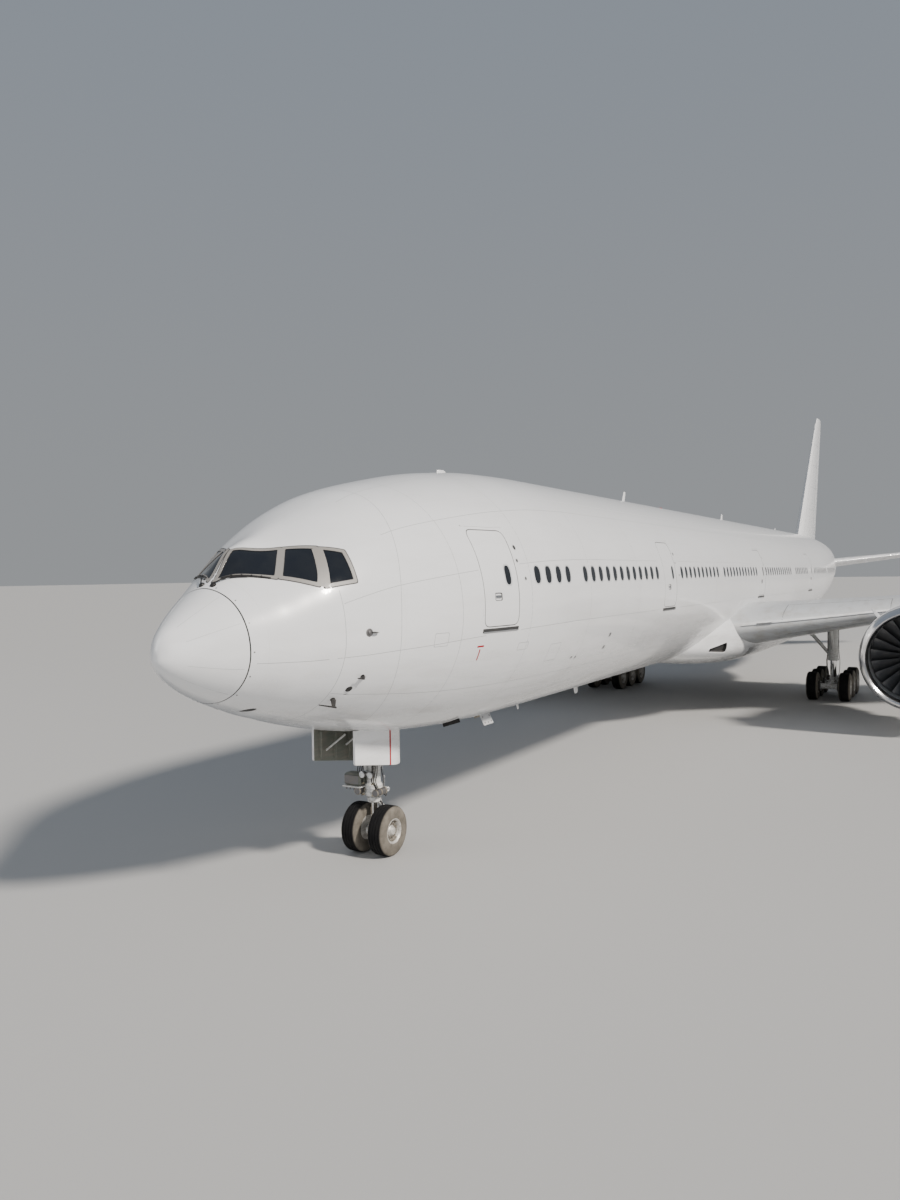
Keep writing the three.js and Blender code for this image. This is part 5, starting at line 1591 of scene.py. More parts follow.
    def lap_joints(self, made: Shape) -> None:
        """Adds the laps along the barrel, which leave out windows, doors and the nose gear bay."""
        doors = np.array(PassengerDoors.afts)
        for turn, start in self.laps:
            afts = np.concatenate([np.linspace(start, 12.0, 50), np.linspace(12.0, 70.0, 80)[1:]])
            for side in SIDES.values():
                line = BODY_SKIN.ring(afts, np.full(len(afts), side * math.radians(turn)))
                up = line[:, 2]
                near = np.abs(afts[:, None] - doors).min(axis=1) < 0.66
                keep = ~(near & (up > -0.75) & (up < 1.6))
                keep &= ~((np.abs(up - 0.49) < 0.25) & (afts > 8))
                keep &= ~((turn > 150) & (afts < 6.8))
                for _, door in CargoDoors.doors:
                    keep &= ~((side < 0) & (np.abs(afts - door) < 1.4) & (up < -0.4) & (up > -2.2))
                self.runs(made, line, keep, 2)

    def instruments(self) -> None:
        """Makes the probes, the vane on its disc, the vents and the tail outlet."""
        made = Shape()
        disc = [(-0.003, 0.038), (0.0012, 0.038), (0.0022, 0.035), (0.0026, 0.018), (0.010, 0.016),
                (0.012, 0.010)]
        for side in SIDES.values():
            base, normal, back = self.spot(side, *self.vane)
            made.lathe(disc, base, normal, 36, 1)
            made.blade(base + normal * 0.006 + back * 0.022, normal, back, (0.15, 0.07, 0.03, 0.03), mark=3)
            for aft, up, mast, length in self.probes:
                base, normal, back = self.spot(side, aft, up)
                made.lathe([(-0.003, 0.024), (0.0014, 0.024), (0.003, 0.020)], base, normal, 28, 3)
                made.blade(base - back * 0.022, normal, back, (0.13, mast, -0.06, 0.05), mark=3)
                tip = base + normal * mast * SCALE - back * 0.05
                made.rod(tip - back * length * 0.6 * SCALE, tip + back * 0.05, 0.005, 0.009, 16, 0.001, 3)
            spot = side_spot(BODY_SKIN, side)
            aft, up = self.sensor
            made.slab(spot, oval(aft, up, 0.125, 0.095, 28, 2.0), 0.006, -0.004, 3, 0.003, 3)
            made.slab(spot, oval(aft + 0.01, up - 0.10, 0.09, 0.012, 16, 2.0), 0.0005, -0.003, 1, mark=3)
            made.slab(spot, oval(1.68, -1.82, 0.12, 0.07, 28, 2.4), 0.0015, -0.004, 3, 0.001, 3)
            for aft, up, width, height in self.vents:
                if side < 0 and any(abs(aft - door) < 1.5 for _, door in CargoDoors.doors):
                    continue
                made.band(spot, rectangle(aft, up, width + 0.03, height + 0.03, 0.03, 4),
                          rectangle(aft, up, width - 0.005, height - 0.005, 0.02, 4), 0.0014, -0.004,
                          0.0008)
                made.slab(spot, rectangle(aft, up, width, height, 0.02, 4), 0.0003, -0.004, 2, mark=1)
        base, normal, _ = self.spot(1, 72.55, 1.72)
        outlet = [(-0.02, 0.13), (0.012, 0.15), (0.018, 0.145), (0.010, 0.125), (-0.012, 0.10),
                  (-0.014, 0.0)]
        made.lathe(outlet, base, normal, 48, 2)
        settle(made.build("hull_instruments", self.palette("rim", "steel", "hot", "black")), AIRFRAME,
               Slot.GEAR)

    def masts(self) -> None:
        """Makes the blade antennas, the drain masts and the beacons, along the top and the bottom."""
        made = Shape()
        for rows, turn in ((self.crown, 0.0), (self.keel, math.pi)):
            for aft, *size in rows:
                base, normal, back = self.stand(BODY_SKIN.ring(np.array([aft]), np.array([turn])))
                made.blade(base, normal, back, tuple(size))
                foot = base + back * size[0] * 0.25
                made.lathe([(-0.002, 0.03), (0.001, 0.03), (0.002, 0.026)], foot, normal, 24, mark=1)
        for aft, turn in self.beacons:
            base, normal, _ = self.stand(BODY_SKIN.ring(np.array([aft]), np.array([turn])))
            made.lathe([(-0.002, 0.06), (0.006, 0.058), (0.008, 0.05)], base, normal, 36, 1)
            made.lathe([(0.004, 0.044), (0.03, 0.040), (0.046, 0.028), (0.052, 0.0)], base, normal, 36, 2)
        settle(made.build("hull_masts", self.palette("panel", "steel", "red_lens")), AIRFRAME, Slot.SKIN)

    def hatches(self) -> None:
        """Makes two open hatches under the port side: a flat black plate in each opening and a small black
        lid, both painted shade, and a service panel hanging down.
        """
        made = Shape()
        for place_on_skin, slope, length, width in self.openings:
            spot = plane_spot(BODY_SKIN, place_on_skin, (0, 1, 0), (1, 0, slope))
            made.band(spot, rectangle(0, 0, length + 0.05, width + 0.05, 0.05, 4),
                      rectangle(0, 0, length - 0.01, width - 0.01, 0.03, 4), 0.003, -0.006, 0.001)
            # A flat black plate on the skin stands for the opening's shaded inside: painted shade
            made.slab(spot, rectangle(0, 0, length, width, 0.03, 4), 0.0008, -0.006, rings=3, mark=1)
        # The lid is black for the shade that it hangs in: painted shade
        lid, lid_half = place(0.96, 7.86, -2.91 + AXIS_UP), vec(0.118, 0.004, 0.026)
        made.block(lid - lid_half, lid + lid_half, 0.002, mark=1,
                   turn=Matrix.Rotation(math.radians(-18), 3, "Y"))
        lean = Matrix.Rotation(math.radians(-26), 3, "Y")
        middle, half = place(1.10, 9.34, -3.02 + AXIS_UP), vec(0.006, 0.12, 0.075)
        made.block(middle - half, middle + half, 0.004, turn=lean, mark=4)
        face, down = np.array(lean @ Vector((1.0, 0.0, 0.0))), np.array(lean @ Vector((0.0, 0.0, -1.0)))
        for along, drop in ((-0.085, 0.045), (0.085, 0.045), (-0.085, -0.03), (0.085, -0.03), (0.0, 0.05)):
            foot = middle + vec(0, along, 0) + down * drop + face * 0.005
            made.rod(foot, foot + face * 0.004, 0.011, sides=16, edge=0.001, mark=2)
        for along in (-0.09, 0.09):
            pin = middle + vec(0, along, 0) - down * 0.078
            made.rod(pin - vec(0, 0.02, 0), pin + vec(0, 0.02, 0), 0.008, sides=14, edge=0.001, mark=2)
        plug = place(0.86, 9.30, -2.97 + AXIS_UP)
        for along in (-0.05, 0.0, 0.05):
            made.rod(plug + vec(0, along, 0.01), plug + vec(0, along, -0.02), 0.009, sides=14, edge=0.001,
                     mark=3)
        finishes = self.palette("panel", "black", "steel", "brass", "rim")
        settle(made.build("hull_hatches", finishes), AIRFRAME, Slot.SKIN)


def half_thickness(x: float | Array) -> float | Array:
    """Half the thickness of a section of unit thickness at a place in the chord."""
    return 5 * (0.2969 * np.sqrt(x) - 0.126 * x - 0.3516 * x**2 + 0.2843 * x**3 - 0.1015 * x**4)


@dataclass(frozen=True)
class Hinge:
    """A straight hinge line inside a surface, with its half thickness at both ends, in model metres."""

    start: tuple[float, float, float]
    end: tuple[float, float, float]
    radii: tuple[float, float]
    level: bool = False
    pin_length: float = 0.1
    pin_size: float = 0.4
    lip: float = 0.55
    free: float = 0.005
    seat: float = 0.00045

    @property
    def span(self) -> float:
        """The line's length."""
        return float(np.linalg.norm(np.subtract(self.end, self.start)))

    @property
    def axis(self) -> Array:
        """The line's direction."""
        return np.subtract(self.end, self.start) / self.span

    def round(self, low: float, high: float, size: float, grow: float, sides: int) -> Shape:
        """A round bar between two distances along the line.

        Args:
            low: Where it starts.
            high: Where it ends.
            size: Its radius as a part of the half thickness there.
            grow: What is added to the radius.
            sides: Number of sides.

        Returns:
            The bar.
        """
        radii = [(self.radii[0] + (self.radii[1] - self.radii[0]) * at / self.span) * size + grow
                 for at in (low, high)]
        made = Shape()
        made.rod(np.add(self.start, self.axis * low), np.add(self.start, self.axis * high), *radii,
                 sides=sides)
        return made

    def bar(self, grow: float) -> Shape:
        """The round bar along the whole line and a little past its ends."""
        return self.round(-self.pin_length, self.span + self.pin_length, 1.0, grow, 40)

    def pin(self, outer: bool, extra: float) -> Shape:
        """A pin at one end of the line, half in the surface and half in what carries it, with some room."""
        reach = self.pin_length
        low, high = (self.span - reach, self.span + reach + extra) if outer else (-reach - extra, reach)
        return self.round(low, high, self.pin_size, extra, 24)

    def behind(self, ahead: float, gap: float) -> Shape:
        """Everything behind the line, from a distance in front of it, its ends moved out by a gap."""
        back = vec(0.0, 1.0, 0.0)
        square = back - self.axis * (back @ self.axis)
        square = square / np.linalg.norm(square)
        aft = back if self.level else square
        across = np.cross(self.axis, square)
        corners = [(-ahead, -0.5), (2.0, -0.5), (2.0, 0.5), (-ahead, 0.5)]
        rows = [[np.add(end, self.axis * shift) + aft * y + across * z for y, z in corners]
                for end, shift in ((self.start, -gap), (self.end, gap))]
        made = Shape()
        made.grid(np.array(rows))
        return made


@dataclass
class Foil:
    """A wing, stabiliser or fin surface from its table of stations."""

    rows: tuple[tuple[float, ...], ...]
    camber: float = 0.0
    upright: bool = False
    steps: int = 36

    def __post_init__(self) -> None:
        """Reads the table."""
        data = np.array(self.rows, float)
        self.read = Profile(data[:, 0], data[:, 1:], curved=False)

    def bend(self, x: float | Array) -> float | Array:
        """Height of the section's middle line, in chords."""
        return self.camber * 4 * x * (1 - x)

    def point(self, side: int, out: float, x: float | Array, z: float | Array) -> Array:
        """A model point from a station, a place in the chord, and a height above it in chords."""
        values = self.read(out)
        if self.upright:
            aft, chord, _ = values
            return place(chord * np.asarray(z), aft + chord * np.asarray(x), out + 0 * np.asarray(x))
        aft, chord, up, _, twist = values
        tilt = math.radians(float(twist))
        along = aft + chord * (x * math.cos(tilt) + z * math.sin(tilt))
        height = up + chord * (z * math.cos(tilt) - x * math.sin(tilt))
        return place(side * out + 0 * along, along, height)

    def thickness(self, out: float) -> float:
        """Thickness of a station's section, in chords."""
        return float(self.read(out)[2 if self.upright else 3])

    def chord(self, out: float) -> float:
        """Chord of a station."""
        return float(self.read(out)[1])

    def skin(self, side: int, out: float, x: float | Array, face: int, lift: float = 0.0) -> Array:
        """A point of the upper (1) or lower (-1) skin, lifted by model metres."""
        z = self.bend(x) + face * (self.thickness(out) * half_thickness(x)
                                   + lift / (self.chord(out) * SCALE))
        return self.point(side, out, x, z)

    def solid(self, side: int, extra: Sequence[float] = ()) -> Shape:
        """The whole surface as one closed shape, with stations close together near the tip."""
        table = [row[0] for row in self.rows]
        outs = sorted({*table, *extra, *np.linspace(table[0], table[-2], 28).tolist(),
                       *np.linspace(table[-2], table[-1], 6).tolist()})
        x = (1 + np.cos(np.pi * np.arange(self.steps + 1) / self.steps)) / 2
        rings = []
        for out in outs:
            upper = self.skin(side, out, x, 1)
            lower = self.skin(side, out, x[1:-1][::-1], -1)
            rings.append(np.concatenate([upper, lower, self.skin(side, out, x[:1], -1)]))
        made = Shape()
        made.grid(np.array(rings))
        return made

    def hinge(self, side: int, inner: float, outer: float, front: float) -> Hinge:
        """The hinge line between two stations."""
        ends = [self.point(side, out, front, self.bend(front)) for out in (inner, outer)]
        radii = [self.chord(out) * self.thickness(out) * half_thickness(front) * SCALE
                 for out in (inner, outer)]
        return Hinge(tuple(ends[0]), tuple(ends[1]), tuple(radii), level=self.upright)

    def strip(self, made: Shape, side: int, face: int, line: Sequence[tuple[float, float]], width: float,
              lift: float = 0.0004, mark: int = 0) -> None:
        """A thin strip on the skin through points of the form station, place in the chord.

        Args:
            made: The shape that takes it.
            side: 1 for port, -1 for starboard.
            face: 1 for the upper or port skin, -1 for the other.
            line: The points.
            width: Its width in full-size metres.
            lift: Its height over the skin, in model metres.
            mark: Number of the finish.
        """
        knots = np.array(line, float)
        count = 12 * (len(knots) - 1) + 1
        t = np.linspace(0, len(knots) - 1, count)
        outs, xs = np.interp(t, range(len(knots)),
                             knots[:, 0]), np.interp(t, range(len(knots)), knots[:, 1])
        centre = np.array([self.skin(side, float(o), x, face) for o, x in zip(outs, xs)])
        raised = np.array([self.skin(side, float(o), x, face, 0.01) for o, x in zip(outs, xs)])
        normal = raised - centre
        normal = normal / np.linalg.norm(normal, axis=1, keepdims=True)
        along = np.gradient(centre, axis=0)
        across = np.cross(along, normal)
        across = across / np.linalg.norm(across, axis=1, keepdims=True) * width * SCALE / 2
        rows = [centre + across * s + normal * h
                for s, h in ((-1, -0.002), (-1, lift), (1, lift), (1, -0.002))]
        made.grid(np.array(rows).transpose(1, 0, 2), mark=mark)


@dataclass(frozen=True)
class Flap:
    """A piece of a trailing edge, by its ends along the span and its front edge as a part of the chord."""

    name: str
    inner: float
    outer: float
    front: float
    moves: bool


def cut_flaps(foil: Foil, side: int, hand: str, flaps: Sequence[Flap], whole: bpy.types.Object,
              carrier: Slot,
              finishes: Sequence[bpy.types.Material], end_gap: float = 0.005) -> None:
    """Cuts a surface's flaps free of it, each as a piece on its own body.

    Args:
        foil: The surface.
        side: 1 for port, -1 for starboard.
        hand: The ending of the pieces' names, or nothing.
        flaps: The flaps.
        whole: The surface's object, which loses them.
        carrier: The slot of their finish.
        finishes: Their material.
        end_gap: Room at the ends of a moving flap, in model metres.
    """
    for flap in flaps:
        hinge = foil.hinge(side, flap.inner, flap.outer, flap.front)
        name = f"{flap.name}_{hand}" if hand else flap.name
        piece = foil.solid(side, (flap.inner, flap.outer)).build(f"{name}_skin", finishes)
        if not flap.moves:
            carve(piece, hinge.behind(0.0, 0.0), "INTERSECT")
            carve(whole, hinge.behind(0.003, 0.003))
            settle(piece, AIRFRAME, carrier, name)
            continue
        radius = hinge.radii[0]
        nose = hinge.bar(-hinge.free).build("nose", finishes)
        carve(nose, hinge.behind(2 * radius, -end_gap), "INTERSECT")
        carve(piece, hinge.behind(0.0, -end_gap), "INTERSECT")
        weld(piece, nose)
        for outer in (False, True):
            weld(piece, hinge.pin(outer, 0.0).build("pin", finishes))
        tidy_mesh(piece.data)
        settle(piece, name, carrier, name)
        groove = hinge.bar(hinge.free).build("groove", [])
        carve(groove, hinge.behind(2 * radius, 0.0), "INTERSECT")
        carve(whole, hinge.behind(hinge.lip * radius + hinge.free, 0.0))
        weld(whole, groove, "DIFFERENCE")
        for outer in (False, True):
            weld(whole, hinge.pin(outer, hinge.seat).build("bore", []), "DIFFERENCE")
        tidy_mesh(whole.data)


@dataclass
class Wing:
    """One wing with its flaps, ailerons, track fairings, lamps and jacking pad."""

    palette: Palette
    hand: str
    # Stations: out, leading edge aft, chord, height above the ground, thickness in chords, twist in degrees
    rows = (
        (2.0, 26.73, 14.60, 3.72, 0.135, 1.5),
        (3.1, 27.50, 13.50, 3.80, 0.135, 1.5),
        (6.5, 29.88, 11.00, 4.15, 0.122, 1.2),
        (9.8, 32.19, 8.60, 4.52, 0.112, 0.8),
        (16.0, 36.53, 6.88, 5.22, 0.103, 0.2),
        (23.0, 41.43, 4.95, 6.10, 0.098, -0.6),
        (30.4, 46.61, 2.90, 7.12, 0.095, -1.2),
        (31.6, 47.82, 1.98, 7.33, 0.095, -1.4),
        (32.4, 49.05, 0.95, 7.46, 0.095, -1.5),
    )
    flaps = (
        Flap("inboard_flap", 3.95, 8.55, 0.80, False),
        Flap("outboard_flap", 11.3, 22.3, 0.77, False),
        Flap("flaperon", 9.0, 10.7, 0.80, True),
        Flap("aileron", 22.6, 28.6, 0.76, True),
    )
    # Flap tracks: out, length and radius
    tracks = ((12.6, 4.6, 0.34), (16.6, 4.3, 0.31), (20.8, 3.9, 0.28), (7.2, 3.4, 0.30))
    # Ends of the slats and spoilers, and places of the tank covers and static wicks, along the span
    slats = ((4.6, 8.4), (10.9, 15.2), (15.3, 19.6), (19.7, 24.0), (24.1, 28.4), (28.5, 31.2))
    spoilers = ((4.4, 6.0), (6.1, 7.7), (11.5, 13.6), (13.7, 15.8), (15.9, 18.0), (18.1, 20.2),
                (20.3, 22.2))
    tank_covers = (12.0, 14.6, 17.4, 20.2, 22.9, 25.6, 28.0)
    wicks = (28.9, 29.6, 30.3, 31.0)
    jack_out: float = 7.6
    jack_aft: float = 35.6
    jack_face: float = 3.66
    jack_radius: float = 0.14

    def __post_init__(self) -> None:
        """Reads the stations."""
        self.side = SIDES[self.hand]
        self.foil = Foil(self.rows, 0.012)

    def track(self, made: Shape, out: float, length: float, radius: float) -> None:
        """Adds the fairing of a flap track: a slim pod under the trailing edge."""
        foil = self.foil
        aft, chord, up, thickness, twist = (float(value) for value in foil.read(out))
        under = chord * thickness * half_thickness(0.7)
        middle = up - chord * math.sin(math.radians(twist)) * 0.7 - under - radius * 0.45
        start = aft + chord - length * 0.74
        pods = Profile([0.0, 0.03, 0.08, 0.3, 0.6, 0.85, 0.96, 1.0],
                       [(0.02, 0.55), (0.30, 0.42), (0.52, 0.26), (0.95, 0.04), (0.92, 0.0), (0.50, 0.0),
                        (0.16, -0.06), (0.01, -0.1)])
        angle = np.linspace(0, 2 * math.pi, 28, endpoint=False)
        rings = []
        for t in np.concatenate([np.linspace(0, 0.1, 7)[:-1], np.linspace(0.1, 1, 24)]):
            size, drop = pods(t)
            rings.append(place(self.side * (out + radius * 0.62 * size * np.sin(angle)), start + length * t,
                               middle + radius * (drop + size * np.cos(angle))))
        made.grid(np.array(rings), mark=0)

    def build(self) -> None:
        """Makes the wing and its pieces."""
        foil, side, hand = self.foil, self.side, self.hand
        stops = [value for flap in self.flaps for value in (flap.inner, flap.outer)]
        whole = foil.solid(side, stops).build(f"wing_skin_{hand}", self.palette("wing"))
        cut_flaps(foil, side, hand, self.flaps, whole, Slot.WING, self.palette("wing"))
        settle(whole, AIRFRAME, Slot.WING, f"wing_{hand}")
        pods = Shape()
        for row in self.tracks:
            self.track(pods, *row)
        foot = place(side * self.jack_out, self.jack_aft, self.jack_face)
        pods.lathe([(0.0, self.jack_radius * SCALE - 0.003), (0.003, self.jack_radius * SCALE),
                    (0.22, self.jack_radius * SCALE)],
                   foot, (0, 0, 1), 40, mark=0)
        settle(pods.build(f"flap_track_fairings_{hand}", self.palette("wing")), AIRFRAME, Slot.WING)
        self.seams()
        self.lamps()

    def seams(self) -> None:
        """Adds the joints of the slats and spoilers, the bare metal leading edge, and the static wicks."""
        foil, side = self.foil, self.side
        made = Shape()
        for inner, outer in self.slats:
            foil.strip(made, side, 1, [(inner, 0.13), (outer, 0.13)], 0.022)
            foil.strip(made, side, -1, [(inner, 0.055), (outer, 0.055)], 0.018)
            for out in (inner, outer):
                foil.strip(made, side, 1, [(out, 0.13), (out, 0.004)], 0.018)
        for inner, outer in self.spoilers:
            front, rear = (0.67, 0.765) if inner > 9 else (0.70, 0.795)
            foil.strip(made, side, 1, [(inner, rear), (inner, front), (outer, front), (outer, rear)], 0.018)
        for out in self.tank_covers:
            foil.strip(made, side, -1, [(out - 0.32, 0.42), (out + 0.32, 0.42)], 0.36, 0.0005, mark=1)
        for inner, outer, width in ((3.2, 8.3, 0.10), (10.9, 31.2, 0.08)):
            foil.strip(made, side, 1, [(inner, 0.0008), (outer, 0.0008)], width, mark=2)
        for out in self.wicks:
            start, tip = foil.point(side, out, 0.985, foil.bend(0.985)), foil.point(side, out, 1.0, 0.0)
            made.rod(start, tip + vec(side * 0.01, 0.06, 0.0), 0.0022, 0.0012, sides=6, mark=3)
        finishes = self.palette("seal", "liner", "lip", "hose")
        settle(made.build(f"wing_seams_{self.hand}", finishes), AIRFRAME, Slot.WING)

    def lamps(self) -> None:
        """Adds the tip's navigation lamp and the root's landing lamps, set in the leading edge."""
        made = Shape()
        for inner, outer, mark, width in ((31.25, 31.5, 0, 0.09), (3.75, 4.25, 1, 0.22)):
            for grow, wide, lift, finish in ((0.0, 0.0, 0.0012, mark), (0.02, 0.03, 0.0006, 2)):
                line = [(inner - grow, 0.002), (outer + grow, 0.002)]
                self.foil.strip(made, self.side, 1, line, width + wide, lift, mark=finish)
        finishes = self.palette("red_lens" if self.side > 0 else "green_lens", "clear_lens", "seal")
        settle(made.build(f"wing_lamps_{self.hand}", finishes), AIRFRAME, Slot.WING)


@dataclass
class Tail:
    """The tailplane with its elevators, and the fin with its rudder."""

    palette: Palette
    # Stations: out, leading edge aft, chord, height above the ground, thickness in chords, twist in degrees
    stabiliser = (
        (0.4, 62.72, 7.10, 6.50, 0.10, 0.0),
        (1.9, 63.95, 6.40, 6.68, 0.10, 0.0),
        (10.3, 71.00, 2.70, 7.72, 0.09, 0.0),
        (10.76, 71.95, 1.91, 7.78, 0.09, 0.0),
    )
    # Stations: height above the ground, leading edge aft, chord, thickness in chords
    fin = (
        (7.6, 59.55, 9.10, 0.10),
        (9.0, 61.10, 8.10, 0.10),
        (17.9, 69.25, 2.95, 0.09),
        (18.6, 70.25, 2.05, 0.09),
    )
    elevator: Flap = Flap("elevator", 2.0, 10.15, 0.74, True)
    rudder: Flap = Flap("rudder", 9.0, 17.8, 0.70, True)
    rudder_gap: float = 0.036

    def build(self) -> None:
        """Makes all four surfaces and their moving parts."""
        plane, fin = Foil(self.stabiliser), Foil(self.fin, upright=True)
        finishes = self.palette("tail")
        for hand, side in SIDES.items():
            whole = plane.solid(side, (self.elevator.inner, self.elevator.outer))
            whole = whole.build(f"tailplane_skin_{hand}", finishes)
            cut_flaps(plane, side, hand, [self.elevator], whole, Slot.SKIN, finishes)
            settle(whole, AIRFRAME, Slot.SKIN, f"horizontal_stabiliser_{hand}")
            lines = [((2.0, 10.1), 0.60, 0.016), ((2.0, 10.2), 0.09, 0.014)]
            self.trim(plane, side, (1.5, 10.25), lines, [], f"tailplane_trim_{hand}")
        whole = fin.solid(1, (self.rudder.inner, self.rudder.outer)).build("fin_skin", finishes)
        cut_flaps(fin, 1, "", [self.rudder], whole, Slot.SKIN, finishes, self.rudder_gap)
        settle(whole, AIRFRAME, Slot.SKIN, "fin")
        lines = [((8.6, 18.2), 0.58, 0.016), ((8.2, 18.3), 0.09, 0.014)]
        self.trim(fin, 1, (8.0, 18.3), lines, [10.8, 12.6, 14.4, 16.2], "fin_trim")

    def trim(self, foil: Foil, side: int, front: tuple[float, float], lines: Sequence,
             ribs: Sequence[float],
             name: str) -> None:
        """Makes a surface's bare metal leading edge and its skin joints.

        Args:
            foil: The surface.
            side: 1 for port, -1 for starboard.
            front: Where the bare metal begins and ends.
            lines: Joints along the span: both ends, place in the chord, and width.
            ribs: Stations of the joints along the chord.
            name: The piece's name.
        """
        made = Shape()
        foil.strip(made, side, 1, [(front[0], 0.0008), (front[1], 0.0008)], 0.08)
        for face in (1, -1):
            for (inner, outer), chord, width in lines:
                foil.strip(made, side, face, [(inner, chord), (outer, chord)], width, mark=1)
            for out in ribs:
                foil.strip(made, side, face, [(out, 0.10), (out, 0.57)], 0.012, mark=1)
        settle(made.build(name, self.palette("lip", "seal")), AIRFRAME, Slot.SKIN)


@dataclass
class BellyFairing:
    """The fairing under the wing roots, with its air inlets and outlet vents."""

    palette: Palette
    sides: int = 96
    stations: int = 90

    def build(self) -> None:
        """Makes the fairing and what is set in it."""
        afts = np.linspace(FAIRING[0][0], FAIRING[-1][0], self.stations)
        angle = 2 * math.pi * (np.arange(self.sides) + 0.5) / self.sides
        rings = BELLY_SKIN.world(BELLY_SKIN.ring(afts[:, None], angle[None, :]))
        shape = Shape()
        shape.grid(rings)
        piece = shape.build("belly_fairing", self.palette("skin", "seal"))
        scoops = Shape()
        details = Shape()
        for side in SIDES.values():
            spot = side_spot(BELLY_SKIN, side)
            inlet = rounded([(25.6, 2.95), (26.7, 2.86), (26.7, 3.28), (25.6, 3.08)], 0.06, 4)
            scoops.slab(spot, inlet, 0.03, -0.07, rings=2)
            details.band(spot, grown(inlet, 0.05), grown(inlet, -0.004), 0.003, -0.01, 0.002, mark=0)
            outlet = rectangle(29.5, 2.72, 0.9, 0.34, 0.05, 4)
            for row in range(5):
                slat = rectangle(29.5, 2.72 - 0.14 + 0.07 * row, 0.82, 0.03, 0.01, 2)
                details.slab(spot, slat, 0.0026, -0.004, rings=2, edge=0.001, mark=1)
            details.band(spot, outlet, grown(outlet, -0.03), 0.0016, -0.004, 0.0008, mark=0)
        carve(piece, scoops)
        # Faces below the skin, the inlets' walls and floor, take the near-black seal finish: painted shade
        # for the duct
        repaint(piece, lambda centre, normal: 1 if skin_depth(BELLY_SKIN, centre) > 0.0035
                and abs(centre.y) < 6.4 else None)
        skin_normals(piece, BELLY_SKIN)
        settle(piece, AIRFRAME, Slot.SKIN, "wing_body_fairing")
        settle(details.build("belly_fairing_vents", self.palette("panel", "steel")), AIRFRAME, Slot.SKIN)


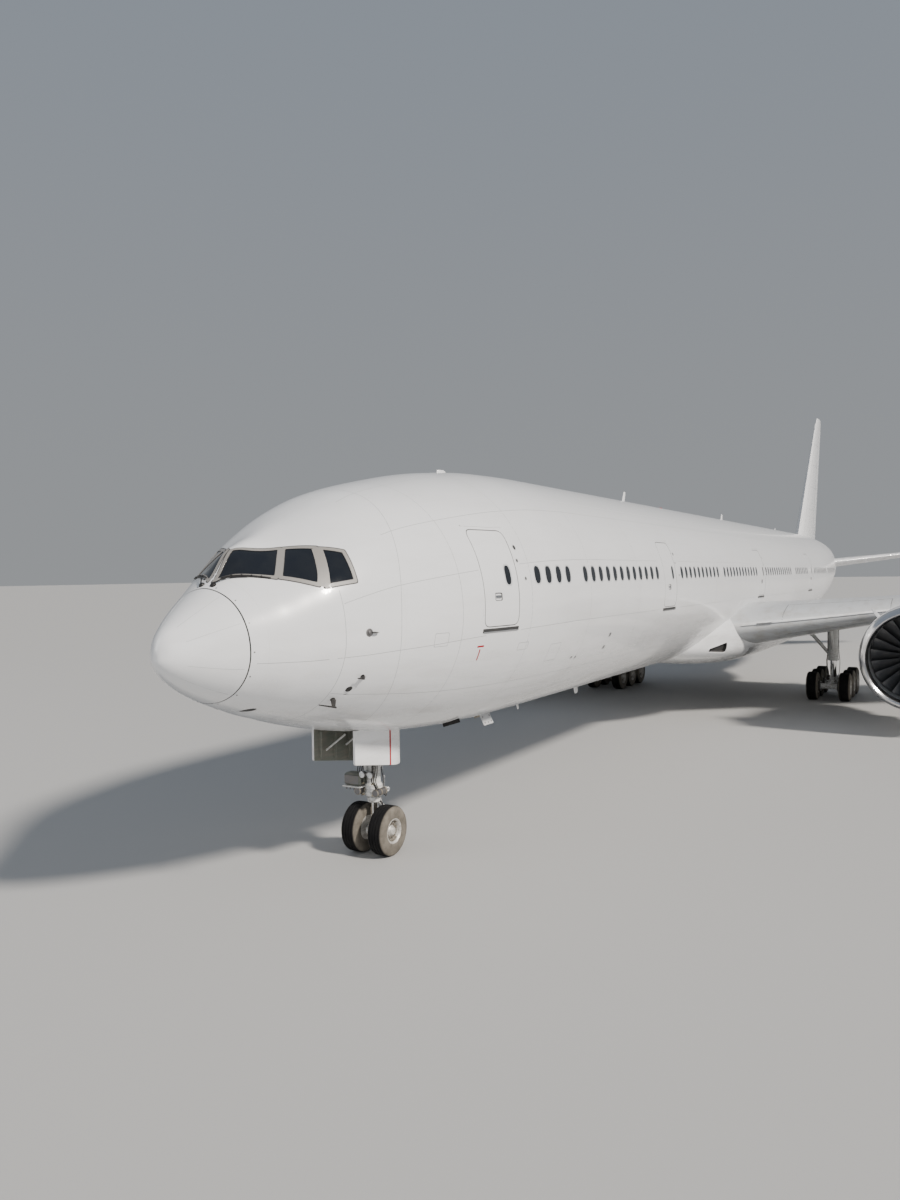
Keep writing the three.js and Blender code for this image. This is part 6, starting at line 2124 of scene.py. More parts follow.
@dataclass
class Engine:
    """One engine in its cowl, on its pylon. Distances run aft from the intake's lip, radii from its axis."""

    palette: Palette
    hand: str
    out: float = 9.61
    aft: float = 26.0
    up: float = 2.87
    sides: int = 96
    blades: int = 22
    vanes: int = 40
    vane_front: float = 2.62
    vane_chord: float = 0.45
    pylon_half: float = 0.24
    fan_front: float = 1.28
    fan_back: float = 1.86
    fan_root: float = 0.44
    fan_tip: float = 1.602
    spinner: float = 0.72
    strake_turn: float = 42.0
    cowl_outside = ((0.0, 1.72), (0.08, 1.81), (0.40, 1.91), (1.20, 1.97), (2.60, 1.97), (4.20, 1.81),
                    (5.30, 1.58))
    cowl_inside = ((5.30, 1.54), (4.00, 1.63), (2.60, 1.645), (1.10, 1.645), (0.40, 1.59), (0.08, 1.65),
                   (0.0, 1.72))
    core_line = ((2.05, 0.02), (2.05, 0.70), (2.60, 0.86), (3.60, 1.10), (4.80, 1.12), (5.80, 0.98),
                 (6.50, 0.78))
    plug_line = ((6.50, 0.60), (6.90, 0.50), (7.45, 0.22), (7.53, 0.10), (7.55, 0.0))
    pylon_side = ((1.35, 1.9), (2.2, 2.08), (3.6, 2.18), (5.2, 2.12), (6.6, 1.85), (8.5, 1.65), (11.2, 1.3),
                  (10.2, 1.0), (8.6, 0.72), (6.4, 0.55), (4.6, 0.9))

    def __post_init__(self) -> None:
        """Finds the engine's place."""
        self.side = SIDES[self.hand]
        self.origin = place(self.side * self.out, self.aft, self.up)

    def turned(self, made: Shape, profile: Sequence[tuple[float, float]], mark: int = 0,
               closed: bool = False,
               sides: int = 0) -> None:
        """Turns a profile of distance and radius about the engine's axis."""
        rows = [(along * SCALE, radius * SCALE) for along, radius in profile]
        made.lathe(rows, self.origin, (0, 1, 0), sides or self.sides, mark, closed)

    @staticmethod
    def smooth(rows: Sequence[tuple[float, float]], steps: int = 6) -> list[tuple[float, float]]:
        """A smooth line through a profile's points."""
        last = len(rows) - 1
        curve = Profile(np.arange(last + 1), np.array(rows, float))
        return [tuple(row) for row in curve(np.linspace(0, last, last * steps + 1))]

    def spoke(self, angle: float, radius: float, along: float, across: float) -> Array:
        """A model point from an angle round the axis, a radius, a distance aft and a shift sideways."""
        c, s = math.cos(angle), math.sin(angle)
        return self.origin + vec(radius * c - across * s, along, radius * s + across * c) * SCALE

    def build(self) -> None:
        """Makes the cowl, core, fan and pylon."""
        self.cowl()
        self.cowl_trim()
        self.core()
        self.guide_vanes()
        self.fan()
        self.nose_cone()
        self.pylon()

    def cowl(self) -> None:
        """Makes the cowl ring with its polished lip and duct liner."""
        made = Shape()
        self.turned(made, self.smooth(self.cowl_outside) + self.smooth(self.cowl_inside)[:-1], closed=True)
        piece = made.build(f"cowl_{self.hand}", self.palette("panel", "lip", "liner", "steel"))
        lip, rear = self.origin[1] + 0.40 * SCALE, self.origin[1] + 5.26 * SCALE

        def rule(centre: Vector, normal: Vector) -> int | None:
            spoke = Vector((centre.x - self.origin[0], 0, centre.z - self.origin[2]))
            inside = normal.dot(spoke) < 0
            if centre.y < lip:
                return 1
            if centre.y > rear and not inside:
                return 3
            return 2 if inside else None

        repaint(piece, rule)
        settle(piece, AIRFRAME, Slot.SKIN, f"engine_cowl_{self.hand}")

    def cowl_trim(self) -> None:
        """Makes the cowl's seams, the thin fin on its inboard shoulder, and the drains below."""
        trim = Shape()
        for along, radius in ((0.41, 1.914), (1.95, 1.972), (3.05, 1.949)):
            seam = ((-0.008, -0.004), (-0.006, 0.0012), (0.006, 0.0012), (0.008, -0.004))
            self.turned(trim, [(along + step, radius + rise) for step, rise in seam], closed=True)
        angle = -self.side * math.radians(self.strake_turn)
        spoke = vec(math.sin(angle), 0.0, math.cos(angle))
        across = np.cross(spoke, [0.0, 1.0, 0.0]) * 0.006
        rows = []
        for along, height in ((0.75, 0.0), (0.9, 0.16), (1.5, 0.42), (2.05, 0.40), (2.1, 0.0)):
            root = self.origin + spoke * (1.955 * SCALE - 0.004) + vec(0, along * SCALE, 0)
            top = root + spoke * (height * SCALE + 0.004)
            rows.append([root - across, top - across * 0.5, top + across * 0.5, root + across])
        trim.grid(np.array(rows), mark=1)
        for shift in (-0.35, 0.35):
            at = self.origin + vec(shift, 2.9, -1.955) * SCALE
            trim.rod(at + vec(0, 0, 0.01), at - vec(0, -0.02, 0.045), 0.008, sides=12, edge=0.001, mark=2)
        settle(trim.build(f"cowl_trim_{self.hand}", self.palette("seal", "panel", "metal")), AIRFRAME,
               Slot.ENGINE)

    def core(self) -> None:
        """Makes the core's cover, the hot nozzle and the plug."""
        made = Shape()
        self.turned(made, self.smooth(self.core_line, 5) + [(6.50, 0.755), (6.2, 0.80), (6.0, 0.02)],
                    mark=0)
        self.turned(made, [(5.9, 0.02), (6.0, 0.60), (6.3, 0.62)] + self.smooth(self.plug_line, 5), mark=1)
        piece = made.build(f"core_{self.hand}", self.palette("metal", "hot", "liner"))
        hot, cool = self.origin[1] + 5.2 * SCALE, self.origin[1] + 2.7 * SCALE
        repaint(piece, lambda centre, normal: 1 if centre.y > hot else (2 if centre.y < cool else None))
        settle(piece, AIRFRAME, Slot.ENGINE, f"engine_core_{self.hand}")

    def guide_vanes(self) -> None:
        """Makes the curved vanes behind the fan."""
        section = ((0.0, 0.0), (0.08, 0.014), (0.25, 0.018), (self.vane_chord, 0.0), (0.25, -0.006),
                   (0.08, -0.004))
        made = Shape()
        for i in range(self.vanes):
            angle = 2 * math.pi * i / self.vanes
            rows = [[self.spoke(angle, radius, self.vane_front + along,
                                thick + 0.10 * (1 - along / self.vane_chord) ** 2)
                     for along, thick in section]
                    for radius in np.linspace(0.80, 1.655, 6)]
            made.grid(np.array(rows))
        settle(made.build(f"outlet_vanes_{self.hand}", self.palette("steel")), AIRFRAME, Slot.ENGINE)

    def blade(self, angle: float) -> Array:
        """The rings of a swept and twisted fan blade that stands at an angle round the axis."""
        section = ((-1.0, 0.0), (-0.92, 0.35), (-0.5, 0.9), (0.0, 1.0), (0.5, 0.75), (1.0, 0.0),
                   (0.5, -0.55),
                   (0.0, -0.75), (-0.5, -0.65), (-0.92, -0.3))
        middle, front, back = (self.fan_front
                               + self.fan_back) / 2, self.fan_front - 0.03, self.fan_back + 0.05
        rows = []
        for t in np.linspace(0.0, 1.0, 14):
            radius = self.fan_root + (self.fan_tip - self.fan_root) * t
            pitch = math.radians(24 + 38 * t)
            c, s = math.cos(pitch), math.sin(pitch)
            width = 0.25 + 0.05 * math.sin(math.pi * t * 0.9)
            sweep = 0.07 * math.sin(math.pi * t) - 0.09 * max(t - 0.7, 0) ** 1.5 * 3
            lean = 0.05 * math.sin(math.pi * t)
            ring = []
            for u, w in section:
                thick = (0.022 - 0.014 * t) * w + 0.035 * (1 - u * u) * (0.6 + 0.4 * t)
                along = middle + sweep + width * u * c - thick * s
                across = lean + width * u * s + thick * c
                ring.append(self.spoke(angle + across / radius, radius, min(max(along, front), back), 0.0))
            rows.append(ring)
        return np.array(rows)

    def fan(self) -> None:
        """Makes the fan blades."""
        made = Shape()
        for i in range(self.blades):
            made.grid(self.blade(2 * math.pi * i / self.blades), mark=0)
        node = f"engine_fan_{self.hand}"
        settle(made.build(f"fan_blades_{self.hand}", self.palette("blade")), node, Slot.FAN, node)

    def nose_cone(self) -> None:
        """Makes the fan's hub and spinner, with the pale curl."""
        start, back = self.spinner, self.fan_back
        nose = self.smooth([(start, 0.0), (start + 0.05, 0.10), (start + 0.22, 0.26), (1.10, 0.37),
                            (self.fan_front, 0.46), (1.55, 0.52), (back, 0.57)], 5)
        made = Shape()
        self.turned(made, nose + [(back + 0.02, 0.54), (back + 0.02, 0.02)], sides=64)
        line = Profile([row[0] for row in nose], [[row[1]] for row in nose])
        rows = []
        for t in np.linspace(0.0, 1.0, 40):
            along = start + 0.10 + 0.34 * t
            radius, angle = float(line(along)[0]) + 0.002, 5.4 * t
            half = (0.012 + 0.055 * math.sin(math.pi * min(t * 1.05, 1.0))) / 2
            edges = [self.spoke(angle, radius, along, -half), self.spoke(angle, radius, along, half)]
            sunk = [self.origin + (point - self.origin) * vec(0.985, 1.0, 0.985) for point in edges[::-1]]
            rows.append(edges + sunk)
        made.grid(np.array(rows), mark=1)
        piece = made.build(f"fan_spinner_{self.hand}", self.palette("steel", "panel"))
        settle(piece, f"engine_fan_{self.hand}", Slot.FAN)

    def pylon(self) -> None:
        """Makes the pylon with rounded edges."""
        outline = rounded(self.pylon_side, 0.5, 5)
        made = Shape()
        rows = []
        for share, shrink in ((-1.0, 0.90), (-0.93, 0.95), (-0.6, 0.99), (-0.2, 1.0), (0.2, 1.0),
                              (0.6, 0.99),
                              (0.93, 0.95), (1.0, 0.90)):
            along = 6.2 + (outline[:, 0] - 6.2) * shrink
            rise = 1.7 + (outline[:, 1] - 1.7) * (1 - (1 - shrink) * 0.3)
            rows.append(place(self.side * (self.out + share * self.pylon_half), self.aft + along,
                              self.up + rise))
        made.grid(np.array(rows))
        piece = made.build(f"pylon_{self.hand}", self.palette("panel"))
        settle(piece, AIRFRAME, Slot.SKIN, f"engine_pylon_{self.hand}")


@dataclass(frozen=True)
class WheelPair:
    """Two wheels on one axle, each a tyre with grooves on a bolted hub. Sizes are full-size metres."""

    wheel_out: float
    radius: float
    width: float
    rim: float
    bolts: int
    grooves: int = 4
    sides: int = 72

    def tyre_profile(self) -> list[tuple[float, float]]:
        """The tyre's section: place along the axle from its middle, and radius."""
        half, radius, rim = self.width / 2, self.radius, self.rim
        wall = [(0.80, rim * 1.10 / radius), (0.90, rim * 1.16 / radius), (0.97, 0.60), (1.0, 0.70),
                (0.985, 0.80),
                (0.93, 0.885), (0.84, 0.945), (0.74, 0.98)]
        curve = Profile(np.arange(len(wall)), wall)(np.linspace(0, len(wall) - 1, 22))
        tread = [(0.66, 0.991)]
        for i in range(self.grooves):
            middle = 0.54 - i * 1.08 / (self.grooves - 1)
            level = 1.0 - 0.012 * abs(middle) ** 2
            tread += [(middle + 0.045, level), (middle + 0.035, level - 0.02),
                      (middle - 0.035, level - 0.02), (middle - 0.045, level)]
        tread.append((-0.66, 0.991))
        points = [tuple(row) for row in curve] + tread + [(-x, r) for x, r in curve[::-1]]
        return [(x * half, r * radius) for x, r in points] + [(-0.55 * half, rim * 0.98),
                                                              (0.55 * half, rim * 0.98)]

    def tyre(self, made: Shape, centre: Array, side: int, mark: int) -> None:
        """Adds one tyre."""
        profile = [(x * SCALE, r * SCALE) for x, r in self.tyre_profile()]
        made.lathe(profile, centre, (side, 0, 0), self.sides, mark, closed=True)

    def hub(self, made: Shape, centre: Array, side: int, mark: int, dark: int, metal: int) -> None:
        """Adds one wheel: a dished disc with dark discs for its openings as painted shade, a ring of bolts,
        and a cap.
        """
        half, rim = self.width / 2, self.rim
        face = [(-0.82 * half, 0.10), (-0.86 * half, rim * 1.12), (-0.80 * half, rim * 1.14),
                (-0.70 * half, rim * 0.97), (0.66 * half, rim * 0.97),
                (0.82 * half, rim * 1.17), (0.90 * half, rim * 1.18), (0.93 * half, rim * 1.13),
                (0.88 * half, rim * 1.06), (0.72 * half, rim * 0.96),
                (0.52 * half, rim * 0.90), (0.46 * half, rim * 0.80), (0.50 * half, rim * 0.52),
                (0.60 * half, rim * 0.42),
                (0.72 * half, rim * 0.38), (0.80 * half, rim * 0.33), (0.83 * half, rim * 0.26),
                (0.84 * half, 0.0)]
        made.lathe([(x * SCALE, r * SCALE) for x, r in face], centre, (side, 0, 0), self.sides, mark)
        for i in range(self.bolts):
            angle = 2 * math.pi * i / self.bolts
            spoke = vec(0.0, math.cos(angle), math.sin(angle))
            bolt = centre + spoke * rim * 0.78 * SCALE + vec(side, 0, 0) * 0.44 * half * SCALE
            made.rod(bolt, bolt + vec(side * 0.012, 0, 0), 0.0062, sides=6, edge=0.001, mark=metal)
            # Each opening is a dark disc in the brake's finish, not a cut: painted shade
            turn = angle + math.pi / self.bolts
            spoke = vec(0.0, math.cos(turn), math.sin(turn))
            hole = centre + spoke * rim * 0.63 * SCALE + vec(side, 0, 0) * 0.455 * half * SCALE
            made.rod(hole, hole + vec(side * 0.0065, 0, 0), 0.0105, sides=14, mark=dark)

    def build(self, name: str, centre: Array, palette: Palette, body: str, *nodes: str) -> None:
        """Makes the pair.

        Args:
            name: Beginning of the pieces' names.
            centre: Middle of the axle, in model metres.
            palette: The finishes.
            body: The body that they turn with.
            nodes: The nodes that the tyres stand for.
        """
        tyres, hubs = Shape(), Shape()
        for side in (1, -1):
            middle = centre + vec(side * self.wheel_out * SCALE, 0.0, 0.0)
            self.tyre(tyres, middle, side, 0)
            self.hub(hubs, middle, side, 0, 1, 2)
        hubs.rod(centre - vec((self.wheel_out - self.width * 0.4) * SCALE, 0, 0),
                 centre + vec((self.wheel_out - self.width * 0.4) * SCALE, 0, 0), 0.066 * SCALE, sides=32,
                 mark=2)
        rubber = tyres.build(f"{name}_tyres", palette("tyre", "tread"), 40)

        def reach(at: Vector) -> tuple[float, float]:
            """Distance of a place from the axle, and from the wheel's middle along it, both full-size."""
            away = abs(at.x - centre[0]) / SCALE - self.wheel_out
            return math.hypot(at.y - centre[1], at.z - centre[2]) / SCALE, away

        def tread(at: Vector, normal: Vector) -> int | None:
            high, away = reach(at)
            return 1 if abs(away) < 0.335 * self.width and high > 0.9 * self.radius else None

        repaint(rubber, tread)
        settle(rubber, body, Slot.TYRE, *nodes)
        made = hubs.build(f"{name}_hubs", palette("hub", "brake", "metal", "grime"))

        # The recessed dish between hub and rim is made darker: part grime, part painted shade
        def grime(at: Vector, normal: Vector) -> int | None:
            high, away = reach(at)
            dished = 0.2 * self.width < away < 0.235 * self.width + 0.03
            return 3 if dished and 0.50 < high / self.rim < 0.93 and abs(normal.x) > 0.2 else None

        repaint(made, grime, 0)
        settle(made, body, Slot.GEAR)


def turned_column(made: Shape, foot: Array, rows: Sequence[tuple[float, float]], mark: int = 0,
                  sides: int = 40) -> None:
    """Adds an upright column from heights above a foot and radii, in full-size metres."""
    made.lathe([(height * SCALE, radius * SCALE) for height, radius in rows], foot, (0, 0, 1), sides, mark)


@dataclass
class NoseGear:
    """The nose leg in its bay, the steered piston with its wheels, and the two doors."""

    palette: Palette
    aft: float = 6.08
    wheels: WheelPair = WheelPair(0.35, 0.546, 0.40, 0.235, 10)
    leg_radius: float = 0.155
    collar_radius: float = 0.20
    collar_foot: float = 1.28
    piston_radius: float = 0.085
    # The side doors: aft, distance out, height of the foot above the ground
    door_rows = ((4.65, 0.555, 2.25), (5.25, 0.555, 2.145), (5.85, 0.555, 2.04), (6.20, 0.525, 1.98),
                 (6.45, 0.455, 1.96))
    door_top: float = 2.95
    door_thickness: float = 0.05
    line_aft: float = 5.93
    # Parts of a steering cylinder along its axis: start, end, radius, sides, edge and finish, in model metres
    cylinder_parts = ((-0.16, 0.03, 0.0375, 24, 0.004, 2), (-0.156, -0.144, 0.0405, 24, 0.001, 3),
                      (-0.076, -0.064, 0.0405, 24, 0.001, 3), (0.014, 0.026, 0.0405, 24, 0.001, 3),
                      (0.03, 0.09, 0.0175, 18, 0.0, 1))
    # The hose loop under the collar, and the hose down the piston: out, behind and up
    loop = ((0.16, 0.10, 1.42), (0.22, 0.16, 1.33), (0.19, 0.19, 1.25), (0.10, 0.165, 1.32))
    brake_hose = ((0.115, 0.07, 1.18), (0.118, 0.17, 1.04), (0.110, 0.15, 0.86), (0.095, 0.09, 0.71))

    def at(self, out: float, behind: float, up: float) -> Array:
        """A model point from a distance behind the leg and a height above the ground."""
        return place(out, self.aft + behind, up)

    def bar(self, made: Shape, start: Sequence[float], end: Sequence[float], radius: float, sides: int,
            edge: float) -> None:
        """Adds a round bar between two full-size places of the form out, behind, up."""
        made.rod(self.at(*start), self.at(*end), radius * SCALE, sides=sides, edge=edge)

    def box(self, made: Shape, centre: Sequence[float], below: Sequence[float], above: Sequence[float],
            edge: float, mark: int = 0) -> None:
        """Adds a box round a full-size place, by its reach to both sides in model metres."""
        middle = self.at(*centre)
        made.block(middle - vec(*below), middle + vec(*above), edge, mark=mark)

    def pipe(self, made: Shape, side: int, path: Points, radius: float, sides: int = 8,
             mark: int = 1) -> None:
        """Adds a pipe on one side through full-size places of the form out, behind, up."""
        made.tube([self.at(side * out, behind, up) for out, behind, up in path], radius, sides, mark=mark)

    def build(self) -> None:
        """Makes the leg, piston, wheels and doors."""
        self.leg()
        self.lamps()
        self.pipes()
        self.piston()
        self.wheels.build("nose_wheel", self.at(0, 0, self.wheels.radius), self.palette, "nose_wheels",
                          "nose_wheels")
        rows = np.array(self.door_rows)
        for hand, side in SIDES.items():
            self.door(hand, side, Profile(rows[:, 0], rows[:, 1:]), rows[0, 0], rows[-1, 0])

    def leg(self) -> None:
        """Makes the fixed leg with its braces, lugs and steering cylinders."""
        made = Shape()
        r, c = self.leg_radius, self.collar_radius
        rows = [(0.0, self.piston_radius + 0.012), (0.0, c - 0.02), (0.02, c), (0.10, c), (0.11, c - 0.015),
                (0.16, c - 0.015), (0.17, c), (0.25, c), (0.27, c - 0.02), (0.30, r), (0.62, r),
                (0.63, r + 0.02),
                (0.69, r + 0.02), (0.70, r), (1.20, r), (1.21, r + 0.015), (1.26, r + 0.015), (1.27, r),
                (1.95, r),
                (1.97, r + 0.02), (2.05, r + 0.02), (2.25, r - 0.02), (2.268, 0.05)]
        turned_column(made, self.at(0, 0, self.collar_foot), rows, 0, 48)
        self.bar(made, (-0.47, 0, 3.28), (0.47, 0, 3.28), 0.11, 32, 0.004)
        for side in (1, -1):
            self.bar(made, (side * 0.34, 0, 3.28), (side * 0.40, 0, 3.28), 0.135, 32, 0.003)
            self.bar(made, (side * 0.09, 0, 2.15), (side * 0.34, 0, 3.2), 0.045, 16, 0.002)
        made.rod(self.at(0, -0.10, 1.97), self.at(0, -0.42, 2.73), 0.055 * SCALE, 0.065 * SCALE, sides=20,
                 edge=0.003)
        self.bar(made, (0, -0.42, 2.73), (0, -0.78, 3.4), 0.07, 20, 0.003)
        self.bar(made, (-0.10, -0.42, 2.73), (0.10, -0.42, 2.73), 0.085, 24, 0.003)
        for side in (1, -1):
            self.box(made, (side * 0.075, -0.13, 1.97), (0.012, 0.05, 0.055), (0.012, 0.045, 0.055), 0.006)
            barrel = self.at(side * 0.235, 0.02, 1.40)
            for start, end, radius, sides, edge, mark in self.cylinder_parts:
                made.rod(barrel + vec(0, start, 0), barrel + vec(0, end, 0), radius, sides=sides, edge=edge,
                         mark=mark)
            made.rod(barrel + vec(side * -0.06, 0.085, 0), barrel + vec(side * 0.012, 0.085, 0), 0.025,
                     sides=18,
                     edge=0.002)
            made.block(barrel + vec(side * -0.07, -0.07, -0.02), barrel + vec(side * -0.01, -0.03, 0.02),
                       0.004)
        self.box(made, (0, -0.225, 1.78), (0.085, 0.012, 0.014), (0.085, 0.028, 0.014), 0.004)
        finishes = self.palette("gear", "chrome", "steel", "brass")
        settle(made.build("nose_leg", finishes), AIRFRAME, Slot.GEAR, "nose_gear_leg")

    def lamps(self) -> None:
        """Makes the taxi lamps on the leg's front, the junction box behind it and the box beside it."""
        made = Shape()
        shell = [(0.0, 0.02), (0.0, 0.05), (0.03, 0.068), (0.10, 0.075), (0.115, 0.078), (0.12, 0.072)]
        lens = [(0.052, 0.002), (0.054, 0.034), (0.0605, 0.034), (0.0625, 0.03), (0.064, 0.0)]
        for side in (1, -1):
            eye = self.at(side * 0.105, -0.27, 1.78) + vec(0, 0.045, 0)
            made.lathe([(along * SCALE, radius * SCALE) for along, radius in shell], eye, (0, -1, 0), 36, 0)
            made.lathe(lens, eye, (0, -1, 0), 36, 1)
        junction, case = (0.0, 0.19, 2.05), (-0.33, -0.16, 1.63)
        self.box(made, junction, (0.045, 0.015, 0.07), (0.045, 0.03, 0.07), 0.004, 2)
        for step in (-0.032, 0.0, 0.032):
            plug = self.at(*junction) + vec(step, 0.02, -0.07)
            made.rod(plug, plug - vec(0, 0, 0.025), 0.007, sides=12)
        # The case takes the bay primer, darkened as painted shade
        self.box(made, case, (0.13, 0.075, 0.060), (0.09, 0.075, 0.075), 0.018, 3)
        self.box(made, case, (0.11, 0.082, 0.042), (0.07, -0.06, 0.058), 0.006)
        self.box(made, case, (0.14, 0.085, 0.078), (0.10, 0.06, -0.060), 0.006, 2)
        for step in (-0.10, -0.05, 0.0, 0.05):
            plug = self.at(*case) + vec(step, -0.06, -0.075)
            made.rod(plug, plug - vec(0, 0, 0.03), 0.009, sides=14, edge=0.001)
        finishes = self.palette("steel", "clear_lens", "gear", "bay")
        settle(made.build("nose_leg_lamps", finishes), AIRFRAME, Slot.GEAR)

    def pipes(self) -> None:
        """Makes the hydraulic pipes and hoses down the leg, with their nuts and clamps."""
        made = Shape()
        for side, spread in ((1, 0.0), (-1, 0.0), (1, 0.035), (-1, 0.035)):
            out = 0.10 + spread
            path = ((out, 0.14, 3.35), (out, 0.155, 2.9), (out * 0.9, 0.15, 2.3), (out, 0.15, 1.9),
                    (0.19 + spread, 0.10, 1.62), (0.225, 0.06, 1.45))
            self.pipe(made, side, path, 0.0055 - spread * 0.04, mark=0 if spread else 1)
        for side in (1, -1):
            path = ((0.11, -0.12, 2.9), (0.14, -0.15, 2.4), (0.10, -0.19, 2.1), (0.12, -0.22, 1.86))
            self.pipe(made, side, path, 0.0045)
        for side in (1, -1):
            for step, size in ((0.0, 0.0075), (0.055, 0.006), (0.11, 0.0055)):
                path = ((0.10 + step, -0.16, 2.12 + step), (0.15 + step, -0.235, 1.86),
                        (0.12 + step, -0.25, 1.66),
                        (0.19 + step * 0.6, -0.20, 1.48), (0.16 + step * 0.3, -0.215, 1.30 + step * 0.4))
                self.pipe(made, side, path, size, 10)
            for behind, up in ((-0.215, 1.33), (-0.225, 1.58), (-0.225, 1.72)):
                nut = self.at(side * 0.13, behind, up)
                made.rod(nut - vec(0.016, 0, 0.004), nut + vec(0.016, 0, 0.004), 0.011, sides=6, edge=0.001,
                         mark=2)
            self.pipe(made, side, self.loop, 0.006)
        clamp = [(0.0, 0.083), (0.002, 0.086), (0.014, 0.086), (0.016, 0.083)]
        for up in (1.98, 2.35, 2.8):
            made.lathe(clamp, self.at(0, 0, up), (0, 0, 1), 36, mark=0, closed=True)
        settle(made.build("nose_leg_pipes", self.palette("metal", "hose", "brass")), AIRFRAME, Slot.GEAR)

    def piston(self) -> None:
        """Makes the chrome piston, the axle, the torque links and the towing lug, which steer together."""
        made = Shape()
        axle, p = self.wheels.radius, self.piston_radius
        foot = self.at(0, 0, axle)
        hub = [(-0.060, 0.045), (-0.058, 0.052), (-0.035, 0.064), (0.035, 0.064), (0.058, 0.052),
               (0.060, 0.045)]
        turned_column(made, foot, [(0.0, 0.05), (0.02, 0.10), (0.16, 0.115), (0.20, p + 0.012), (0.24, p)],
                      0)
        turned_column(made, foot, [(0.235, p - 0.004), (0.24, p - 0.001), (1.07, p - 0.001), (1.074, 0.02)],
                      1)
        made.lathe(hub, foot, (1, 0, 0), 40, 0)
        apex, low, high = self.at(0, 0.31, 0.99), self.at(0, 0.085, 0.70), self.at(0, 0.10, 1.20)
        for side in (1, -1):
            for end in (low, high):
                made.rod(end + vec(side * 0.044, 0, 0), apex + vec(side * 0.009, 0, 0), 0.013, 0.01,
                         sides=12, edge=0.002)
        for end, half in ((low, 0.055), (high, 0.055), (apex, 0.03)):
            made.rod(end - vec(half, 0, 0), end + vec(half, 0, 0), 0.017, sides=20, edge=0.002, mark=2)
        for side in (1, -1):
            self.pipe(made, side, self.brake_hose, 0.005, mark=3)
        collar = [(0.0, p), (0.0, 0.13), (0.02, 0.145), (0.10, 0.145), (0.12, 0.13), (0.12, p)]
        turned_column(made, self.at(0, 0, 1.14), collar, 0)
        lug = self.at(0, -0.14, axle)
        made.block(lug - vec(0.03, 0.055, 0.03), lug + vec(0.03, 0.055, 0.03), 0.006, mark=0)
        made.rod(lug + vec(-0.045, -0.03, 0), lug + vec(0.045, -0.03, 0), 0.014, sides=20, edge=0.002,
                 mark=2)
        finishes = self.palette("gear", "chrome", "metal", "hose")
        settle(made.build("nose_piston", finishes), "nose_gear_piston", Slot.PISTON, "nose_gear_piston")

    def door(self, hand: str, side: int, line: Profile, first: float, last: float) -> None:
        """Makes a side door with its ribs, links, and a thin red upright line outside.

        Args:
            hand: The ending of the piece's name.
            side: 1 for port, -1 for starboard.
            line: Distance out and height of the foot along the door.
            first: Where the door begins.
            last: Where it ends.
        """
        corner, edge = 0.035, 0.008
        ease = corner * np.linspace(0, 1, 6) ** 2
        afts = np.concatenate([first + ease, np.linspace(first + 0.08, last - 0.08, 30), last - ease[::-1]])
        made, rings = Shape(), []
        for i, aft in enumerate(afts):
            out, foot = line(aft)
            near = corner - min(aft - first, last - aft, corner)
            foot += corner - math.sqrt(corner**2 - near**2)
            slim = edge if i in (0, len(afts) - 1) else 0.0
            inner, outer = out - self.door_thickness + slim, out - slim
            section = [(outer, self.door_top), (outer, foot + edge), (outer - edge, foot),
                       (inner + edge, foot),
                       (inner, foot + edge), (inner, self.door_top)]
            rings.append([place(side * x, aft, z) for x, z in section])
        made.grid(np.array(rings), mark=0)
        for aft in (4.85, 5.35, 5.85):
            out, foot = line(aft)
            low = place(side * (out - 0.12), aft - 0.03, foot + 0.06)
            made.block(low, place(side * (out - 0.045), aft + 0.03, self.door_top - 0.1), 0.003, mark=1)
        for aft in (5.0, 5.7):
            link = place(side * 0.46, aft, 2.42), place(side * 0.13, aft + 0.25, 2.75)
            made.rod(*link, 0.022 * SCALE, sides=12, edge=0.001, mark=3)
        out, foot = line(self.line_aft)
        low = place(side * (out - 0.02), self.line_aft - 0.03, foot + 0.002)
        made.block(low, place(side * (out + 0.0016), self.line_aft + 0.03, self.door_top), 0.0002, mark=2)
        piece = made.build(f"nose_door_{hand}", self.palette("panel", "bay", "mark", "gear"))
        # The inner face and ribs take the bay primer, darkened as painted shade
        repaint(piece, lambda centre, normal: 1 if normal.x * side < -0.5 and 0.2 < abs(centre.x) < 0.27
                else None)
        settle(piece, AIRFRAME, Slot.SKIN, f"nose_gear_door_{hand}")


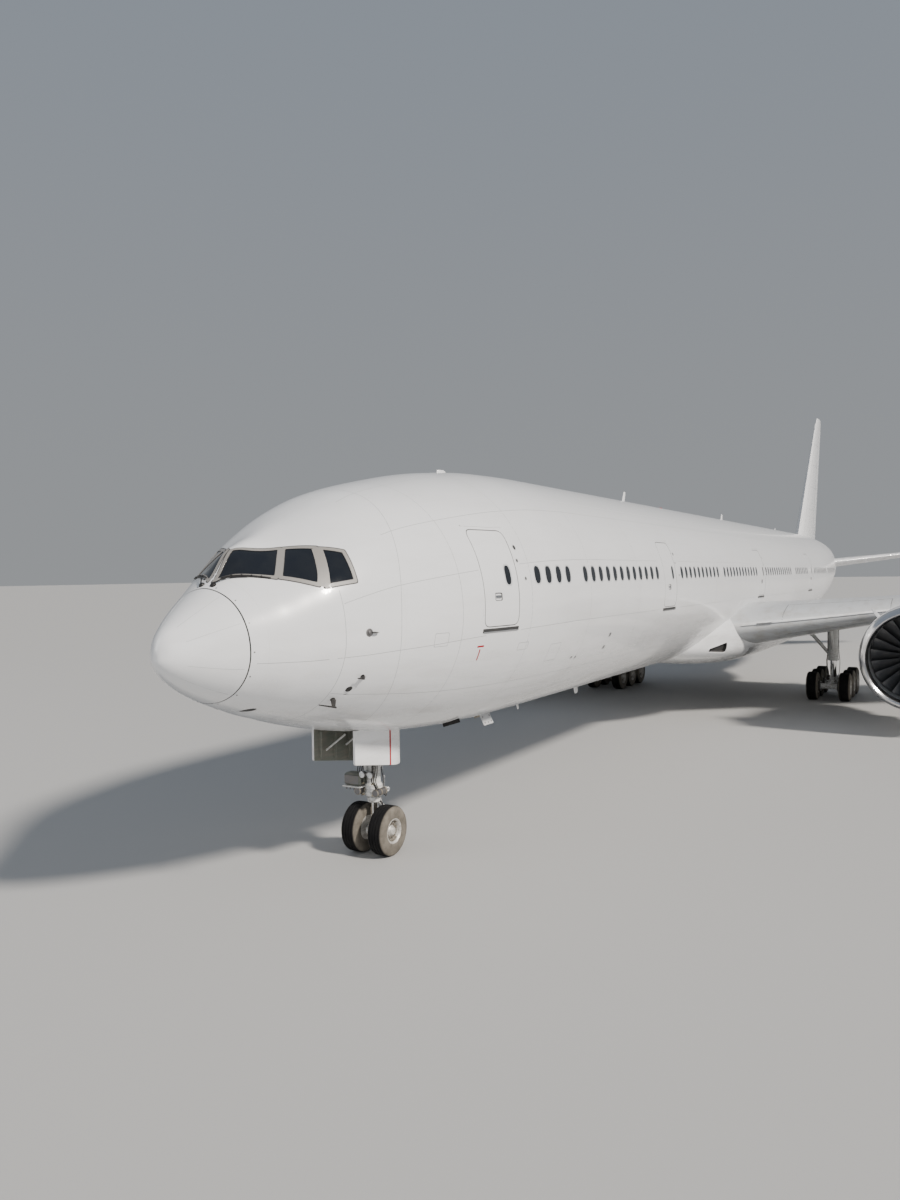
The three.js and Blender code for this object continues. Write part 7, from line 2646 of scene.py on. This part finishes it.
@dataclass
class MainGear:
    """One main leg with its three-axle truck."""

    palette: Palette
    hand: str
    aft: float = 36.97
    out: float = 5.485
    pitch: float = 1.47
    wheels: WheelPair = WheelPair(0.70, 0.66, 0.52, 0.30, 12)
    hub_radius: float = 0.13
    # Sections of the truck's beam: distance behind the leg, half width and half height
    beam = ((-1.56, 0.06, 0.08), (-1.50, 0.11, 0.13), (-1.30, 0.13, 0.15), (-0.3, 0.13, 0.16),
            (0.0, 0.14, 0.17),
            (0.3, 0.13, 0.16), (0.86, 0.12, 0.15), (0.98, 0.11, 0.13))

    def __post_init__(self) -> None:
        """Finds the side."""
        self.side = SIDES[self.hand]

    def at(self, inward: float, behind: float, up: float) -> Array:
        """A model point from a distance towards the centre plane, behind the leg, and above the ground."""
        return place(self.side * (self.out - inward), self.aft + behind, up)

    def build(self) -> None:
        """Makes the leg, truck, brakes, pipes and wheels."""
        self.leg()
        self.truck()
        self.pipes()
        up = self.wheels.radius
        for name, step in (("front", -1), ("middle", 0), ("aft", 1)):
            body = f"main_wheels_{name}_{self.hand}"
            self.wheels.build(body, self.at(0, step * self.pitch, up), self.palette, body, body)

    def leg(self) -> None:
        """Makes the leg and its braces."""
        made = Shape()
        foot = self.at(0, 0, 0.66)
        turned_column(made, foot, [(0.0, 0.10), (0.04, 0.16), (0.20, 0.17), (0.24, 0.15), (0.30, 0.148)], 0)
        cylinder = [(1.09, 0.14), (1.09, 0.235), (1.11, 0.25), (1.20, 0.25), (1.22, 0.235), (1.62, 0.235),
                    (1.64, 0.25), (1.72, 0.25), (1.74, 0.232), (2.6, 0.232), (2.62, 0.245), (2.68, 0.245),
                    (2.70, 0.23), (3.70, 0.225), (3.74, 0.10)]
        turned_column(made, foot, [(0.28, 0.13), (0.30, 0.138), (1.20, 0.138), (1.21, 0.10)], 1)
        turned_column(made, foot, cylinder, 0, 48)
        side_knee, drag_knee = self.at(0.95, -0.05, 3.0), self.at(0, -1.1, 3.35)
        for start, knee, end, radius in ((self.at(0.12, 0, 1.98), side_knee, self.at(1.75, -0.1, 3.9),
                                          0.09),
                                         (self.at(0, -0.14, 2.24), drag_knee, self.at(0, -2.0, 4.3), 0.10)):
            made.rod(start, knee, radius * 0.85 * SCALE, radius * SCALE, sides=24, edge=0.004)
            made.rod(knee, end, radius * SCALE, radius * 0.9 * SCALE, sides=24, edge=0.004)
            across = np.cross(end - start, [0.0, 0.0, 1.0])
            across = across / np.linalg.norm(across) * 0.06
            made.rod(knee - across, knee + across, radius * 1.15 * SCALE, sides=24, edge=0.004, mark=0)
        apex, low, high = self.at(0, 0.46, 1.40), self.at(0, 0.16, 1.02), self.at(0, 0.22, 1.86)
        for turn in (1, -1):
            for end in (low, high):
                made.rod(end + vec(turn * 0.055, 0, 0), apex + vec(turn * 0.014, 0, 0), 0.035 * SCALE,
                         0.028 * SCALE, sides=14, edge=0.002)
        for end, half in ((low, 0.07), (high, 0.07), (apex, 0.035)):
            made.rod(end - vec(half, 0, 0), end + vec(half, 0, 0), 0.045 * SCALE, sides=20, edge=0.002,
                     mark=2)
        piece = made.build(f"main_leg_{self.hand}", self.palette("gear", "chrome", "metal"))
        settle(piece, AIRFRAME, Slot.GEAR, f"main_gear_{self.hand}")

    def truck(self) -> None:
        """Makes the truck beam with its axles and brakes, and the steered axle."""
        up = self.wheels.radius
        made = Shape()
        turn = np.linspace(0, 2 * math.pi, 28, endpoint=False)
        across, rise = (np.sign(value) * np.abs(value) ** 0.55 for value in (np.sin(turn), np.cos(turn)))
        made.grid(np.array([self.at(half * across, behind, up + tall * rise)
                            for behind, half, tall in self.beam]))
        for lift in (-0.2, 0.2):
            plate = self.at(0, self.pitch - 0.29, up + lift)
            made.block(plate - vec(0.055, 0.205, 0.015), plate + vec(0.055, 0.205, 0.015), 0.006)
        web = self.at(0, self.pitch - 0.59, up)
        made.block(web - vec(0.05, 0.05, 0.107), web + vec(0.05, 0.05, 0.107), 0.006)
        for step in (-1, 0):
            self.axle(made, self.at(0, step * self.pitch, up))
        settle(made.build(f"truck_beam_{self.hand}", self.palette("gear", "brake", "metal")), AIRFRAME,
               Slot.GEAR)
        rear = Shape()
        centre = self.at(0, self.pitch, up)
        self.axle(rear, centre)
        rear.rod(centre - vec(0, 0, 0.118), centre + vec(0, 0, 0.118), 0.07 * SCALE, sides=32, edge=0.002,
                 mark=2)
        node = f"aft_axle_{self.hand}"
        settle(rear.build(f"steered_axle_{self.hand}", self.palette("gear", "brake", "metal")), node,
               Slot.GEAR, node)

    def axle(self, made: Shape, centre: Array) -> None:
        """Adds an axle's housing with a brake pack and its pistons at each end."""
        half, r = 0.36 * SCALE, self.hub_radius * SCALE
        end = [(half * 0.3, r * 0.86), (half * 0.6, r), (half, r * 0.95), (half, r * 0.7)]
        made.lathe([(-along, radius) for along, radius in end[::-1]] + end, centre, (1, 0, 0), 36, 0)
        discs = [(0.0, 0.06), (0.0, 0.118), (0.006, 0.122), (0.020, 0.122), (0.022, 0.117), (0.026, 0.117),
                 (0.028, 0.122), (0.044, 0.122), (0.046, 0.06)]
        for side in (1, -1):
            pack = centre + vec(side * 0.375 * SCALE, 0, 0)
            made.lathe(discs, pack, (side, 0, 0), 48, 1)
            for i in range(6):
                angle = 2 * math.pi * (i + 0.5) / 6
                piston = pack + vec(0.0, math.cos(angle), math.sin(angle)) * 0.095
                made.rod(piston, piston - vec(side * 0.018, 0, 0), 0.016, sides=16, edge=0.002, mark=2)

    def pipes(self) -> None:
        """Makes the pipes down the leg, the hoses to the brakes, and the truck's positioner."""
        made = Shape()
        up = self.wheels.radius
        for inward, behind in ((0.24, 0.08), (0.245, -0.06), (-0.24, 0.05)):
            path = ((1.0, 1, 3.6), (1.0, 1, 2.8), (1.05, 1, 2.1), (1.2, 1, 1.7), (1.1, 1.5, 1.2),
                    (0.7, 2, 0.95))
            made.tube([self.at(inward * wide, behind * deep, height) for wide, deep, height in path], 0.007,
                      8)
        for step in (-1, 0):
            for turn in (1, -1):
                start = self.at(turn * 0.14, step * self.pitch * 0.6, up + 0.14)
                end = self.at(turn * 0.36, step * self.pitch + 0.1, up + 0.2)
                made.tube([start, (start + end) / 2 + vec(0, 0, 0.035), end], 0.006, 8)
        top = self.at(0.0, -0.2, 1.5)
        made.rod(self.at(0.0, -1.1, up + 0.12), top, 0.045 * SCALE, sides=18, edge=0.003, mark=1)
        made.rod(self.at(0.0, -0.75, up + 0.385), top, 0.03 * SCALE, sides=18, mark=2)
        finishes = self.palette("hose", "gear", "chrome")
        settle(made.build(f"main_leg_pipes_{self.hand}", finishes), AIRFRAME, Slot.GEAR)


@dataclass
class Studio:
    """A plain pale floor, soft light, and the camera."""

    camera_place: tuple[float, float, float] = (5.746, -23.626, 3.057)
    camera_view: tuple[float, float, float] = (-0.5007, 0.8651, -0.0279)
    camera_roll: float = -0.01206
    lens: float = 27.34
    floor_half: float = 400.0

    def build(self) -> None:
        """Sets the floor, lights, world and camera."""
        floor = Shape()
        floor.add([(-self.floor_half, -self.floor_half, 0), (self.floor_half, -self.floor_half, 0),
                   (self.floor_half, self.floor_half, 0), (-self.floor_half, self.floor_half, 0)],
                  [(0, 1, 2, 3)])
        ground = Finish("studio_floor", (0.44, 0.44, 0.435), roughness=0.75, dirt=0.0, cloud=0.0,
                        grain=0.0).material()
        made = floor.build("studio_floor", [ground])
        self.world()
        self.sun("key_light", 5.2, 7.0, (0.90, -0.10, 0.74))
        self.panel("port_fill", 900.0, 14.0, (16.0, -36.0, 9.0), (0.0, -14.0, 2.5))
        self.panel("nose_fill", 1000.0, 12.0, (-16.0, -34.0, 12.0), (0.0, -16.0, 2.5))
        self.camera()

    def world(self) -> None:
        """A pale backdrop, brighter overhead than at the horizon."""
        world = bpy.data.worlds.new("studio_world")
        bpy.context.scene.world = world
        world.use_nodes = True
        board = Board(world.node_tree)
        split = board.node("ShaderNodeSeparateXYZ")
        board.feed(split.inputs[0], board.node("ShaderNodeTexCoord").outputs["Generated"])
        rise = board.ramp(split.outputs[2], -0.05, 0.7)
        colour = board.mix(rise, rgba((0.74, 0.77, 0.80)), rgba((0.60, 0.68, 0.80)))
        background = world.node_tree.nodes["Background"]
        board.feed(background.inputs["Color"], colour)
        background.inputs["Strength"].default_value = 0.42

    def sun(self, name: str, power: float, spread: float, towards: tuple[float, float, float]) -> None:
        """A far light with soft edges, in a direction seen from the airliner."""
        light = bpy.data.lights.new(name, "SUN")
        light.energy, light.angle = power, math.radians(spread)
        light.color = (1.0, 0.93, 0.85)
        lamp = bpy.data.objects.new(name, light)
        lamp.rotation_euler = Vector(towards).to_track_quat("Z", "Y").to_euler()
        bpy.context.scene.collection.objects.link(lamp)

    def panel(self, name: str, power: float, size: float, at: tuple[float, float, float],
              aim: tuple[float, float, float]) -> None:
        """A large square light aimed at a point."""
        light = bpy.data.lights.new(name, "AREA")
        light.energy, light.size = power, size
        lamp = bpy.data.objects.new(name, light)
        lamp.location = at
        lamp.rotation_euler = (Vector(aim) - Vector(at)).to_track_quat("-Z", "Y").to_euler()
        bpy.context.scene.collection.objects.link(lamp)

    def camera(self) -> None:
        """The camera at the photograph's viewing angle."""
        data = bpy.data.cameras.new("camera")
        data.lens, data.sensor_width, data.sensor_fit = self.lens, 36.0, "AUTO"
        data.clip_start, data.clip_end = 0.1, 1000.0
        view = Vector(self.camera_view).normalized()
        right = view.cross(Vector((0, 0, 1))).normalized()
        up = right.cross(view)
        c, s = math.cos(self.camera_roll), math.sin(self.camera_roll)
        right, up = right * c + up * s, up * c - right * s
        turn = Matrix((right, up, -view)).transposed().to_4x4()
        camera = bpy.data.objects.new("camera", data)
        camera.matrix_world = Matrix.Translation(self.camera_place) @ turn
        bpy.context.scene.collection.objects.link(camera)
        bpy.context.scene.camera = camera


def main() -> None:
    """Builds every sub-assembly in order."""
    palette = Palette()
    inset = [FlightDeck(palette), CabinWindows(palette), PassengerDoors(palette), CargoDoors(palette)]
    pockets = Shape()
    for part in inset:
        pockets.merge(part.pockets())
    Hull(palette).build(pockets)
    parts = [HullFittings(palette), *inset, BellyFairing(palette), Tail(palette), NoseGear(palette)]
    for hand in SIDES:
        parts += [Wing(palette, hand), Engine(palette, hand), MainGear(palette, hand)]
    for part in parts:
        part.build()
        log.info("%s done", type(part).__name__)
    Studio().build()


if __name__ == "__main__":
    main()
